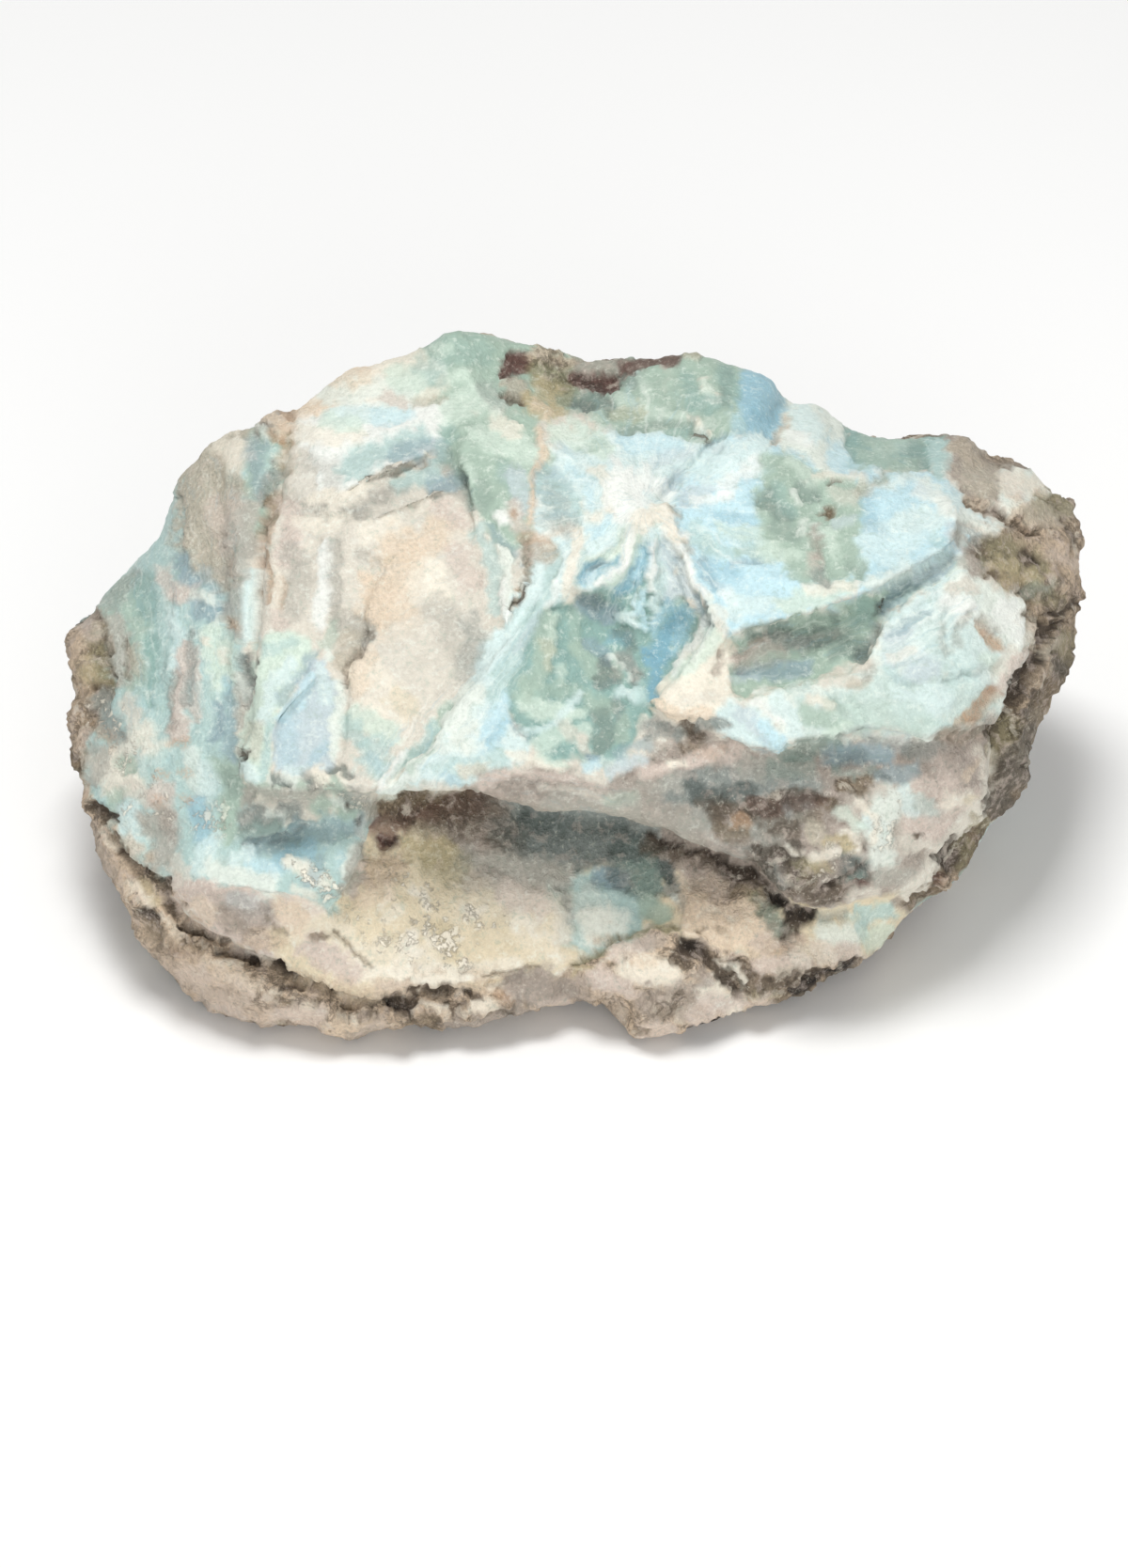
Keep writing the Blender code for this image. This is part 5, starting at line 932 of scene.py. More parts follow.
        ("olive", 0.7, 0.9, [(20.6, -17.2), (22, -16.6)]),
        ("cream", 0.85, 0.8, [(22.6, -15.8), (24.6, -15.4)]),
        ("ochre", 0.6, 0.7, [(22.2, -17), (23.4, -16.8)]),
        ("bark", 0.8, 0.45, [(21.4, -17.9), (22.2, -18.2)]),
        ("slate", 0.8, 0.9, [(25.4, -16.4), (26.4, -17)]),
        ("moss", 0.7, 0.6, [(24.8, -17.8), (26.6, -17.6)]),
        ("wine", 0.7, 0.45, [(26.2, -18.3), (27, -18.2)]),
        ("umber", 0.8, 0.7, [(20.4, -19.2), (22.6, -19.5), (24.4, -19.3)]),
        ("cream", 0.85, 0.22, [(22.2, -20.9), (24, -20.6), (27, -20)]),
        ("pearl", 0.7, 0.5, [(25.6, -19.4), (28, -18.9)]),
        ("stone", 0.7, 0.9, [(16.8, -15.6), (18.8, -19)]),
        ("soot", 0.6, 0.3, [(19.2, -16.2), (20.4, -17.6), (20, -18.6)]),
        ("cream", 0.8, 0.3, [(19.4, -14.6), (20.8, -15.6), (21.6, -15.2)]),
        ("ochre", 0.8, 0.4, [(23.4, -14.4), (25, -14.2), (25.6, -15)]),
        ("soot", 0.6, 0.3, [(23.2, -18.6), (25, -17.6), (26.4, -16.4)]),
        ("clay", 0.6, 0.6, [(11.4, -14), (14, -15.2), (16, -15.8)]),
        ("cream", 0.8, 0.35, [(26.6, -10.6), (28.2, -12.2), (27.6, -14.4)]),
        ("ice", 0.6, 0.5, [(30.6, -9.6), (31.8, -11.6)]),
        ("slate", 0.5, 0.7, [(11, -9.4), (13.4, -10.4), (15, -9.4)]),
        ("wine", 0.35, 0.8, [(16.4, -10.8), (18.4, -11.4), (22.4, -10.6)]),
    ],
    "band over the shelf": [
        ("dove", 0.6, 2, [(-8, -10), (-2, -9.8), (4, -11.4), (10, -13.4)]),
        ("clay", 0.85, 1.2, [(-7.4, -9.4), (-4, -9), (0, -10.4)]),
        # These two shell strokes along the band's top edge are a painted highlight
        ("shell", 0.8, 0.5, [(-8.8, -9), (-5.4, -7.9), (-1.2, -8.5)]),
        ("shell", 0.7, 0.4, [(-1.2, -8.5), (2.4, -9.4)]),
        ("dove", 0.8, 0.9, [(-2, -11), (2, -11.2), (5.4, -11.8)]),
        ("pearl", 0.6, 0.35, [(-3.4, -9.2), (0.4, -10), (3.4, -10.2)]),
        ("clay", 0.8, 0.6, [(-8.8, -10.4), (-7.2, -10.2)]),
        ("sage", 0.45, 0.6, [(3.2, -10.4), (5.8, -10.8)]),
        ("pearl", 0.7, 0.5, [(-15.8, -10.1), (-11, -9.7)]),
    ],
    "shelf": [
        # From this wine to the second soot: painted shade just under the lip, with a thin painted shadow line
        # along it
        ("wine", 0.55, 1, [(-18.2, -13.4), (-15.6, -12.2), (-12, -11.2), (-9, -11)]),
        ("umber", 0.45, 2, [(-13, -13.4), (-9, -11.6), (-6.4, -13.4)]),
        ("slate", 0.45, 2, [(-6, -13.4), (6, -15.6)]),
        ("slate", 0.7, 0.8, [(-5, -12), (0, -12.6), (4, -13.4), (8, -14.8)]),
        ("slate", 0.5, 0.7, [(7.6, -15.6), (8.8, -17.4), (9, -19)]),
        ("umber", 0.6, 0.9, [(9.6, -15.4), (12.6, -16.4)]),
        ("soot", 0.9, 0.25, [(6.4, -13.8), (12, -15.5), (15, -16.8), (17.2, -17.2), (17.8, -19)]),
        ("soot", 0.85, 0.45, [(14, -16.9), (15.6, -17.6), (17, -17.8)]),
        ("tan", 0.8, 1, [(12.6, -18.6), (15.6, -19.4)]),
        ("cream", 0.7, 0.3, [(11.4, -21.4), (13, -20.4), (14.6, -21.6)]),
        ("bark", 0.6, 0.25, [(11.6, -22.8), (13.2, -22.4), (14.6, -23.4)]),
        ("cream", 0.7, 0.28, [(-18.6, -17.4), (-16.8, -19.6), (-18, -20.6)]),
        ("cream", 0.9, 0.5, [(-15.4, -22.8), (-15.2, -24.2), (-14.4, -25)]),
        ("cream", 0.8, 0.4, [(-10.2, -20.3), (-9.4, -20.8), (-8.6, -20.6)]),
        ("cream", 0.8, 0.35, [(-12.9, -24.2), (-12, -24.4), (-10.6, -23.6)]),
        ("aqua", 0.5, 0.5, [(-2.2, -18.2), (-1.2, -20.6), (-0.6, -23.6)]),
        ("dove", 0.5, 1.5, [(-7, -16.6), (-3.4, -16.8)]),
        ("wine", 0.95, 0.6, [(-17.9, -14.9), (-17.1, -14.5)]),
        ("ink", 0.35, 0.35, [(-17.5, -14.8), (-17.1, -14.3)]),
        # Painted shade under the left end of the lip
        ("umber", 0.6, 0.35, [(-17.6, -12.8), (-16, -11.2), (-15.2, -11)]),
        ("ochre", 0.8, 1.3, [(-15, -15), (-12.4, -15.6)]),
        ("olive", 0.35, 1.5, [(-13.4, -16.6), (-10.8, -17.2)]),
        ("tan", 0.7, 1.4, [(-19, -17.6), (-17, -17)]),
        ("peach", 0.6, 1, [(-19.6, -19.6), (-17.6, -19.2)]),
        ("straw", 0.8, 2, [(-14.6, -19.4), (-13, -21)]),
        ("cream", 0.85, 0.5, [(-15.2, -18.9), (-14.4, -19.4), (-14, -20.2)]),
        ("cream", 0.7, 0.45, [(-14.2, -22.6), (-13.4, -24)]),
        ("cream", 0.6, 0.4, [(-17.6, -21.4), (-16.4, -20.6)]),
        ("ochre", 0.35, 1.2, [(-12.6, -22.6), (-11.8, -24.4)]),
        ("ochre", 0.3, 1.3, [(-8.4, -22.4), (-6.6, -23)]),
        ("cream", 0.6, 0.6, [(-15.6, -23.4), (-15.4, -25.2)]),
        ("clay", 0.45, 1, [(-9.4, -18.2), (-7.6, -17.8)]),
        ("shell", 0.85, 1.5, [(-6, -19.6), (-3.4, -19.8)]),
        ("dove", 0.7, 1, [(-4.2, -17.8), (-1.6, -17.6)]),
        ("cream", 0.85, 1.6, [(-4.4, -22.4), (-2.6, -24.4)]),
        ("pearl", 0.7, 0.8, [(-1.6, -20), (-1, -23)]),
        ("ash", 0.55, 0.3, [(-1.5, -18.4), (0, -22.4)]),
        ("steel", 0.9, 1, [(2.4, -17.6), (4.4, -17.8)]),
        # The slate, moss and umber marks from here to the last slate darken the shelf under the lip, partly
        # its own grey-green and partly painted shade
        ("slate", 0.45, 0.8, [(3.6, -17.2), (4.8, -18.4)]),
        ("moss", 0.9, 1.3, [(5, -15.4), (6.2, -16.6), (6.8, -18.8)]),
        ("slate", 0.8, 1, [(4.2, -14.8), (5.6, -15.4)]),
        ("sage", 0.8, 0.9, [(6.6, -20.4), (7.8, -21.2)]),
        ("umber", 0.7, 0.7, [(6.4, -14.6), (8, -15.2)]),
        ("slate", 0.9, 0.6, [(8.6, -16.8), (9, -18)]),
        ("dove", 0.8, 0.6, [(9, -18.8), (9.8, -20)]),
        ("milk", 0.6, 0.25, [(8.9, -19.3), (9.5, -19.8)]),
        ("bark", 0.5, 0.9, [(11.6, -18.2), (14.2, -18.6)]),
        # Painted shadow along the lip
        ("soot", 0.6, 0.6, [(13.4, -16.2), (16.4, -17.2), (17.6, -18.6)]),
        ("peach", 0.5, 1, [(13.4, -22.8), (16.6, -23)]),
        ("bark", 0.5, 0.9, [(15.4, -18.8), (17.6, -19.4)]),
        ("olive", 0.6, 0.9, [(17, -20.2), (18.4, -21.2)]),
        # Painted shadow line under the lip below the knob
        ("ink", 0.9, 0.7, [(18.6, -19.6), (20.2, -20.9), (21.4, -21.2)]),
        ("soot", 0.8, 0.8, [(20.2, -21.8), (19.8, -23.2)]),
        ("shell", 0.7, 0.9, [(17.4, -23.8), (20.6, -24.2)]),
        ("rust", 0.35, 0.6, [(18.6, -24.8), (20, -24.6)]),
        ("milk", 0.85, 1.3, [(23.4, -22.6), (25.6, -23.4)]),
        ("ash", 0.5, 0.5, [(22.6, -21.2), (25, -21)]),
        ("aqua", 0.85, 0.9, [(27, -21.2), (29.2, -20.9)]),
        ("aqua", 0.7, 0.6, [(26.2, -21.4), (26.6, -22.8)]),
        ("mint", 0.7, 0.9, [(27.4, -23.6), (28.8, -22.9)]),
        ("clay", 0.8, 0.6, [(30.2, -20), (31.2, -20.8)]),
        ("shell", 0.8, 0.8, [(22.4, -25), (26.4, -24.8)]),
        ("shell", 0.5, 1.2, [(10.6, -17.6), (13.4, -18.6)]),
        ("moss", 0.6, 0.8, [(17.4, -20.6), (19.4, -22.6)]),
        ("cream", 0.32, 2.4, [(-9, -20.4), (-3.6, -21.2), (1, -20.8)]),
        ("tan", 0.4, 1.6, [(10.8, -20.4), (13.4, -21.4)]),
    ],
    "shelf front": [
        ("cream", 0.5, 2.2, [(-25, -22), (-20, -25.4), (-14, -26)]),
        ("straw", 0.6, 1.8, [(-8, -23.6), (-3.6, -24.6)]),
        ("cream", 0.9, 1.2, [(-19.4, -26.4), (-15, -27.1), (-10.6, -26.9)]),
        ("cream", 0.7, 0.9, [(-9.6, -26.4), (-5.6, -25.7)]),
        ("shell", 0.9, 1.2, [(-24.4, -24.4), (-20.8, -26.6)]),
        ("shell", 0.5, 0.8, [(-17.8, -28.2), (-14.4, -28)]),
        ("bark", 0.45, 0.2, [(-24.2, -23.5), (-22.2, -23.1), (-20.6, -24.6), (-18.8, -25.6)]),
        ("bark", 0.5, 0.18, [(-8.4, -26.7), (-5.4, -26.2), (-3.4, -26.2)]),
    ],
    "blue wedge": [
        # These two steel strokes: painted shadow under the crust's edge on the tread
        ("steel", 0.55, 0.9, [(-29.6, -15), (-26.6, -14.4)]),
        ("steel", 0.55, 1.1, [(-25.6, -13.4), (-23, -13.4)]),
        ("blue", 0.8, 1, [(-27.4, -16.2), (-24.4, -14.8)]),
        ("sky", 0.75, 1, [(-30, -16.4), (-28.4, -17.4)]),
        ("milk", 0.9, 1.1, [(-33.6, -17), (-28.2, -18.6)]),
        ("ice", 0.8, 0.7, [(-31.8, -16), (-30.4, -15.4)]),
        ("cream", 0.85, 0.7, [(-26.6, -16.2), (-25, -16.8)]),
        ("cream", 0.75, 0.7, [(-24.4, -17.6), (-23.2, -18.2)]),
        ("cream", 0.6, 0.5, [(-25.8, -18.9), (-24.4, -19.3)]),
        ("steel", 0.5, 0.6, [(-24.8, -18.2), (-23.8, -16.4)]),
        ("aqua", 0.8, 0.6, [(-23.6, -19.4), (-22.4, -20.6)]),
        ("sky", 0.4, 0.5, [(-22, -15.6), (-21.8, -16.8)]),
        ("milk", 0.8, 0.3, [(-20.9, -15.2), (-21.3, -16.4), (-21.6, -18)]),
        ("dove", 0.85, 0.7, [(-20.2, -15), (-20.6, -17.2), (-21.2, -18.8)]),
        ("shell", 0.6, 0.3, [(-19.6, -16), (-20.2, -18), (-20.9, -19.6)]),
        ("steel", 0.45, 0.7, [(-21.2, -13.2), (-20, -12.6)]),
        ("shell", 0.85, 0.7, [(-36.6, -18.6), (-33.4, -18.7), (-30.4, -19.3)]),
        ("clay", 0.5, 0.9, [(-33.2, -19.6), (-31, -20.2)]),
        ("lilac", 0.4, 0.9, [(-31.6, -20), (-28.6, -20.6)]),
        ("clay", 0.7, 1, [(-32, -21.6), (-29.6, -21.6), (-28.4, -21)]),
        ("bark", 0.2, 0.7, [(-33.4, -21.2), (-31, -22.4)]),
        ("peach", 0.8, 1, [(-27.2, -20.6), (-25.6, -22)]),
        ("tan", 0.6, 0.9, [(-29.8, -23), (-27.4, -23.6)]),
        ("bark", 0.4, 0.25, [(-28.6, -21.6), (-27.6, -22.4), (-26.6, -22.6)]),
        ("peach", 0.6, 0.8, [(-35.4, -20.4), (-34.2, -21.2)]),
    ],
    "front rim": [
        ("tan", 0.6, 3.4, [(-43, -17), (-38, -25), (-30, -29), (-20, -31), (-8, -30)]),
        ("tan", 0.9, 1, [(-44.4, -12.6), (-42, -17)]),
        ("clay", 0.5, 0.6, [(-45.2, -12.4), (-44.4, -15), (-43, -17.4)]),
        ("soot", 0.74, 0.4, [(-44.6, -11.2), (-42.8, -12.4)]),
        ("bark", 0.6, 0.5, [(-42.6, -14.2), (-41.8, -15.4)]),
        ("soot", 0.78, 0.36, [(-42, -15.4), (-40.6, -16.6), (-37.8, -17.9)]),
        ("umber", 0.74, 0.43, [(-38, -18.2), (-38, -19.6), (-37, -21)]),
        ("ochre", 0.6, 0.7, [(-40.2, -18.6), (-38.8, -19.8)]),
        ("soot", 0.78, 0.58, [(-40.2, -21), (-39.2, -21.9)]),
        ("ink", 0.46, 0.32, [(-39.8, -21.3), (-39.2, -21.7)]),
        ("bark", 0.7, 1, [(-39.8, -23), (-38, -25)]),
        ("clay", 0.5, 0.9, [(-40, -23.8), (-37.8, -26.2)]),
        ("bark", 0.5, 0.7, [(-36.8, -23.6), (-34.8, -24.2)]),
        ("peach", 0.6, 1.3, [(-35, -25.8), (-31.4, -26.8)]),
        ("clay", 0.8, 1.2, [(-34, -29), (-30.4, -29.8)]),
        ("clay", 0.6, 1, [(-29.4, -28.4), (-26.8, -30.4)]),
        ("bark", 0.6, 0.4, [(-33.2, -30.4), (-30.4, -31.2), (-27, -31.6)]),
        ("umber", 0.74, 0.32, [(-36.4, -22.1), (-34.4, -22.9), (-32.2, -23.6)]),
        ("soot", 0.74, 0.25, [(-33.6, -24.8), (-32.2, -24.3), (-30.8, -24.9)]),
        ("soot", 0.83, 0.29, [(-30.4, -24.8), (-28.6, -25.7), (-27, -26.3)]),
        ("soot", 0.78, 0.22, [(-27, -26.6), (-24.6, -27.7), (-22.6, -28.3)]),
        ("soot", 0.64, 0.14, [(-27.8, -28.1), (-26.4, -27.9), (-25.2, -28.2)]),
        ("umber", 0.64, 0.18, [(-23.4, -28), (-21.8, -28.7), (-21, -29.6)]),
        ("ink", 0.78, 0.4, [(-20.2, -29.7), (-18, -29.5), (-15.6, -29.6)]),
        ("soot", 0.64, 0.58, [(-17.6, -29.3), (-15.2, -29.2)]),
        ("soot", 0.64, 0.29, [(-15.2, -28.6), (-12.8, -28.2), (-11, -28.3)]),
        ("soot", 0.64, 0.36, [(-10.2, -28.4), (-9.2, -28.8)]),
        ("umber", 0.64, 0.36, [(-12.2, -29.4), (-11, -30.2), (-10.4, -29.4)]),
        ("tan", 0.8, 1.2, [(-26.2, -29.8), (-23.4, -31.2)]),
        ("peach", 0.5, 1.1, [(-21.6, -31.4), (-18.4, -31.4)]),
        ("clay", 0.6, 0.9, [(-21, -32.8), (-18, -32.4)]),
        ("umber", 0.64, 0.36, [(-15.4, -31.2), (-14.2, -30.7), (-12.6, -31.3)]),
        ("bark", 0.6, 0.8, [(-15, -31.6), (-13, -31.6)]),
        ("clay", 0.9, 0.9, [(-11, -31.6), (-7, -31.2), (-4.6, -30.4)]),
        ("cream", 0.75, 0.6, [(-9.4, -29.6), (-7.6, -29.6)]),
        ("cream", 0.6, 0.5, [(-7.8, -28), (-6.8, -27.6)]),
        ("umber", 0.55, 0.14, [(-8.8, -30.8), (-7.4, -30.5), (-5.6, -30.4)]),
        ("clay", 0.95, 1.7, [(-5, -28), (-2, -28), (0.4, -28.4)]),
        ("rust", 0.55, 0.6, [(-7, -28.4), (-6.2, -29.2)]),
        ("shell", 0.6, 0.6, [(-3, -29.4), (-0.6, -29.4)]),
        ("cream", 0.7, 0.35, [(-36.4, -24.8), (-33.6, -25.8), (-31, -25.8)]),
        ("cream", 0.7, 0.3, [(-33, -27.4), (-29.6, -27.2), (-27.4, -28.6)]),
        ("cream", 0.6, 0.3, [(-26, -29.2), (-23.6, -30.2), (-20.6, -30.8)]),
        ("cream", 0.6, 0.4, [(-41.4, -18), (-40.2, -19.6), (-39.4, -20.4)]),
        ("cream", 0.5, 0.4, [(-43.8, -13.2), (-42.6, -15.2)]),
        ("cream", 0.8, 0.4, [(-15, -27.6), (-9.4, -26.9)]),
        ("cream", 0.7, 0.2, [(-16.4, -30.3), (-14, -29.4), (-12, -29.6)]),
        ("umber", 0.7, 0.2, [(-38.8, -22.4), (-36.8, -23.5), (-34.6, -23.4), (-33.4, -24)]),
        ("umber", 0.5, 0.25, [(-37.4, -26.6), (-35, -28.2), (-31.6, -28.2)]),
        ("bark", 0.6, 0.3, [(-29.4, -27.9), (-27, -29.2), (-24, -29.2)]),
        ("umber", 0.5, 0.2, [(-24.4, -29.6), (-21.6, -30.6), (-18.6, -30.4)]),
        ("wine", 0.4, 0.5, [(-37.6, -24.8), (-35.6, -25)]),
        ("cream", 0.6, 0.3, [(-38.4, -21.4), (-36.2, -22.8)]),
        ("shell", 0.8, 0.9, [(-38, -26), (-34.6, -27.2)]),
        ("cream", 0.5, 0.7, [(-33, -26.2), (-30.4, -27.6)]),
        ("shell", 0.7, 0.8, [(-33.4, -30), (-24, -31)]),
        ("tan", 0.8, 0.7, [(-41.4, -21.4), (-39.6, -24)]),
        ("tan", 0.6, 1.9, [(-37, -25.4), (-33.4, -27.4), (-29.4, -28.9)]),
        ("shell", 0.35, 1.3, [(-35.6, -27.2), (-31.4, -28.6)]),
    ],
    "host rock lump": [
        ("tan", 0.5, 3.4, [(4, -27), (9, -29.4), (14, -28.4), (20, -26.6)]),
        ("cream", 0.6, 0.25, [(2.4, -25.6), (5, -24.2), (7.6, -24.4)]),
        ("bark", 0.5, 0.2, [(2, -26.6), (5.2, -25.2), (8.4, -25.2)]),
        ("cream", 0.6, 0.3, [(12.6, -26.8), (15.6, -28.6), (17.6, -28.6)]),
        ("bark", 0.5, 0.2, [(11.6, -28.2), (14, -30)]),
        ("umber", 0.5, 0.25, [(18.4, -26.9), (21.4, -25.8)]),
        ("olive", 0.75, 0.3, [(0.2, -25.6), (4.4, -23.2), (7.4, -22.5), (9.6, -22.6)]),
        ("ochre", 0.7, 0.5, [(0.4, -26.4), (1.6, -26.2)]),
        ("shell", 0.7, 1, [(4, -24.8), (6.6, -24.2)]),
        ("clay", 0.6, 0.7, [(6, -23.8), (7.8, -23.9)]),
        ("cream", 0.85, 1.5, [(5.4, -26.4), (8.6, -26.6)]),
        ("shell", 0.7, 1, [(1.8, -27.2), (4, -27.8)]),
        ("peach", 0.6, 0.7, [(5.6, -25.3), (7.2, -25.2)]),
        ("clay", 0.75, 1.6, [(7, -29.4), (9.6, -29.4), (10.8, -29)]),
        ("bark", 0.35, 0.9, [(8.2, -30), (9.6, -29.4)]),
        ("tan", 0.8, 1, [(4.4, -29.6), (5.6, -31)]),
        ("clay", 0.4, 0.7, [(3.2, -29.2), (4.2, -30.6)]),
        ("shell", 0.7, 0.9, [(6.4, -32.2), (8.4, -31.8)]),
        ("bark", 0.5, 0.25, [(5.6, -32), (6.6, -32.3)]),
        ("cream", 0.9, 1.2, [(12.6, -28.4), (14.6, -29.2)]),
        ("shell", 0.7, 0.8, [(11, -30.6), (13, -30.2)]),
        ("soot", 0.9, 0.9, [(10.2, -24.4), (11.6, -24.4)]),
        ("ink", 0.6, 0.5, [(10.6, -24), (11.4, -24.1)]),
        ("soot", 0.8, 0.5, [(12.2, -24.9), (12.7, -25.5)]),
        ("umber", 0.6, 0.5, [(9.4, -25.2), (10.2, -25.4)]),
        ("soot", 0.8, 0.5, [(13.4, -26.8), (14.6, -27.6), (15.4, -28.4)]),
        ("umber", 0.7, 0.9, [(13.2, -25.9), (15.6, -26.6), (17.4, -27.4)]),
        ("milk", 0.8, 0.3, [(13.9, -26.2), (14.8, -26.4)]),
        ("milk", 0.7, 0.25, [(15.2, -27), (15.8, -27.5)]),
        ("clay", 0.7, 0.8, [(11.4, -26.6), (12, -27.4)]),
        ("olive", 0.5, 0.6, [(17, -28), (18.6, -28.4)]),
        ("shell", 0.8, 0.9, [(17.4, -25.8), (20.6, -25.8)]),
        ("sand", 0.6, 0.6, [(19, -26.4), (20.6, -26.8)]),
        ("umber", 0.8, 0.7, [(17.6, -27.8), (22.6, -26.7)]),
        ("soot", 0.85, 0.5, [(21.6, -27.2), (24, -26.6), (26.8, -25.5)]),
        ("bark", 0.7, 0.8, [(18.6, -29.2), (21, -28.3)]),
        ("shell", 0.6, 0.6, [(16.4, -29.4), (18, -29.2)]),
        ("ink", 0.95, 0.4, [(9.8, -32.4), (11.8, -31.5), (17.6, -30.2)]),
        ("shell", 0.8, 0.9, [(2.4, -26.6), (5, -28)]),
        ("shell", 0.7, 0.8, [(12.4, -29.4), (15.4, -28.8)]),
        ("cream", 0.5, 0.8, [(20.6, -25.2), (24, -25)]),
        ("umber", 0.6, 0.3, [(12.6, -25.4), (14.4, -26.4), (16.4, -28)]),
        ("cream", 0.8, 0.2, [(13.2, -25.6), (15, -26.4), (16, -27.4)]),
        ("ink", 0.9, 0.3, [(20, -28.2), (26.4, -25.7)]),
    ],
    "right side": [
        ("tan", 0.7, 3.4, [(43, 14), (46.4, 12), (46, 6)]),
        ("umber", 0.8, 0.25, [(36.3, 17.3), (38.2, 16.8), (40, 15.8), (41.6, 14.7), (43.2, 14.2)]),
        ("umber", 0.6, 0.4, [(38.4, 16.4), (40.4, 15.2)]),
        ("tan", 0.7, 0.5, [(36.6, 17.6), (37.8, 17.2)]),
        ("olive", 0.8, 1, [(43.6, 17), (46, 17)]),
        ("sand", 0.6, 0.9, [(43, 15.8), (44.6, 15.6)]),
        ("stone", 0.5, 0.6, [(45.4, 15.2), (46.2, 14.2)]),
        ("stone", 0.5, 0.5, [(44.4, 13.6), (46.2, 13.4)]),
        ("tan", 0.8, 0.9, [(42.4, 13.4), (45, 12.9)]),
        ("stone", 0.5, 0.7, [(37.4, 13.2), (38.8, 13.6)]),
        ("dove", 0.7, 0.8, [(36.2, 11.6), (37.8, 11.4)]),
        ("clay", 0.6, 0.6, [(36.8, 12.6), (37.4, 11)]),
        ("olive", 0.75, 1.4, [(39.6, 12.6), (42.6, 11.4)]),
        ("ochre", 0.6, 0.7, [(39.4, 11.6), (41, 11.2)]),
        ("soot", 0.85, 0.4, [(42, 12.7), (42.6, 12.2)]),
        ("umber", 0.7, 0.4, [(41.6, 12.3), (42.2, 11.8)]),
        ("ochre", 0.6, 0.9, [(40.6, 10), (43, 10.2)]),
        ("moss", 0.5, 0.8, [(42.4, 9), (44.4, 9.2)]),
        ("tan", 0.9, 1, [(46.6, 11.6), (46.8, 9.6), (45.8, 9.2)]),
        ("shell", 0.5, 0.7, [(44.8, 12.4), (46.6, 11.8)]),
        ("olive", 0.6, 0.8, [(43.6, 8.2), (45.2, 8)]),
        ("umber", 0.7, 0.25, [(47, 8), (45.2, 6.8), (43.8, 6.6)]),
        ("soot", 0.6, 0.2, [(45.8, 6.6), (44.6, 5.6), (43.8, 4.6)]),
        ("soot", 0.7, 0.3, [(43.1, 5.2), (43.5, 5.5), (43.9, 5.1), (43.5, 4.7)]),
        ("sand", 0.7, 0.6, [(44.6, 4.2), (43.4, 2.6)]),
        ("olive", 0.6, 0.9, [(45.8, 4.6), (45.8, 2.6)]),
        ("stone", 0.85, 0.7, [(45.2, 2.4), (45.6, 1.2)]),
        ("soot", 0.85, 0.6, [(43, 2.6), (41.4, 0.6), (40.4, -1.4)]),
        ("tan", 0.7, 0.4, [(44, 2.6), (42.2, 0), (41.4, -1.6)]),
        ("soot", 0.6, 0.3, [(42.6, 0), (41.6, -2.6)]),
        ("soot", 0.8, 0.5, [(40, -2.2), (38.6, -4.6)]),
        ("olive", 0.7, 0.8, [(40.4, -3.2), (39.4, -5.8)]),
        ("stone", 0.85, 1.2, [(40.4, -7), (39.8, -9.6)]),
        ("sand", 0.5, 0.5, [(39.2, -6.4), (39, -7.6)]),
        ("stone", 0.8, 0.9, [(42, -4.4), (41.8, -8.6)]),
        ("soot", 0.5, 0.5, [(42.6, -3.4), (42, -5)]),
        ("stone", 0.8, 0.9, [(38.8, -11), (40.4, -10.9)]),
        ("olive", 0.6, 0.6, [(37.4, -12.8), (38.4, -12.4)]),
        ("soot", 0.85, 0.8, [(35.8, -14.6), (34.4, -16.2)]),
        ("olive", 0.7, 0.6, [(36.4, -14.8), (35.6, -16.6)]),
        ("soot", 0.7, 0.5, [(34.8, -16.8), (35.4, -16.2)]),
        ("wine", 0.6, 0.4, [(33.6, -17.8), (34.2, -18)]),
        ("tan", 0.7, 0.5, [(34.6, -18.2), (35.6, -17.8)]),
        ("bark", 0.8, 0.7, [(31, -20.2), (33, -19.3)]),
        ("tan", 0.5, 1.2, [(42.6, 14.8), (44.6, 14)]),
        ("sand", 0.4, 1.1, [(43, 16.2), (45.2, 16.2)]),
        ("sand", 0.35, 1, [(42.6, -2.4), (41.4, -5.4)]),
    ],
}

# How much each tint counts as host rock, which is rougher and more pitted than larimar
ROCKINESS = {
    "tan": 0.9, "bark": 1, "stone": 1, "soot": 1, "ink": 1, "olive": 0.8, "ochre": 0.3,
    "straw": 0.1, "umber": 0.9, "wine": 0.8, "clay": 0.5, "sand": 0.4, "peach": 0.3, "rust": 0.4,
    "dove": 0.2, "shell": 0.2, "slate": 0.6, "moss": 0.25, "ash": 0.5,
}

# Chalky crusts: strength, reach in millimetres, line
CHALK = [
    (0.8, 1.6, [(-43.6, -2), (-42, -6), (-39.6, -9.4)]),
    (0.6, 1.4, [(-41, -11), (-37, -11.6), (-33.4, -12.4)]),
    (0.8, 1.2, [(-26.6, -16.2), (-24, -17.8), (-23, -18.6)]),
    (0.9, 1.8, [(-16, -19), (-13.6, -21.4), (-14.4, -24), (-11, -24.6)]),
    (0.8, 1.2, [(-10.4, -20), (-8.4, -21.6), (-6, -20.6)]),
    (0.7, 1.4, [(-20, -22), (-16.6, -24.6)]),
    (0.7, 1.2, [(22.4, -15.6), (24.6, -15.6), (22.6, -17.4)]),
    (0.6, 1.4, [(29.4, -11), (28.6, -14.4)]),
    (0.5, 1.2, [(-24, -9.4), (-20, -10.2)]),
    (0.5, 1, [(9, -7.2), (12.4, -6.6)]),
]

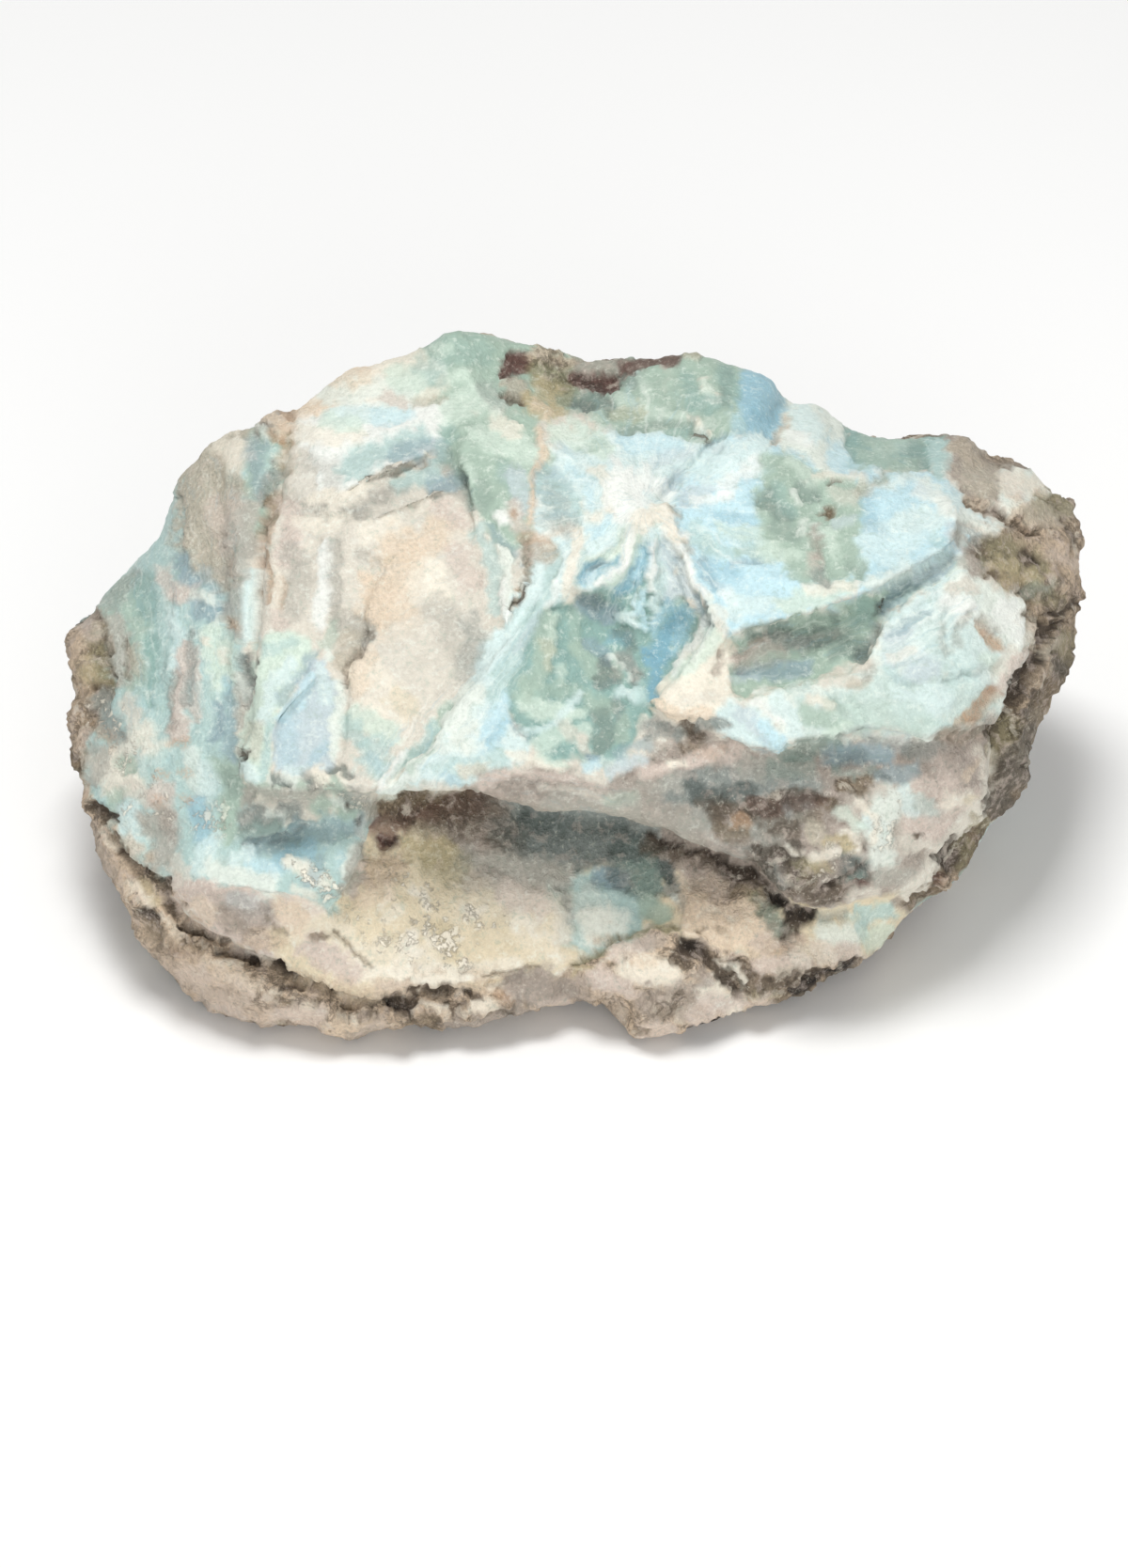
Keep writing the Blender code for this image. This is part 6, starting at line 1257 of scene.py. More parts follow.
# Iron stains: strength, reach in millimetres, line
RUST = [
    (0.5, 0.5, [(-44, -3.4), (-43.2, -5.4)]),
    (0.35, 0.3, [(-3.5, 23), (-3.6, 18), (-4.2, 13)]),
    (0.8, 0.55, [(-37.4, -5.2), (-36.6, -5.4)]),
    (0.8, 0.5, [(-38.8, -8), (-38.2, -8.2)]),
    (0.7, 0.45, [(-36.5, -7.6), (-36, -8)]),
    (0.7, 0.5, [(-36.6, -10.2), (-36, -10.6)]),
    (0.6, 0.5, [(-39, -10.4), (-38.4, -10.8)]),
    (0.7, 0.5, [(38.6, 4.8), (39.3, 3.6)]),
    (0.9, 0.6, [(37, -2.4), (38.6, -0.6)]),
]

# Cracks: width in millimetres, line
CRACKS = [
    (0.08, [(-4.4, 9.6), (-4.8, 8.2), (-5.8, 7)]),
    (0.14, [(-30.8, -5.8), (-31.3, -7), (-31.2, -8)]),
    (0.12, [(28.2, 7.2), (28.6, 7.8), (28.9, 8.6)]),
    (0.12, [(11, 24), (11.8, 23.8), (12.5, 23.2)]),
    (0.14, [(-33, -30.6), (-30.4, -31.2), (-28, -31.6)]),
    (0.18, [(47, 8), (45.2, 6.8), (43.8, 6.6)]),
    (0.14, [(45.8, 6.6), (44.6, 5.6), (43.8, 4.6)]),
]

# The spray of crystal fibres: strength, centre on the layout, and in millimetres the radii between which it
# shows, the softness of its outer edge and how coarse its fibres are
SPRAY_STRENGTH = 0.6
SPRAY_CENTRE = (6.4, 17)
SPRAY_INNER = 1.5
SPRAY_OUTER = 12.5
SPRAY_BLUR = 3.0
SPRAY_TURN = 0.45 * SPRAY_OUTER

# Straight fibres: strength, direction in degrees, outline of the zone on the layout, whose edge is this soft
FIBRE_BLUR = 2.0
FIBRES = [
    (0.45, 96, [(-43, 9), (-38, 18), (-34, 22), (-31, 22), (-31, 4), (-33, -6), (-40, -8), (-43, -2)]),
    (0.2, 20, [(-26, 17.4), (-10, 22), (-7.6, 12), (-8.4, 8), (-11, -1), (-24, 4), (-28.6, 15)]),
    (0.6, -122, [(-21, -9.4), (-16.4, -2.4), (-9, 1.8), (-5, 6), (-3, 4), (-7, -3), (-12, -10)]),
    (0.7, 28, [(28.6, 4.6), (30, 9.6), (36, 12), (38, 8), (34, 3), (29, 2)]),
    (0.6, 20, [(14.8, 1), (14.8, 4.4), (20, 6.2), (27, 7.4), (27.4, 3), (20, 1.2)]),
    (0.4, -8, [(-8.8, -7.6), (2, -8), (6, -10), (4, -12.4), (-2, -11.4), (-9, -10.6)]),
]

# Relief: how it runs, rise and width in millimetres, line. A ridge rises on both sides of its
# line, and a furrow is a ridge of negative rise. A step drops on the right of its line.
RELIEF = [
    ("ridge", -0.5, 0.8, [(13.8, 23.6), (12, 21.4), (10.2, 19.8), (8.4, 17.6)]),
    ("ridge", 0.6, 0.9, [(8.2, 16.6), (9.4, 14.4), (10.4, 12), (11.2, 9.6), (12.6, 7)]),
    ("ridge", 0.4, 0.9, [(6, 16), (3.6, 14), (1.2, 11)]),
    ("ridge", 0.4, 0.8, [(6.6, 15.6), (4.8, 12.4), (3.4, 9.8)]),
    ("ridge", 0.4, 0.8, [(7.4, 15.4), (7, 12), (7.6, 8.4)]),
    ("ridge", -0.4, 0.7, [(5.6, 14.4), (3.2, 12.4), (1.8, 10.6)]),
    ("ridge", -0.4, 0.7, [(6.4, 13.4), (5.4, 10.8), (5, 8.4)]),
    ("ridge", -0.35, 0.7, [(8, 12.8), (8.8, 10), (9.6, 7.6)]),
    ("ridge", -0.5, 0.6, [(-21, 18.7), (-18, 19.6), (-15.4, 20.8), (-13, 21.5)]),
    ("step", 0.4, 2, [(-26, 16.4), (-20, 16.6), (-14, 18.6), (-10.6, 20)]),
    ("ridge", -0.25, 0.8, [(10.6, 17.4), (13.4, 16.9), (16.4, 16.6)]),
    ("ridge", -0.25, 0.8, [(9.6, 20.8), (13, 20), (17, 19.6)]),
    ("ridge", -0.35, 0.6, [(-17.6, -10), (-15.4, -6.6), (-12.6, -3.6)]),
    ("ridge", -0.3, 0.5, [(-16.2, -10), (-14, -6.8), (-11.4, -3.8)]),
    ("ridge", -0.35, 0.6, [(28.6, 5), (31, 6.8), (34.6, 9.2)]),
    ("ridge", -0.35, 0.6, [(28.8, 3.4), (31.6, 5), (34.4, 6.8)]),
    ("ridge", -0.35, 0.7, [(35.6, 8.4), (34.6, 5.8), (35.2, 2.6), (37, 0.8)]),
    ("step", 0.45, 1.6, [(29, 1), (32, 0.4), (36, 0.8), (39.4, 2.4)]),
    ("step", 0.4, 1.2, [(19.6, 0.2), (22.4, 0.8), (24.2, -0.6), (26.8, -1.6), (27.2, -4.2)]),
    ("ridge", 0.3, 0.5, [(15, 2.4), (18, 4), (21, 5.2)]),
    ("ridge", -0.3, 0.6, [(15, 1.2), (19, 2.6), (23, 3.6)]),
    ("ridge", 0.35, 0.5, [(-19.8, -16.2), (-17.4, -17), (-17.6, -19.2)]),
    ("step", 0.5, 1.4, [(-1.4, -17.8), (-0.8, -20.4), (0.2, -23.6)]),
    ("step", 0.45, 2.2, [(-36.6, 18), (-37, 12), (-38.2, 4), (-38, -3)]),
    ("step", 0.35, 2, [(-32.8, 20), (-32.6, 12), (-32, 6), (-32.6, -2)]),
    ("step", 0.5, 1.6, [(-44, 6.6), (-43.6, 3), (-42.8, 0.6), (-43.6, -3)]),
    ("ridge", -0.6, 0.7, [(-44.6, -11.2), (-42.8, -12.4)]),
    ("ridge", -0.6, 0.6, [(-33.6, -24.8), (-30.4, -24.8), (-27, -26.4), (-22.6, -28.3), (-20.2, -29.7)]),
    ("ridge", -0.5, 0.7, [(-36.4, -22.1), (-32.2, -23.6)]),
    ("ridge", -0.6, 0.9, [(10.2, -24.4), (11.6, -24.4), (12.7, -25.5)]),
    ("ridge", -0.5, 0.7, [(36.3, 17.3), (38.2, 16.8), (41.6, 14.7), (43.2, 14.2)]),
    ("ridge", -0.5, 0.7, [(43, 2.6), (41.4, 0.6), (40, -2.2), (38.6, -4.6)]),
    ("ridge", 0.5, 0.6, [(44.4, 5), (43, 2), (41.6, -1.6), (40.6, -4.6)]),
]

# Noise by name: size of its lumps in millimetres, octaves, seed
NOISES = {
    "face edge": (4.0, 2, 17.0),
    "frayed edges": (1.1, 3, 19.0),
    "broad push right": (3.0, 2, 1.0),
    "broad push up": (3.0, 2, 2.0),
    "fine push right": (0.9, 2, 1.0),
    "fine push up": (0.9, 2, 2.0),
    "lumps": (3.0, 4, 11.0),
    "small lumps": (1.1, 2, 12.0),
    "chips": (3.4, 2, 14.0),
    "small chips": (1.3, 2, 18.0),
    "ripples": (6.5, 2, 15.0),
    "fibres": (1.0, 2, 16.0),
    "grey rock": (14.0, 4, 3.0),
    "pale rock": (9.0, 4, 4.0),
    "yellow rock": (7.0, 3, 5.0),
    "dark rock": (5.0, 4, 6.0),
    "red rock": (6.0, 3, 7.0),
    "vein bend": (16.0, 3, 8.0),
    "small vein bend": (4.0, 3, 11.0),
    "vein breadth": (11.0, 3, 9.0),
    "vein green": (4.0, 3, 12.0),
    "vein blue": (3.0, 3, 0.0),
    "flecks": (3.5, 4, 13.0),
    "threads": (12.0, 2, 10.0),
}

# How far one seed lies from the next, how much weaker each octave of noise is, and how much finer
NOISE_SHIFT = (17.3, -9.1, 5.7)
CELL_SHIFT = (11.9, 3.7, -8.3)
NOISE_CALM = 0.9
NOISE_STEP = 2.0

# How painted places are pushed about: millimetres, noise that pushes right, noise that pushes up
PUSHES = [
    (0.55, "broad push right", "broad push up"),
    (0.25, "fine push right", "fine push up"),
]

# Mottling of the hidden back, laid in this order: tint, strength, lift and contrast of its noise, noise
MOTTLING = [
    ("stone", 1.0, 0.5, 1.6, "grey rock"),
    ("tan", 0.8, 0.1, 2.2, "pale rock"),
    ("olive", 0.6, 0.0, 2.4, "yellow rock"),
    ("umber", 0.7, -0.5, 3.0, "dark rock"),
    ("wine", 0.5, -0.9, 3.0, "red rock"),
]

# The vein of larimar across the back, in millimetres: its height at the middle and its slope, how far its
# large and small bends reach, and half its breadth on average, how much that changes and its least value
VEIN_HEIGHT = 17.0
VEIN_SLOPE = 0.22
VEIN_BEND = 3.5
VEIN_SMALL_BEND = 1.6
VEIN_BREADTH = 2.6
VEIN_CHANGE = 6.0
VEIN_LEAST = 0.3

# Tints of the vein, laid in this order: tint, strength, fullness in the middle and its fall outwards, and the
# lift, contrast and name of the noise that breaks it up
VEIN_TINTS = [
    ("shell", 0.9, 2.2, 1.6, 0.0, 0.0, None),
    ("aqua", 1.0, 2.0, 2.0, 0.0, 0.0, None),
    ("ice", 0.8, 1.4, 2.4, 0.0, 0.0, None),
    ("sage", 0.7, 1.6, 2.0, 0.0, 3.0, "vein green"),
    ("blue", 0.7, 1.0, 2.2, 0.0, 2.0, "vein blue"),
    ("aqua", 0.8, 2.6, 0.9, -1.6, 6.0, "flecks"),
]

# Pale threads over the back: strength and thinness
THREAD_STRENGTH = 0.75
THREAD_THINNESS = 22.0

# Noise in the material: scale per millimetre, detail, roughness, swirl
CLOUDS = (0.20, 3.0, 0.5, 0.0)
MOTTLE = (0.75, 5.0, 0.62, 0.0)
FROST = (1.3, 6.0, 0.72, 0.0)
GRIT = (2.6, 4.0, 0.65, 0.0)
SWIRLS = (0.36, 7.0, 0.70, 0.6)
FIBRE_NOISE = (1.0, 4.0, 0.65, 0.0)
FIBRE_SCALE = (2.2, 2.2, 0.2)
CRUMB_SCALE = 1.5
FLOOR_NOISE = (40.0, 2.0, 0.5, 0.0)

# How light the paints are under the stage lights, how much lighter on rock, and how far fibres shade them
TONE = 0.9
ROCK_TONE = 0.10
FIBRE_SHADE = 0.35

# How far each noise shades the paints: everywhere, and besides that on rock
SHADES = {"clouds": (0.14, 0.0), "mottle": (0.30, 0.0), "grit": (0.32, 0.9)}

# How far each noise raises the surface, in millimetres: everywhere, and besides that on rock
RISES = {"mottle": (0.15, 0.35), "frost": (0.16, 0.45), "grit": (0.06, 0.25)}
FIBRE_RISE = 0.15
CRUST_RISE = 0.10
GAP_DEPTH = 0.25
WRINKLE_DEPTH = 0.22
CRUMB_DEPTH = 0.12

# Where rock is wrinkled, by how rocky and how cloudy it is, and how far from its middle a fold is seen
RUGGED_ROCK = (0.5, 0.9)
RUGGED_CLOUDS = (0.40, 0.56)
FOLD_EDGES = (0.026, 0.006)

# What noise lays over the paints, in this order: noise, where it begins and is full, zone, strength, tint
VEILS = [
    ("fibres", (0.50, 0.68), "fibrous", 0.45, "snow"),
    ("fibres", (0.47, 0.34), "fibrous", 0.35, "blue"),
    ("frost", (0.50, 0.72), "larimar", 0.50, "milk"),
    ("frost", (0.48, 0.32), "larimar", 0.30, "sage"),
    ("mottle", (0.50, 0.64), "rock", 0.55, "shell"),
    ("frost", (0.40, 0.34), "rock", 0.32, "soot"),
    ("folds", FOLD_EDGES, "rugged", 0.50, "umber"),
    ("swirls", (0.55, 0.61), "rugged", 0.50, "cream"),
    ("grit", (0.60, 0.70), "rock", 0.55, "cream"),
]

# Chalk, iron stains and cracks in the material: where their noise begins and is full, and their strength
CRUST_EDGES, CRUST_STRENGTH = (0.53, 0.57), 0.85
STAIN_EDGES, STAIN_STRENGTH = (0.36, 0.56), 0.6
GAP_EDGES, GAP_BREAKS, GAP_STRENGTH = (1.0, 0.45), (0.34, 0.44), 0.7
GAP_WAVER = 2.4

# How dull the surface is: larimar, and besides that rock, chalk and grit
LARIMAR_ROUGHNESS = 0.48
ROCK_ROUGHNESS = 0.36
CRUST_ROUGHNESS = 0.25
GRIT_ROUGHNESS = 0.16
SPECULAR = 0.35

# The field that holds the values of each kind of mesh attribute
FIELDS = {"FLOAT": "value", "FLOAT_VECTOR": "vector", "FLOAT_COLOR": "color"}


def smooth_ramp(values):
    """Values of 0 to 1 with soft ends, and those beyond held there."""
    held = np.clip(values, 0.0, 1.0)
    return held * held * (3.0 - 2.0 * held)


def noise_at(points, name):
    """Named noise of about -1 to 1 at points in millimetres."""
    size, octaves, seed = NOISES[name]
    shift = Vector([seed * part for part in NOISE_SHIFT])
    spread = (Vector(p) / size + shift for p in points)
    return np.array([noise.fractal(place, NOISE_CALM, NOISE_STEP, octaves) for place in spread])


def cells_at(points, size, seed):
    """Distance from 0 to about 1 to the nearest point of a loose crowd, for pits."""
    shift = Vector([seed * part for part in CELL_SHIFT])
    return np.array([noise.voronoi(Vector(p) / size + shift)[0][0] for p in points])


def layout_of(points):
    """Points in millimetres as u, v and h on the viewer's layout."""
    lean = math.radians(LEAN_DEG)
    across, back, high = (points - FACE_CENTRE).T
    up = back * math.sin(lean) + high * math.cos(lean)
    out = -back * math.cos(lean) + high * math.sin(lean)
    taper = 1.0 - out / SIGHT
    u = SIGHT_U + (across - SIGHT_U) / taper
    v = SIGHT_V + (up - SIGHT_V) / taper
    return u, v, out


def beside_line(spots, line):
    """Each spot's distance to a line, the side of it the spot is on, and whether the spot is past an end."""
    nearest = np.full(len(spots), np.inf)
    side = np.ones(len(spots))
    beyond = np.zeros(len(spots), bool)
    points = np.array(line, float)
    last = len(points) - 2
    for index, (start, end) in enumerate(zip(points[:-1], points[1:])):
        along = end - start
        share = (spots - start) @ along / (along @ along)
        gap = spots - (start + np.outer(np.clip(share, 0.0, 1.0), along))
        distance = np.hypot(*gap.T)
        turn = np.sign(along[0] * gap[:, 1] - along[1] * gap[:, 0])
        closer = distance < nearest
        nearest = np.where(closer, distance, nearest)
        side = np.where(closer, turn, side)
        off_end = ((share < 0.0) & (index == 0)) | ((share > 1.0) & (index == last))
        beyond = np.where(closer, off_end, beyond)
    return nearest, side, beyond


def near(spots, line, reach):
    """Indices of the spots inside the box round a line, grown by its reach."""
    points = np.array(line, float)
    low, high = points.min(0) - reach, points.max(0) + reach
    return np.flatnonzero(((spots > low) & (spots < high)).all(1))


def inside(spots, outline):
    """Whether each spot lies within a closed outline."""
    crossed = np.zeros(len(spots), bool)
    u, v = spots.T
    for (u0, v0), (u1, v1) in zip(outline, outline[1:] + outline[:1]):
        if v0 == v1:
            continue
        spans = (v0 > v) != (v1 > v)
        crossed ^= spans & (u < u0 + (v - v0) * (u1 - u0) / (v1 - v0))
    return crossed


def area_share(spots, ragged, outline, softness):
    """How fully each spot belongs to an area whose edge is this soft and is frayed by noise."""
    share = np.zeros(len(spots))
    found = near(spots, outline, softness + AREA_MARGIN_MM)
    picked = spots[found]
    distance = beside_line(picked, outline + outline[:1])[0]
    signed = np.where(inside(picked, outline), distance, -distance)
    share[found] = smooth_ramp(0.5 + AREA_FIRMNESS * (signed + FRAY * ragged[found]) / softness)
    return share


def stroke_share(spots, ragged, line, reach):
    """How fully each spot lies under a frayed brush stroke: 1 along its middle, 0 well beyond its reach."""
    share = np.zeros(len(spots))
    found = near(spots, line, STROKE_MARGIN * reach)
    distance = beside_line(spots[found], line)[0]
    share[found] = smooth_ramp(0.5 + STROKE_FIRMNESS * (1.0 - distance / reach + FRAY * ragged[found]))
    return share


def mask_of(spots, ragged, rows):
    """The strongest of several strokes at each spot."""
    mask = np.zeros(len(spots))
    for strength, reach, line in rows:
        mask = np.maximum(mask, strength * stroke_share(spots, ragged, line, reach))
    return mask


def warped(points, u, v):
    """Layout places pushed about a little by noise, so that no painted edge runs straight."""
    spots = np.stack((u, v), 1)
    for push, right, up in PUSHES:
        spots[:, 0] += push * noise_at(points, right)
        spots[:, 1] += push * noise_at(points, up)
    return spots


def linear(colour):
    """Screen values of 0 to 1 as light values."""
    return np.where(colour <= 0.04045, colour / 12.92, ((colour + 0.055) / 1.055) ** 2.4)


class Paint:
    """The colour and the share of host rock at each point of the stone."""

    def __init__(self, count, tints):
        self.tints = tints
        self.colour = np.zeros((count, 3))
        self.rock = np.zeros(count)

    def lay(self, name, share):
        """Lays a tint over what is there, as fully as its share says."""
        cover = share[:, None]
        self.colour = self.colour * (1.0 - cover) + np.array(getattr(self.tints, name)[:]) * cover
        self.rock = self.rock * (1.0 - share) + ROCKINESS.get(name, 0.0) * share


def paint_back(paint, points):
    """The hidden back and underside: mottled host rock with a vein of larimar."""
    paint.lay("bark", np.ones(len(points)))
    for name, strength, lift, contrast, kind in MOTTLING:
        paint.lay(name, strength * smooth_ramp(lift + contrast * noise_at(points, kind)))
    across, _, high = points.T
    bend = VEIN_BEND * noise_at(points, "vein bend") + VEIN_SMALL_BEND * noise_at(points, "small vein bend")
    breadth = np.maximum(VEIN_BREADTH + VEIN_CHANGE * noise_at(points, "vein breadth"), VEIN_LEAST)
    vein = np.abs(high - VEIN_HEIGHT + VEIN_SLOPE * across + bend) / breadth
    for name, strength, middle, fall, lift, contrast, kind in VEIN_TINTS:
        share = strength * smooth_ramp(middle - fall * vein)
        if kind:
            share *= smooth_ramp(lift + contrast * noise_at(points, kind))
        paint.lay(name, share)
    thread = np.abs(noise_at(points, "threads"))
    paint.lay("pearl", THREAD_STRENGTH * smooth_ramp(1.0 - THREAD_THINNESS * thread))


def paint_front(paint, spots, ragged, shown, under):
    """The seen face: areas first, then strokes, among them painted shade under the shelf's lip. The shelf and
    what overhangs it are kept apart by depth.
    """
    paint.lay("pearl", shown)
    over = shown * (1.0 - under)
    for areas, where in ((FACE_AREAS, shown), (OVERHANG_AREAS, over), (SHELF_AREAS_AND_SHADE, shown * under)):
        for name, softness, outline in areas:
            paint.lay(name, where * area_share(spots, ragged, outline, softness))
    levels = {"shelf": shown * under, "lower wall": over, "band over the shelf": over}
    for region, rows in STROKES.items():
        where = levels.get(region, shown)
        for name, strength, reach, line in rows:
            paint.lay(name, where * strength * stroke_share(spots, ragged, line, reach))


def fibre_grain(spots, shown):
    """Each spot's place across the fibres, in two directions, and along them, and how strongly they show."""
    grain = np.zeros((len(spots), 3))
    fibrous = np.zeros(len(spots))
    for strength, degrees, outline in FIBRES:
        angle = math.radians(degrees)
        along = spots @ np.array([math.cos(angle), math.sin(angle)])
        across = spots @ np.array([-math.sin(angle), math.cos(angle)])
        share = strength * area_share(spots, np.zeros(len(spots)), outline, FIBRE_BLUR)
        stronger = share > fibrous
        grain[stronger] = np.stack((across, np.zeros(len(spots)), along), 1)[stronger]
        fibrous = np.maximum(fibrous, share)
    offset = spots - np.array(SPRAY_CENTRE)
    radius = np.hypot(*offset.T)
    bearing = np.arctan2(offset[:, 1], offset[:, 0])
    rim = smooth_ramp((SPRAY_OUTER - radius) / SPRAY_BLUR) * smooth_ramp(radius / SPRAY_INNER)
    share = SPRAY_STRENGTH * rim
    stronger = share > fibrous
    turn = SPRAY_TURN * np.stack((np.cos(bearing), np.sin(bearing)), 1)
    grain[stronger] = np.concatenate((turn, radius[:, None]), 1)[stronger]
    return grain, np.maximum(fibrous, share) * shown


def crack_lines(spots, shown):
    """Signed distance to the nearest crack over its width at each spot, how near it is, and a spare zero."""
    crack = np.zeros((len(spots), 3))
    crack[:, 0] = CRACK_FAR
    for width, line in CRACKS:
        found = near(spots, line, CRACK_REACH)
        distance, side, beyond = beside_line(spots[found], line)
        nearness = smooth_ramp(CRACK_REACH - distance) * ~beyond
        stronger = nearness > crack[found, 1]
        crack[found[stronger], 0] = (side * distance / width)[stronger]
        crack[found[stronger], 1] = nearness[stronger]
    crack[:, 1] *= shown
    return crack


def hand_relief(spots, shown):
    """Rise in millimetres of the listed ridges, furrows and steps."""
    rise_mm = np.zeros(len(spots))
    for kind, height, width, line in RELIEF:
        found = near(spots, line, width)
        distance, side, beyond = beside_line(spots[found], line)
        fade = np.clip(1.0 - distance / width, 0.0, 1.0)
        if kind == "step":
            rise_mm[found] -= height * fade * (side < 0) * ~beyond
        else:
            rise_mm[found] += height * smooth_ramp(fade)
    return rise_mm * shown


def cut_up(node, cuts):
    """The node's solid with every triangle cut into smaller ones, as points in millimetres and triangles."""
    work = bmesh.new()
    work.from_mesh(node.data)
    bmesh.ops.remove_doubles(work, verts=work.verts, dist=SAME_PLACE_MM * MM)
    bmesh.ops.subdivide_edges(work, edges=work.edges, cuts=cuts, use_grid_fill=True)
    bmesh.ops.triangulate(work, faces=work.faces)
    work.verts.index_update()
    points = np.array([v.co[:] for v in work.verts]) / MM
    triangles = np.array([[v.index for v in f.verts] for f in work.faces])
    work.free()
    return points, triangles


def normals_of(points, triangles):
    """Unit normals at the points."""
    a, b, c = (points[triangles[:, corner]] for corner in range(3))
    face = np.cross(b - a, c - a)
    total = np.zeros_like(points)
    for corner in range(3):
        np.add.at(total, triangles[:, corner], face)
    return total / np.maximum(np.linalg.norm(total, axis=1), 1e-9)[:, None]


def blend_facets(points, triangles, rounds):
    """Softens flat facets into each other, and leaves sharp ledges as they are."""
    edges = np.sort(np.concatenate([triangles[:, [0, 1]], triangles[:, [1, 2]], triangles[:, [2, 0]]]), 1)
    first, second = np.unique(edges, axis=0).T
    foot = points[:, 2] < FOOT_MM
    for _ in range(rounds):
        normals = normals_of(points, triangles)
        alike = np.maximum((normals[first] * normals[second]).sum(1), 0.0) ** LEDGE_POWER
        pull = np.zeros_like(points)
        weight = np.zeros(len(points))
        for here, there in ((first, second), (second, first)):
            np.add.at(pull, here, alike[:, None] * (points[there] - points[here]))
            np.add.at(weight, here, alike)
        points = points + BLEND_STEP * pull / np.maximum(weight, 1.0)[:, None]
        points[foot, 2] = 0.0
    return points


def relief_of_paint(paint, triangles):
    """How much lighter each point is than those around it: pale crusts stand proud of dark gaps."""
    light = paint.colour @ np.array(LIGHTNESS)
    calm = light.copy()
    first = triangles.ravel()
    second = triangles[:, [1, 2, 0]].ravel()
    count = np.bincount(first, minlength=len(light)) + 1.0
    for _ in range(CALM_ROUNDS):
        calm = (calm + np.bincount(first, calm[second], len(light))) / count
    return np.clip(light - calm, -CRUST_LIMIT, CRUST_LIMIT)


def roughen(points, triangles, spots, paint, grain, fibrous, shown, sizes):
    """Adds the small relief: lumps and pits of rock, chips, fibres, painted crusts and listed ledges."""
    lumps = noise_at(points, "lumps") + SMALL_SHARE * noise_at(points, "small lumps")
    pits = smooth_ramp(1.0 - PIT_NARROWNESS * cells_at(points, PIT_SPACING, PIT_SEED))
    chips = np.abs(noise_at(points, "chips")) + SMALL_SHARE * np.abs(noise_at(points, "small chips"))
    fibres = noise_at(grain / np.array(FIBRE_SIZE), "fibres")
    larimar = 1.0 - paint.rock
    rise_mm = paint.rock * (sizes.rock_rise / MM * lumps - sizes.pit_rise / MM * pits)
    rise_mm += larimar * sizes.chip_rise / MM * (RIPPLE_SHARE * noise_at(points, "ripples") - chips)
    rise_mm += sizes.fibre_rise / MM * fibres * fibrous
    rise_mm += sizes.crust_rise / MM * relief_of_paint(paint, triangles)
    rise_mm += hand_relief(spots, shown)
    moved = points + rise_mm[:, None] * normals_of(points, triangles)
    moved[points[:, 2] < FOOT_MM, 2] = 0.0
    low, high = (np.array(corner) / MM for corner in CAD_BOX)
    return np.clip(moved, low + [INSET_MM, INSET_MM, 0.0], high - INSET_MM)


class Value:
    """A number in the shader. Python's operators on it add Math nodes."""

    def __init__(self, shading, socket):
        self.shading = shading
        self.socket = socket

    def join(self, operation, *others):
        sockets = dict(enumerate(others))
        return Value(self.shading, self.shading.node("ShaderNodeMath", {"operation": operation}, sockets))

    def __add__(self, other):
        return self.join("ADD", self, other)

    __radd__ = __add__

    def __sub__(self, other):
        return self.join("SUBTRACT", self, other)

    def __rsub__(self, other):
        return self.join("SUBTRACT", other, self)

    def __mul__(self, other):
        return self.join("MULTIPLY", self, other)

    def __abs__(self):
        return self.join("ABSOLUTE", self)

    def ramp(self, low, high):
        """0 below low, 1 above high, and smooth between. High may be the lower of the two."""
        settings = {"interpolation_type": "SMOOTHSTEP"}
        sockets = {"Value": self, "From Min": min(low, high), "From Max": max(low, high)}
        rising = Value(self.shading, self.shading.node("ShaderNodeMapRange", settings, sockets))
        return rising if low <= high else 1 - rising


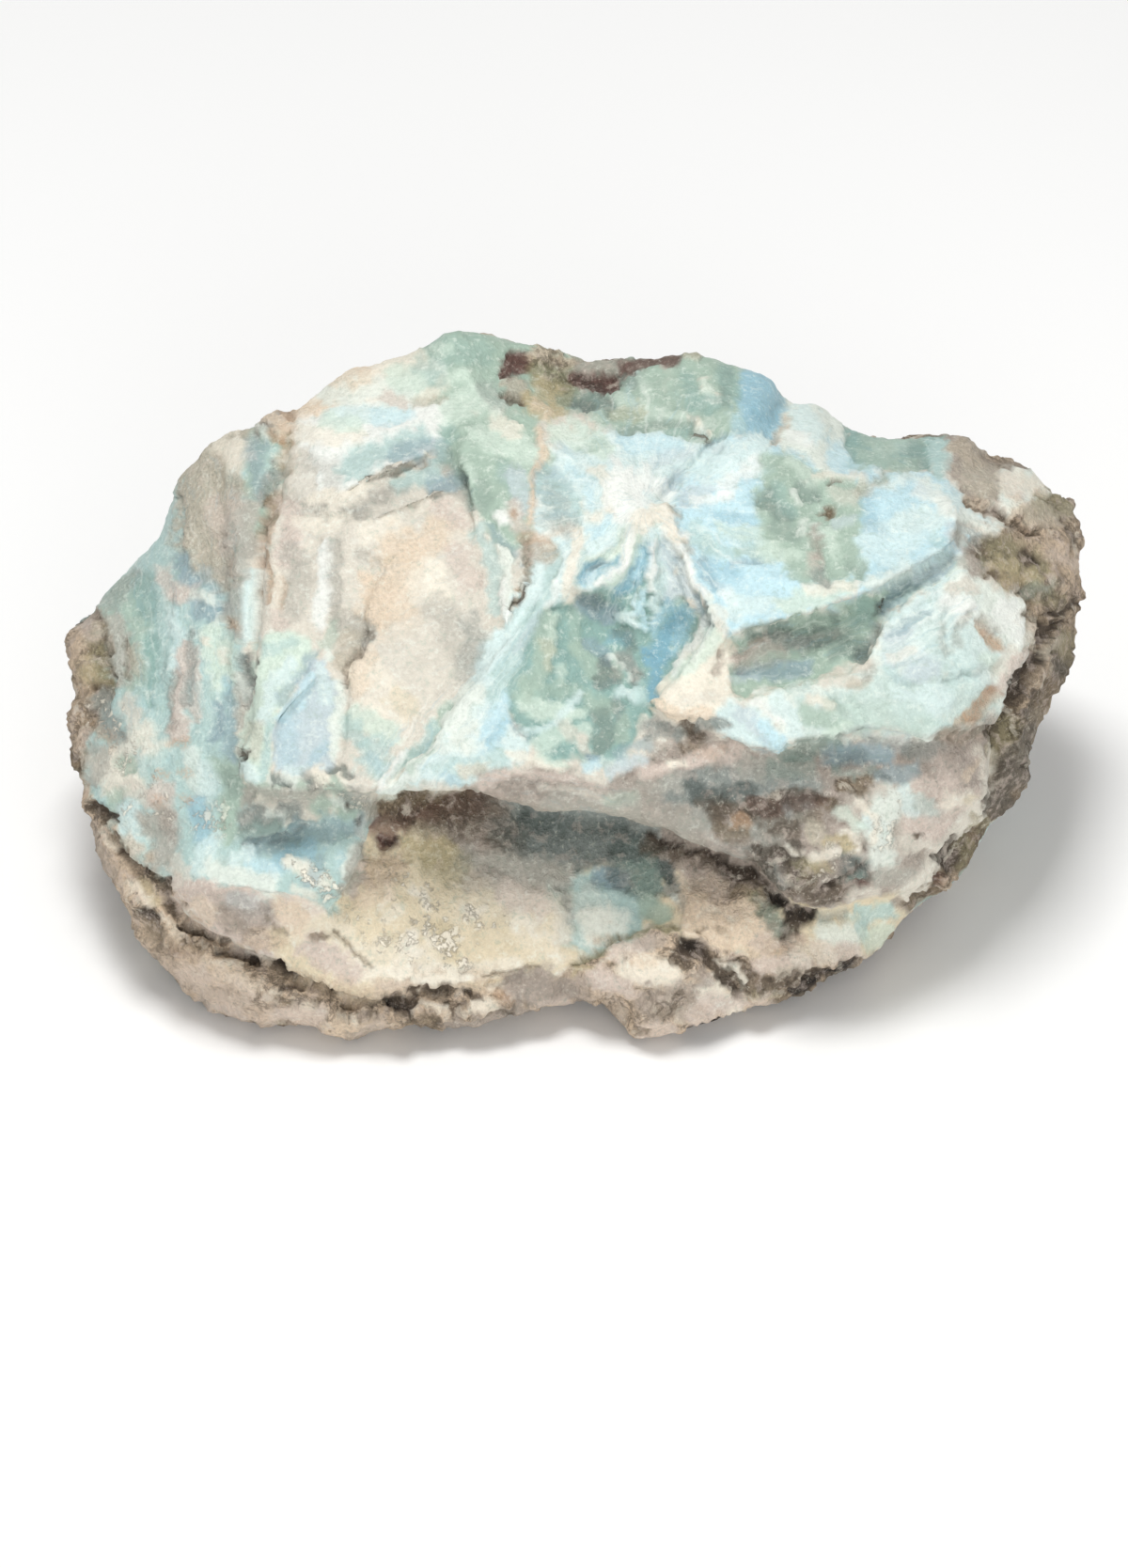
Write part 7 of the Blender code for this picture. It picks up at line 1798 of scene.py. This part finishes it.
class Shading:
    """The nodes of one material, added by type, settings and sockets."""

    def __init__(self, material):
        material.use_nodes = True
        self.tree = material.node_tree
        self.tree.nodes.clear()

    def node(self, kind, settings=None, sockets=None, output=None):
        """Adds a node, sets it up, fills or links its sockets, and gives its named or first shown output."""
        node = self.tree.nodes.new(kind)
        for name, setting in (settings or {}).items():
            setattr(node, name, setting)
        for key, value in (sockets or {}).items():
            socket = self.find(node.inputs, key)
            source = value.socket if isinstance(value, Value) else value
            if isinstance(source, bpy.types.NodeSocket):
                self.tree.links.new(source, socket)
            else:
                socket.default_value = source
        if output is None:
            return next((socket for socket in node.outputs if socket.enabled), None)
        return self.find(node.outputs, output)

    @staticmethod
    def find(sockets, key):
        """A socket by its place, its identifier or its name."""
        if isinstance(key, int):
            return sockets[key]
        return next(socket for socket in sockets if key in (socket.identifier, socket.name))

    def places(self, scale):
        """Where the surface is, as Blender units times a scale."""
        return self.scaled(self.node("ShaderNodeTexCoord", None, None, "Object"), scale)

    def noise(self, places, scale, detail, roughness, swirl):
        """Noise of 0 to 1, about a half in the middle."""
        sockets = {"Vector": places, "Scale": scale, "Detail": detail, "Roughness": roughness}
        sockets["Distortion"] = swirl
        return Value(self, self.node("ShaderNodeTexNoise", None, sockets, "Fac"))

    def cells(self, places, scale):
        """Distance from 0 to about 1 to the middle of the nearest cell."""
        sockets = {"Vector": places, "Scale": scale}
        return Value(self, self.node("ShaderNodeTexVoronoi", None, sockets, "Distance"))

    def attribute(self, name, output):
        """A socket that gives one of the mesh's attributes."""
        return self.node("ShaderNodeAttribute", {"attribute_name": name}, None, output)

    def painted(self, name):
        """An attribute that holds one number."""
        return Value(self, self.attribute(name, "Fac"))

    def parts(self, vector):
        """The three numbers of a vector."""
        first = self.node("ShaderNodeSeparateXYZ", None, {"Vector": vector}, "X")
        return [Value(self, socket) for socket in first.node.outputs]

    def mix(self, share, under, over):
        """One colour laid over another."""
        sockets = {"Factor_Float": share, "A_Color": under, "B_Color": over}
        return self.node("ShaderNodeMix", {"data_type": "RGBA"}, sockets, "Result_Color")

    def scaled(self, vector, factor):
        """A vector times a number."""
        sockets = {0: vector, "Scale": factor}
        return self.node("ShaderNodeVectorMath", {"operation": "SCALE"}, sockets, "Vector")

    def finish(self, sockets):
        """Ends the material in a Principled shader with these sockets."""
        shader = self.node("ShaderNodeBsdfPrincipled", None, sockets)
        self.node("ShaderNodeOutputMaterial", None, {"Surface": shader})


def light_colour(colour):
    """A tint property as light values with full opacity."""
    return (*linear(np.array(colour[:], float)), 1.0)


def larimar_noises(shading):
    """Every noise of the stone's material by name."""
    places = shading.places(1.0 / MM)
    grain = shading.parts(shading.attribute("grain", "Vector"))
    along_fibres = {axis: part * scale for axis, part, scale in zip("XYZ", grain, FIBRE_SCALE)}
    noises = {
        "clouds": shading.noise(places, *CLOUDS),
        "mottle": shading.noise(places, *MOTTLE),
        "frost": shading.noise(places, *FROST),
        "grit": shading.noise(places, *GRIT),
        "swirls": shading.noise(places, *SWIRLS),
        "fibres": shading.noise(shading.node("ShaderNodeCombineXYZ", None, along_fibres), *FIBRE_NOISE),
        "crumbs": shading.cells(places, CRUMB_SCALE),
    }
    noises["folds"] = abs(noises["swirls"] - 0.5)
    return noises


def larimar_material(tints):
    """Larimar and its host rock: the painted tints under clouds, fibres, chalk, rust, grit and cracks."""
    material = bpy.data.materials.new("larimar_and_host_rock")
    shading = Shading(material)
    noises = larimar_noises(shading)
    mottle, frost, grit = noises["mottle"], noises["frost"], noises["grit"]
    rock, fibrous = shading.painted("rock"), shading.painted("fibrous")
    rugged = rock.ramp(*RUGGED_ROCK) * noises["clouds"].ramp(*RUGGED_CLOUDS)
    zones = {"larimar": 1 - rock, "rock": rock, "fibrous": fibrous, "rugged": rugged}

    shade = TONE + rock * ROCK_TONE + (noises["fibres"] - 0.5) * fibrous * FIBRE_SHADE
    for name, (everywhere, on_rock) in SHADES.items():
        shade = shade + (noises[name] - 0.5) * (rock * on_rock + everywhere)
    colour = shading.scaled(shading.attribute("tint", "Color"), shade)
    for name, edges, zone, strength, tint_name in VEILS:
        veil = noises[name].ramp(*edges) * zones[zone] * strength
        colour = shading.mix(veil, colour, light_colour(getattr(tints, tint_name)))

    crust = shading.painted("chalk") * (frost * 0.5 + noises["swirls"] * 0.5).ramp(*CRUST_EDGES)
    colour = shading.mix(crust * CRUST_STRENGTH, colour, light_colour(tints.cream))
    stain = shading.painted("rust") * grit.ramp(*STAIN_EDGES)
    colour = shading.mix(stain * STAIN_STRENGTH, colour, light_colour(tints.rust))
    off_crack, near_crack, _ = shading.parts(shading.attribute("crack", "Vector"))
    wavering = abs(off_crack + (grit - 0.5) * GAP_WAVER)
    gap = wavering.ramp(*GAP_EDGES) * near_crack * mottle.ramp(*GAP_BREAKS)
    colour = shading.mix(gap * GAP_STRENGTH, colour, light_colour(tints.umber))

    dull = LARIMAR_ROUGHNESS + rock * ROCK_ROUGHNESS + crust * CRUST_ROUGHNESS + (grit - 0.5) * GRIT_ROUGHNESS
    wrinkle = noises["folds"].ramp(*FOLD_EDGES) * rugged
    height = noises["fibres"] * fibrous * FIBRE_RISE + crust * CRUST_RISE
    height = height - gap * GAP_DEPTH - wrinkle * WRINKLE_DEPTH - noises["crumbs"] * rock * CRUMB_DEPTH
    for name, (everywhere, on_rock) in RISES.items():
        height = height + noises[name] * (rock * on_rock + everywhere)
    bump = shading.node("ShaderNodeBump", None, {"Strength": 1.0, "Distance": MM, "Height": height})
    shading.finish({"Base Color": colour, "Roughness": dull, "Normal": bump, "Specular IOR Level": SPECULAR})
    return material


def floor_material(colour):
    """The floor's finish, which isn't part of the stone."""
    material = bpy.data.materials.new("floor")
    shading = Shading(material)
    grain = shading.noise(shading.places(1.0), *FLOOR_NOISE)
    roughness = FLOOR_ROUGHNESS + (grain - 0.5) * FLOOR_UNEVENNESS
    shading.finish({"Base Color": light_colour(colour), "Roughness": roughness})
    return material


def store(mesh, name, kind, values):
    """Keeps one value for each point under a name that the material reads."""
    if kind == "FLOAT_COLOR":
        held = mesh.color_attributes.new(name, kind, "POINT")
    else:
        held = mesh.attributes.new(name, kind, "POINT")
    held.data.foreach_set(FIELDS[kind], np.ascontiguousarray(values, np.float32).ravel())


class LARIMAR_OT_stone(bpy.types.Operator):
    """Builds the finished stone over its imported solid"""

    bl_idname = "larimar.stone"
    bl_label = "Stone"

    def execute(self, context):
        scene = context.scene
        sizes, tints = scene.larimar_sizes, scene.larimar_tints
        points, triangles = cut_up(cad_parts[NODE], sizes.cuts)
        points = blend_facets(points, triangles, sizes.rounds)
        u, v, out = layout_of(points)
        edge = FACE_BACK - FACE_DIP * v - FACE_BOW * (u / HALF_LENGTH) ** 2 + noise_at(points, "face edge")
        shown = smooth_ramp((out - edge) / FACE_BLUR + 0.5)
        level = SHELF_LEVEL - SHELF_FALL * (u - SHELF_START)
        under = smooth_ramp((level - out) / SHELF_BLUR + 0.5)
        spots = warped(points, u, v)
        ragged = noise_at(points, "frayed edges")

        paint = Paint(len(points), tints)
        paint_back(paint, points)
        paint_front(paint, spots, ragged, shown, under)
        grain, fibrous = fibre_grain(spots, shown)
        moved = roughen(points, triangles, spots, paint, grain, fibrous, shown, sizes)

        mesh = bpy.data.meshes.new("larimar_stone")
        mesh.from_pydata((moved * MM).tolist(), [], triangles.tolist())
        mesh.shade_smooth()
        colour = np.concatenate((linear(paint.colour), np.ones((len(points), 1))), 1)
        store(mesh, "tint", "FLOAT_COLOR", colour)
        store(mesh, "rock", "FLOAT", paint.rock)
        store(mesh, "chalk", "FLOAT", shown * mask_of(spots, ragged, CHALK))
        store(mesh, "rust", "FLOAT", shown * mask_of(spots, ragged, RUST))
        store(mesh, "fibrous", "FLOAT", fibrous)
        store(mesh, "grain", "FLOAT_VECTOR", grain)
        store(mesh, "crack", "FLOAT_VECTOR", crack_lines(spots, shown))
        mesh.materials.append(larimar_material(tints))

        stone = bpy.data.objects.new("larimar_stone", mesh)
        scene.collection.objects.link(stone)
        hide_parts(NODE)
        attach(stone, "root")
        return {"FINISHED"}


def aimed(scene, name, data, place, target):
    """Puts a light or camera at a place, turned towards a target."""
    thing = bpy.data.objects.new(name, data)
    scene.collection.objects.link(thing)
    thing.location = place
    thing.rotation_euler = (Vector(place) - Vector(target)).to_track_quat("Z", "Y").to_euler()
    return thing


def lay_floor(scene, colour):
    """A plain square floor under the stone."""
    mesh = bpy.data.meshes.new("floor")
    square = ((-1, -1), (1, -1), (1, 1), (-1, 1))
    mesh.from_pydata([(FLOOR_REACH * x, FLOOR_REACH * y, 0) for x, y in square], [], [(0, 1, 2, 3)])
    mesh.materials.append(floor_material(colour))
    floor = bpy.data.objects.new("floor", mesh)
    scene.collection.objects.link(floor)


def add_light(scene, name, watts, width, place):
    """A square lamp aimed at the stone."""
    lamp = bpy.data.lights.new(name, "AREA")
    lamp.energy = watts
    lamp.size = width
    aimed(scene, name, lamp, place, LIT_PLACE)


def add_air(scene, brightness):
    """Even white light from all round."""
    world = bpy.data.worlds.new("air")
    scene.world = world
    world.use_nodes = True
    background = world.node_tree.nodes["Background"].inputs
    background["Color"].default_value = (1.0, 1.0, 1.0, 1.0)
    background["Strength"].default_value = brightness
    scene.view_settings.view_transform = "Standard"


def add_camera(scene):
    """The photograph's view, square to the layout."""
    lean = math.radians(LEAN_DEG)
    toward = Vector((0.0, -math.cos(lean), math.sin(lean)))
    off_centre = Vector((SIGHT_U, SIGHT_V * math.sin(lean), SIGHT_V * math.cos(lean)))
    middle = Vector(FACE_CENTRE) + off_centre
    camera = bpy.data.cameras.new("camera")
    camera.sensor_width = SENSOR_MM
    camera.lens = SENSOR_MM * SIGHT / (PHOTO_HEIGHT_PX * PIXEL_MM)
    camera.clip_end = SIGHT_END
    scene.camera = aimed(scene, "camera", camera, (middle + toward * SIGHT) * MM, middle * MM)


class LARIMAR_OT_stage(bpy.types.Operator):
    """Sets the floor, the lights and the camera"""

    bl_idname = "larimar.stage"
    bl_label = "Stage"

    def execute(self, context):
        scene = context.scene
        settings = scene.larimar_stage
        lay_floor(scene, settings.floor)
        add_light(scene, "key_light", settings.key_power, KEY_WIDTH, KEY_PLACE)
        add_light(scene, "fill_light", settings.fill_power, FILL_WIDTH, FILL_PLACE)
        add_air(scene, settings.air)
        add_camera(scene)
        return {"FINISHED"}


class LARIMAR_PT_panel(bpy.types.Panel):
    """Builds the stone and its stage from the sidebar"""

    bl_idname = "LARIMAR_PT_panel"
    bl_label = "Rough larimar"
    bl_space_type = "VIEW_3D"
    bl_region_type = "UI"
    bl_category = "Larimar"

    def draw(self, context):
        for operator in OPERATORS:
            self.layout.operator(operator.bl_idname)


PROPERTIES = {"larimar_tints": LarimarTints, "larimar_sizes": LarimarSizes, "larimar_stage": StageSettings}
OPERATORS = (LARIMAR_OT_stone, LARIMAR_OT_stage)


def register():
    for kind in (*PROPERTIES.values(), *OPERATORS, LARIMAR_PT_panel):
        bpy.utils.register_class(kind)
    for name, kind in PROPERTIES.items():
        setattr(bpy.types.Scene, name, PointerProperty(type=kind))


def unregister():
    for name in PROPERTIES:
        delattr(bpy.types.Scene, name)
    for kind in (LARIMAR_PT_panel, *reversed(OPERATORS), *reversed(PROPERTIES.values())):
        bpy.utils.unregister_class(kind)


def main():
    register()
    bpy.ops.larimar.stone()
    bpy.ops.larimar.stage()


if __name__ == "__main__":
    main()
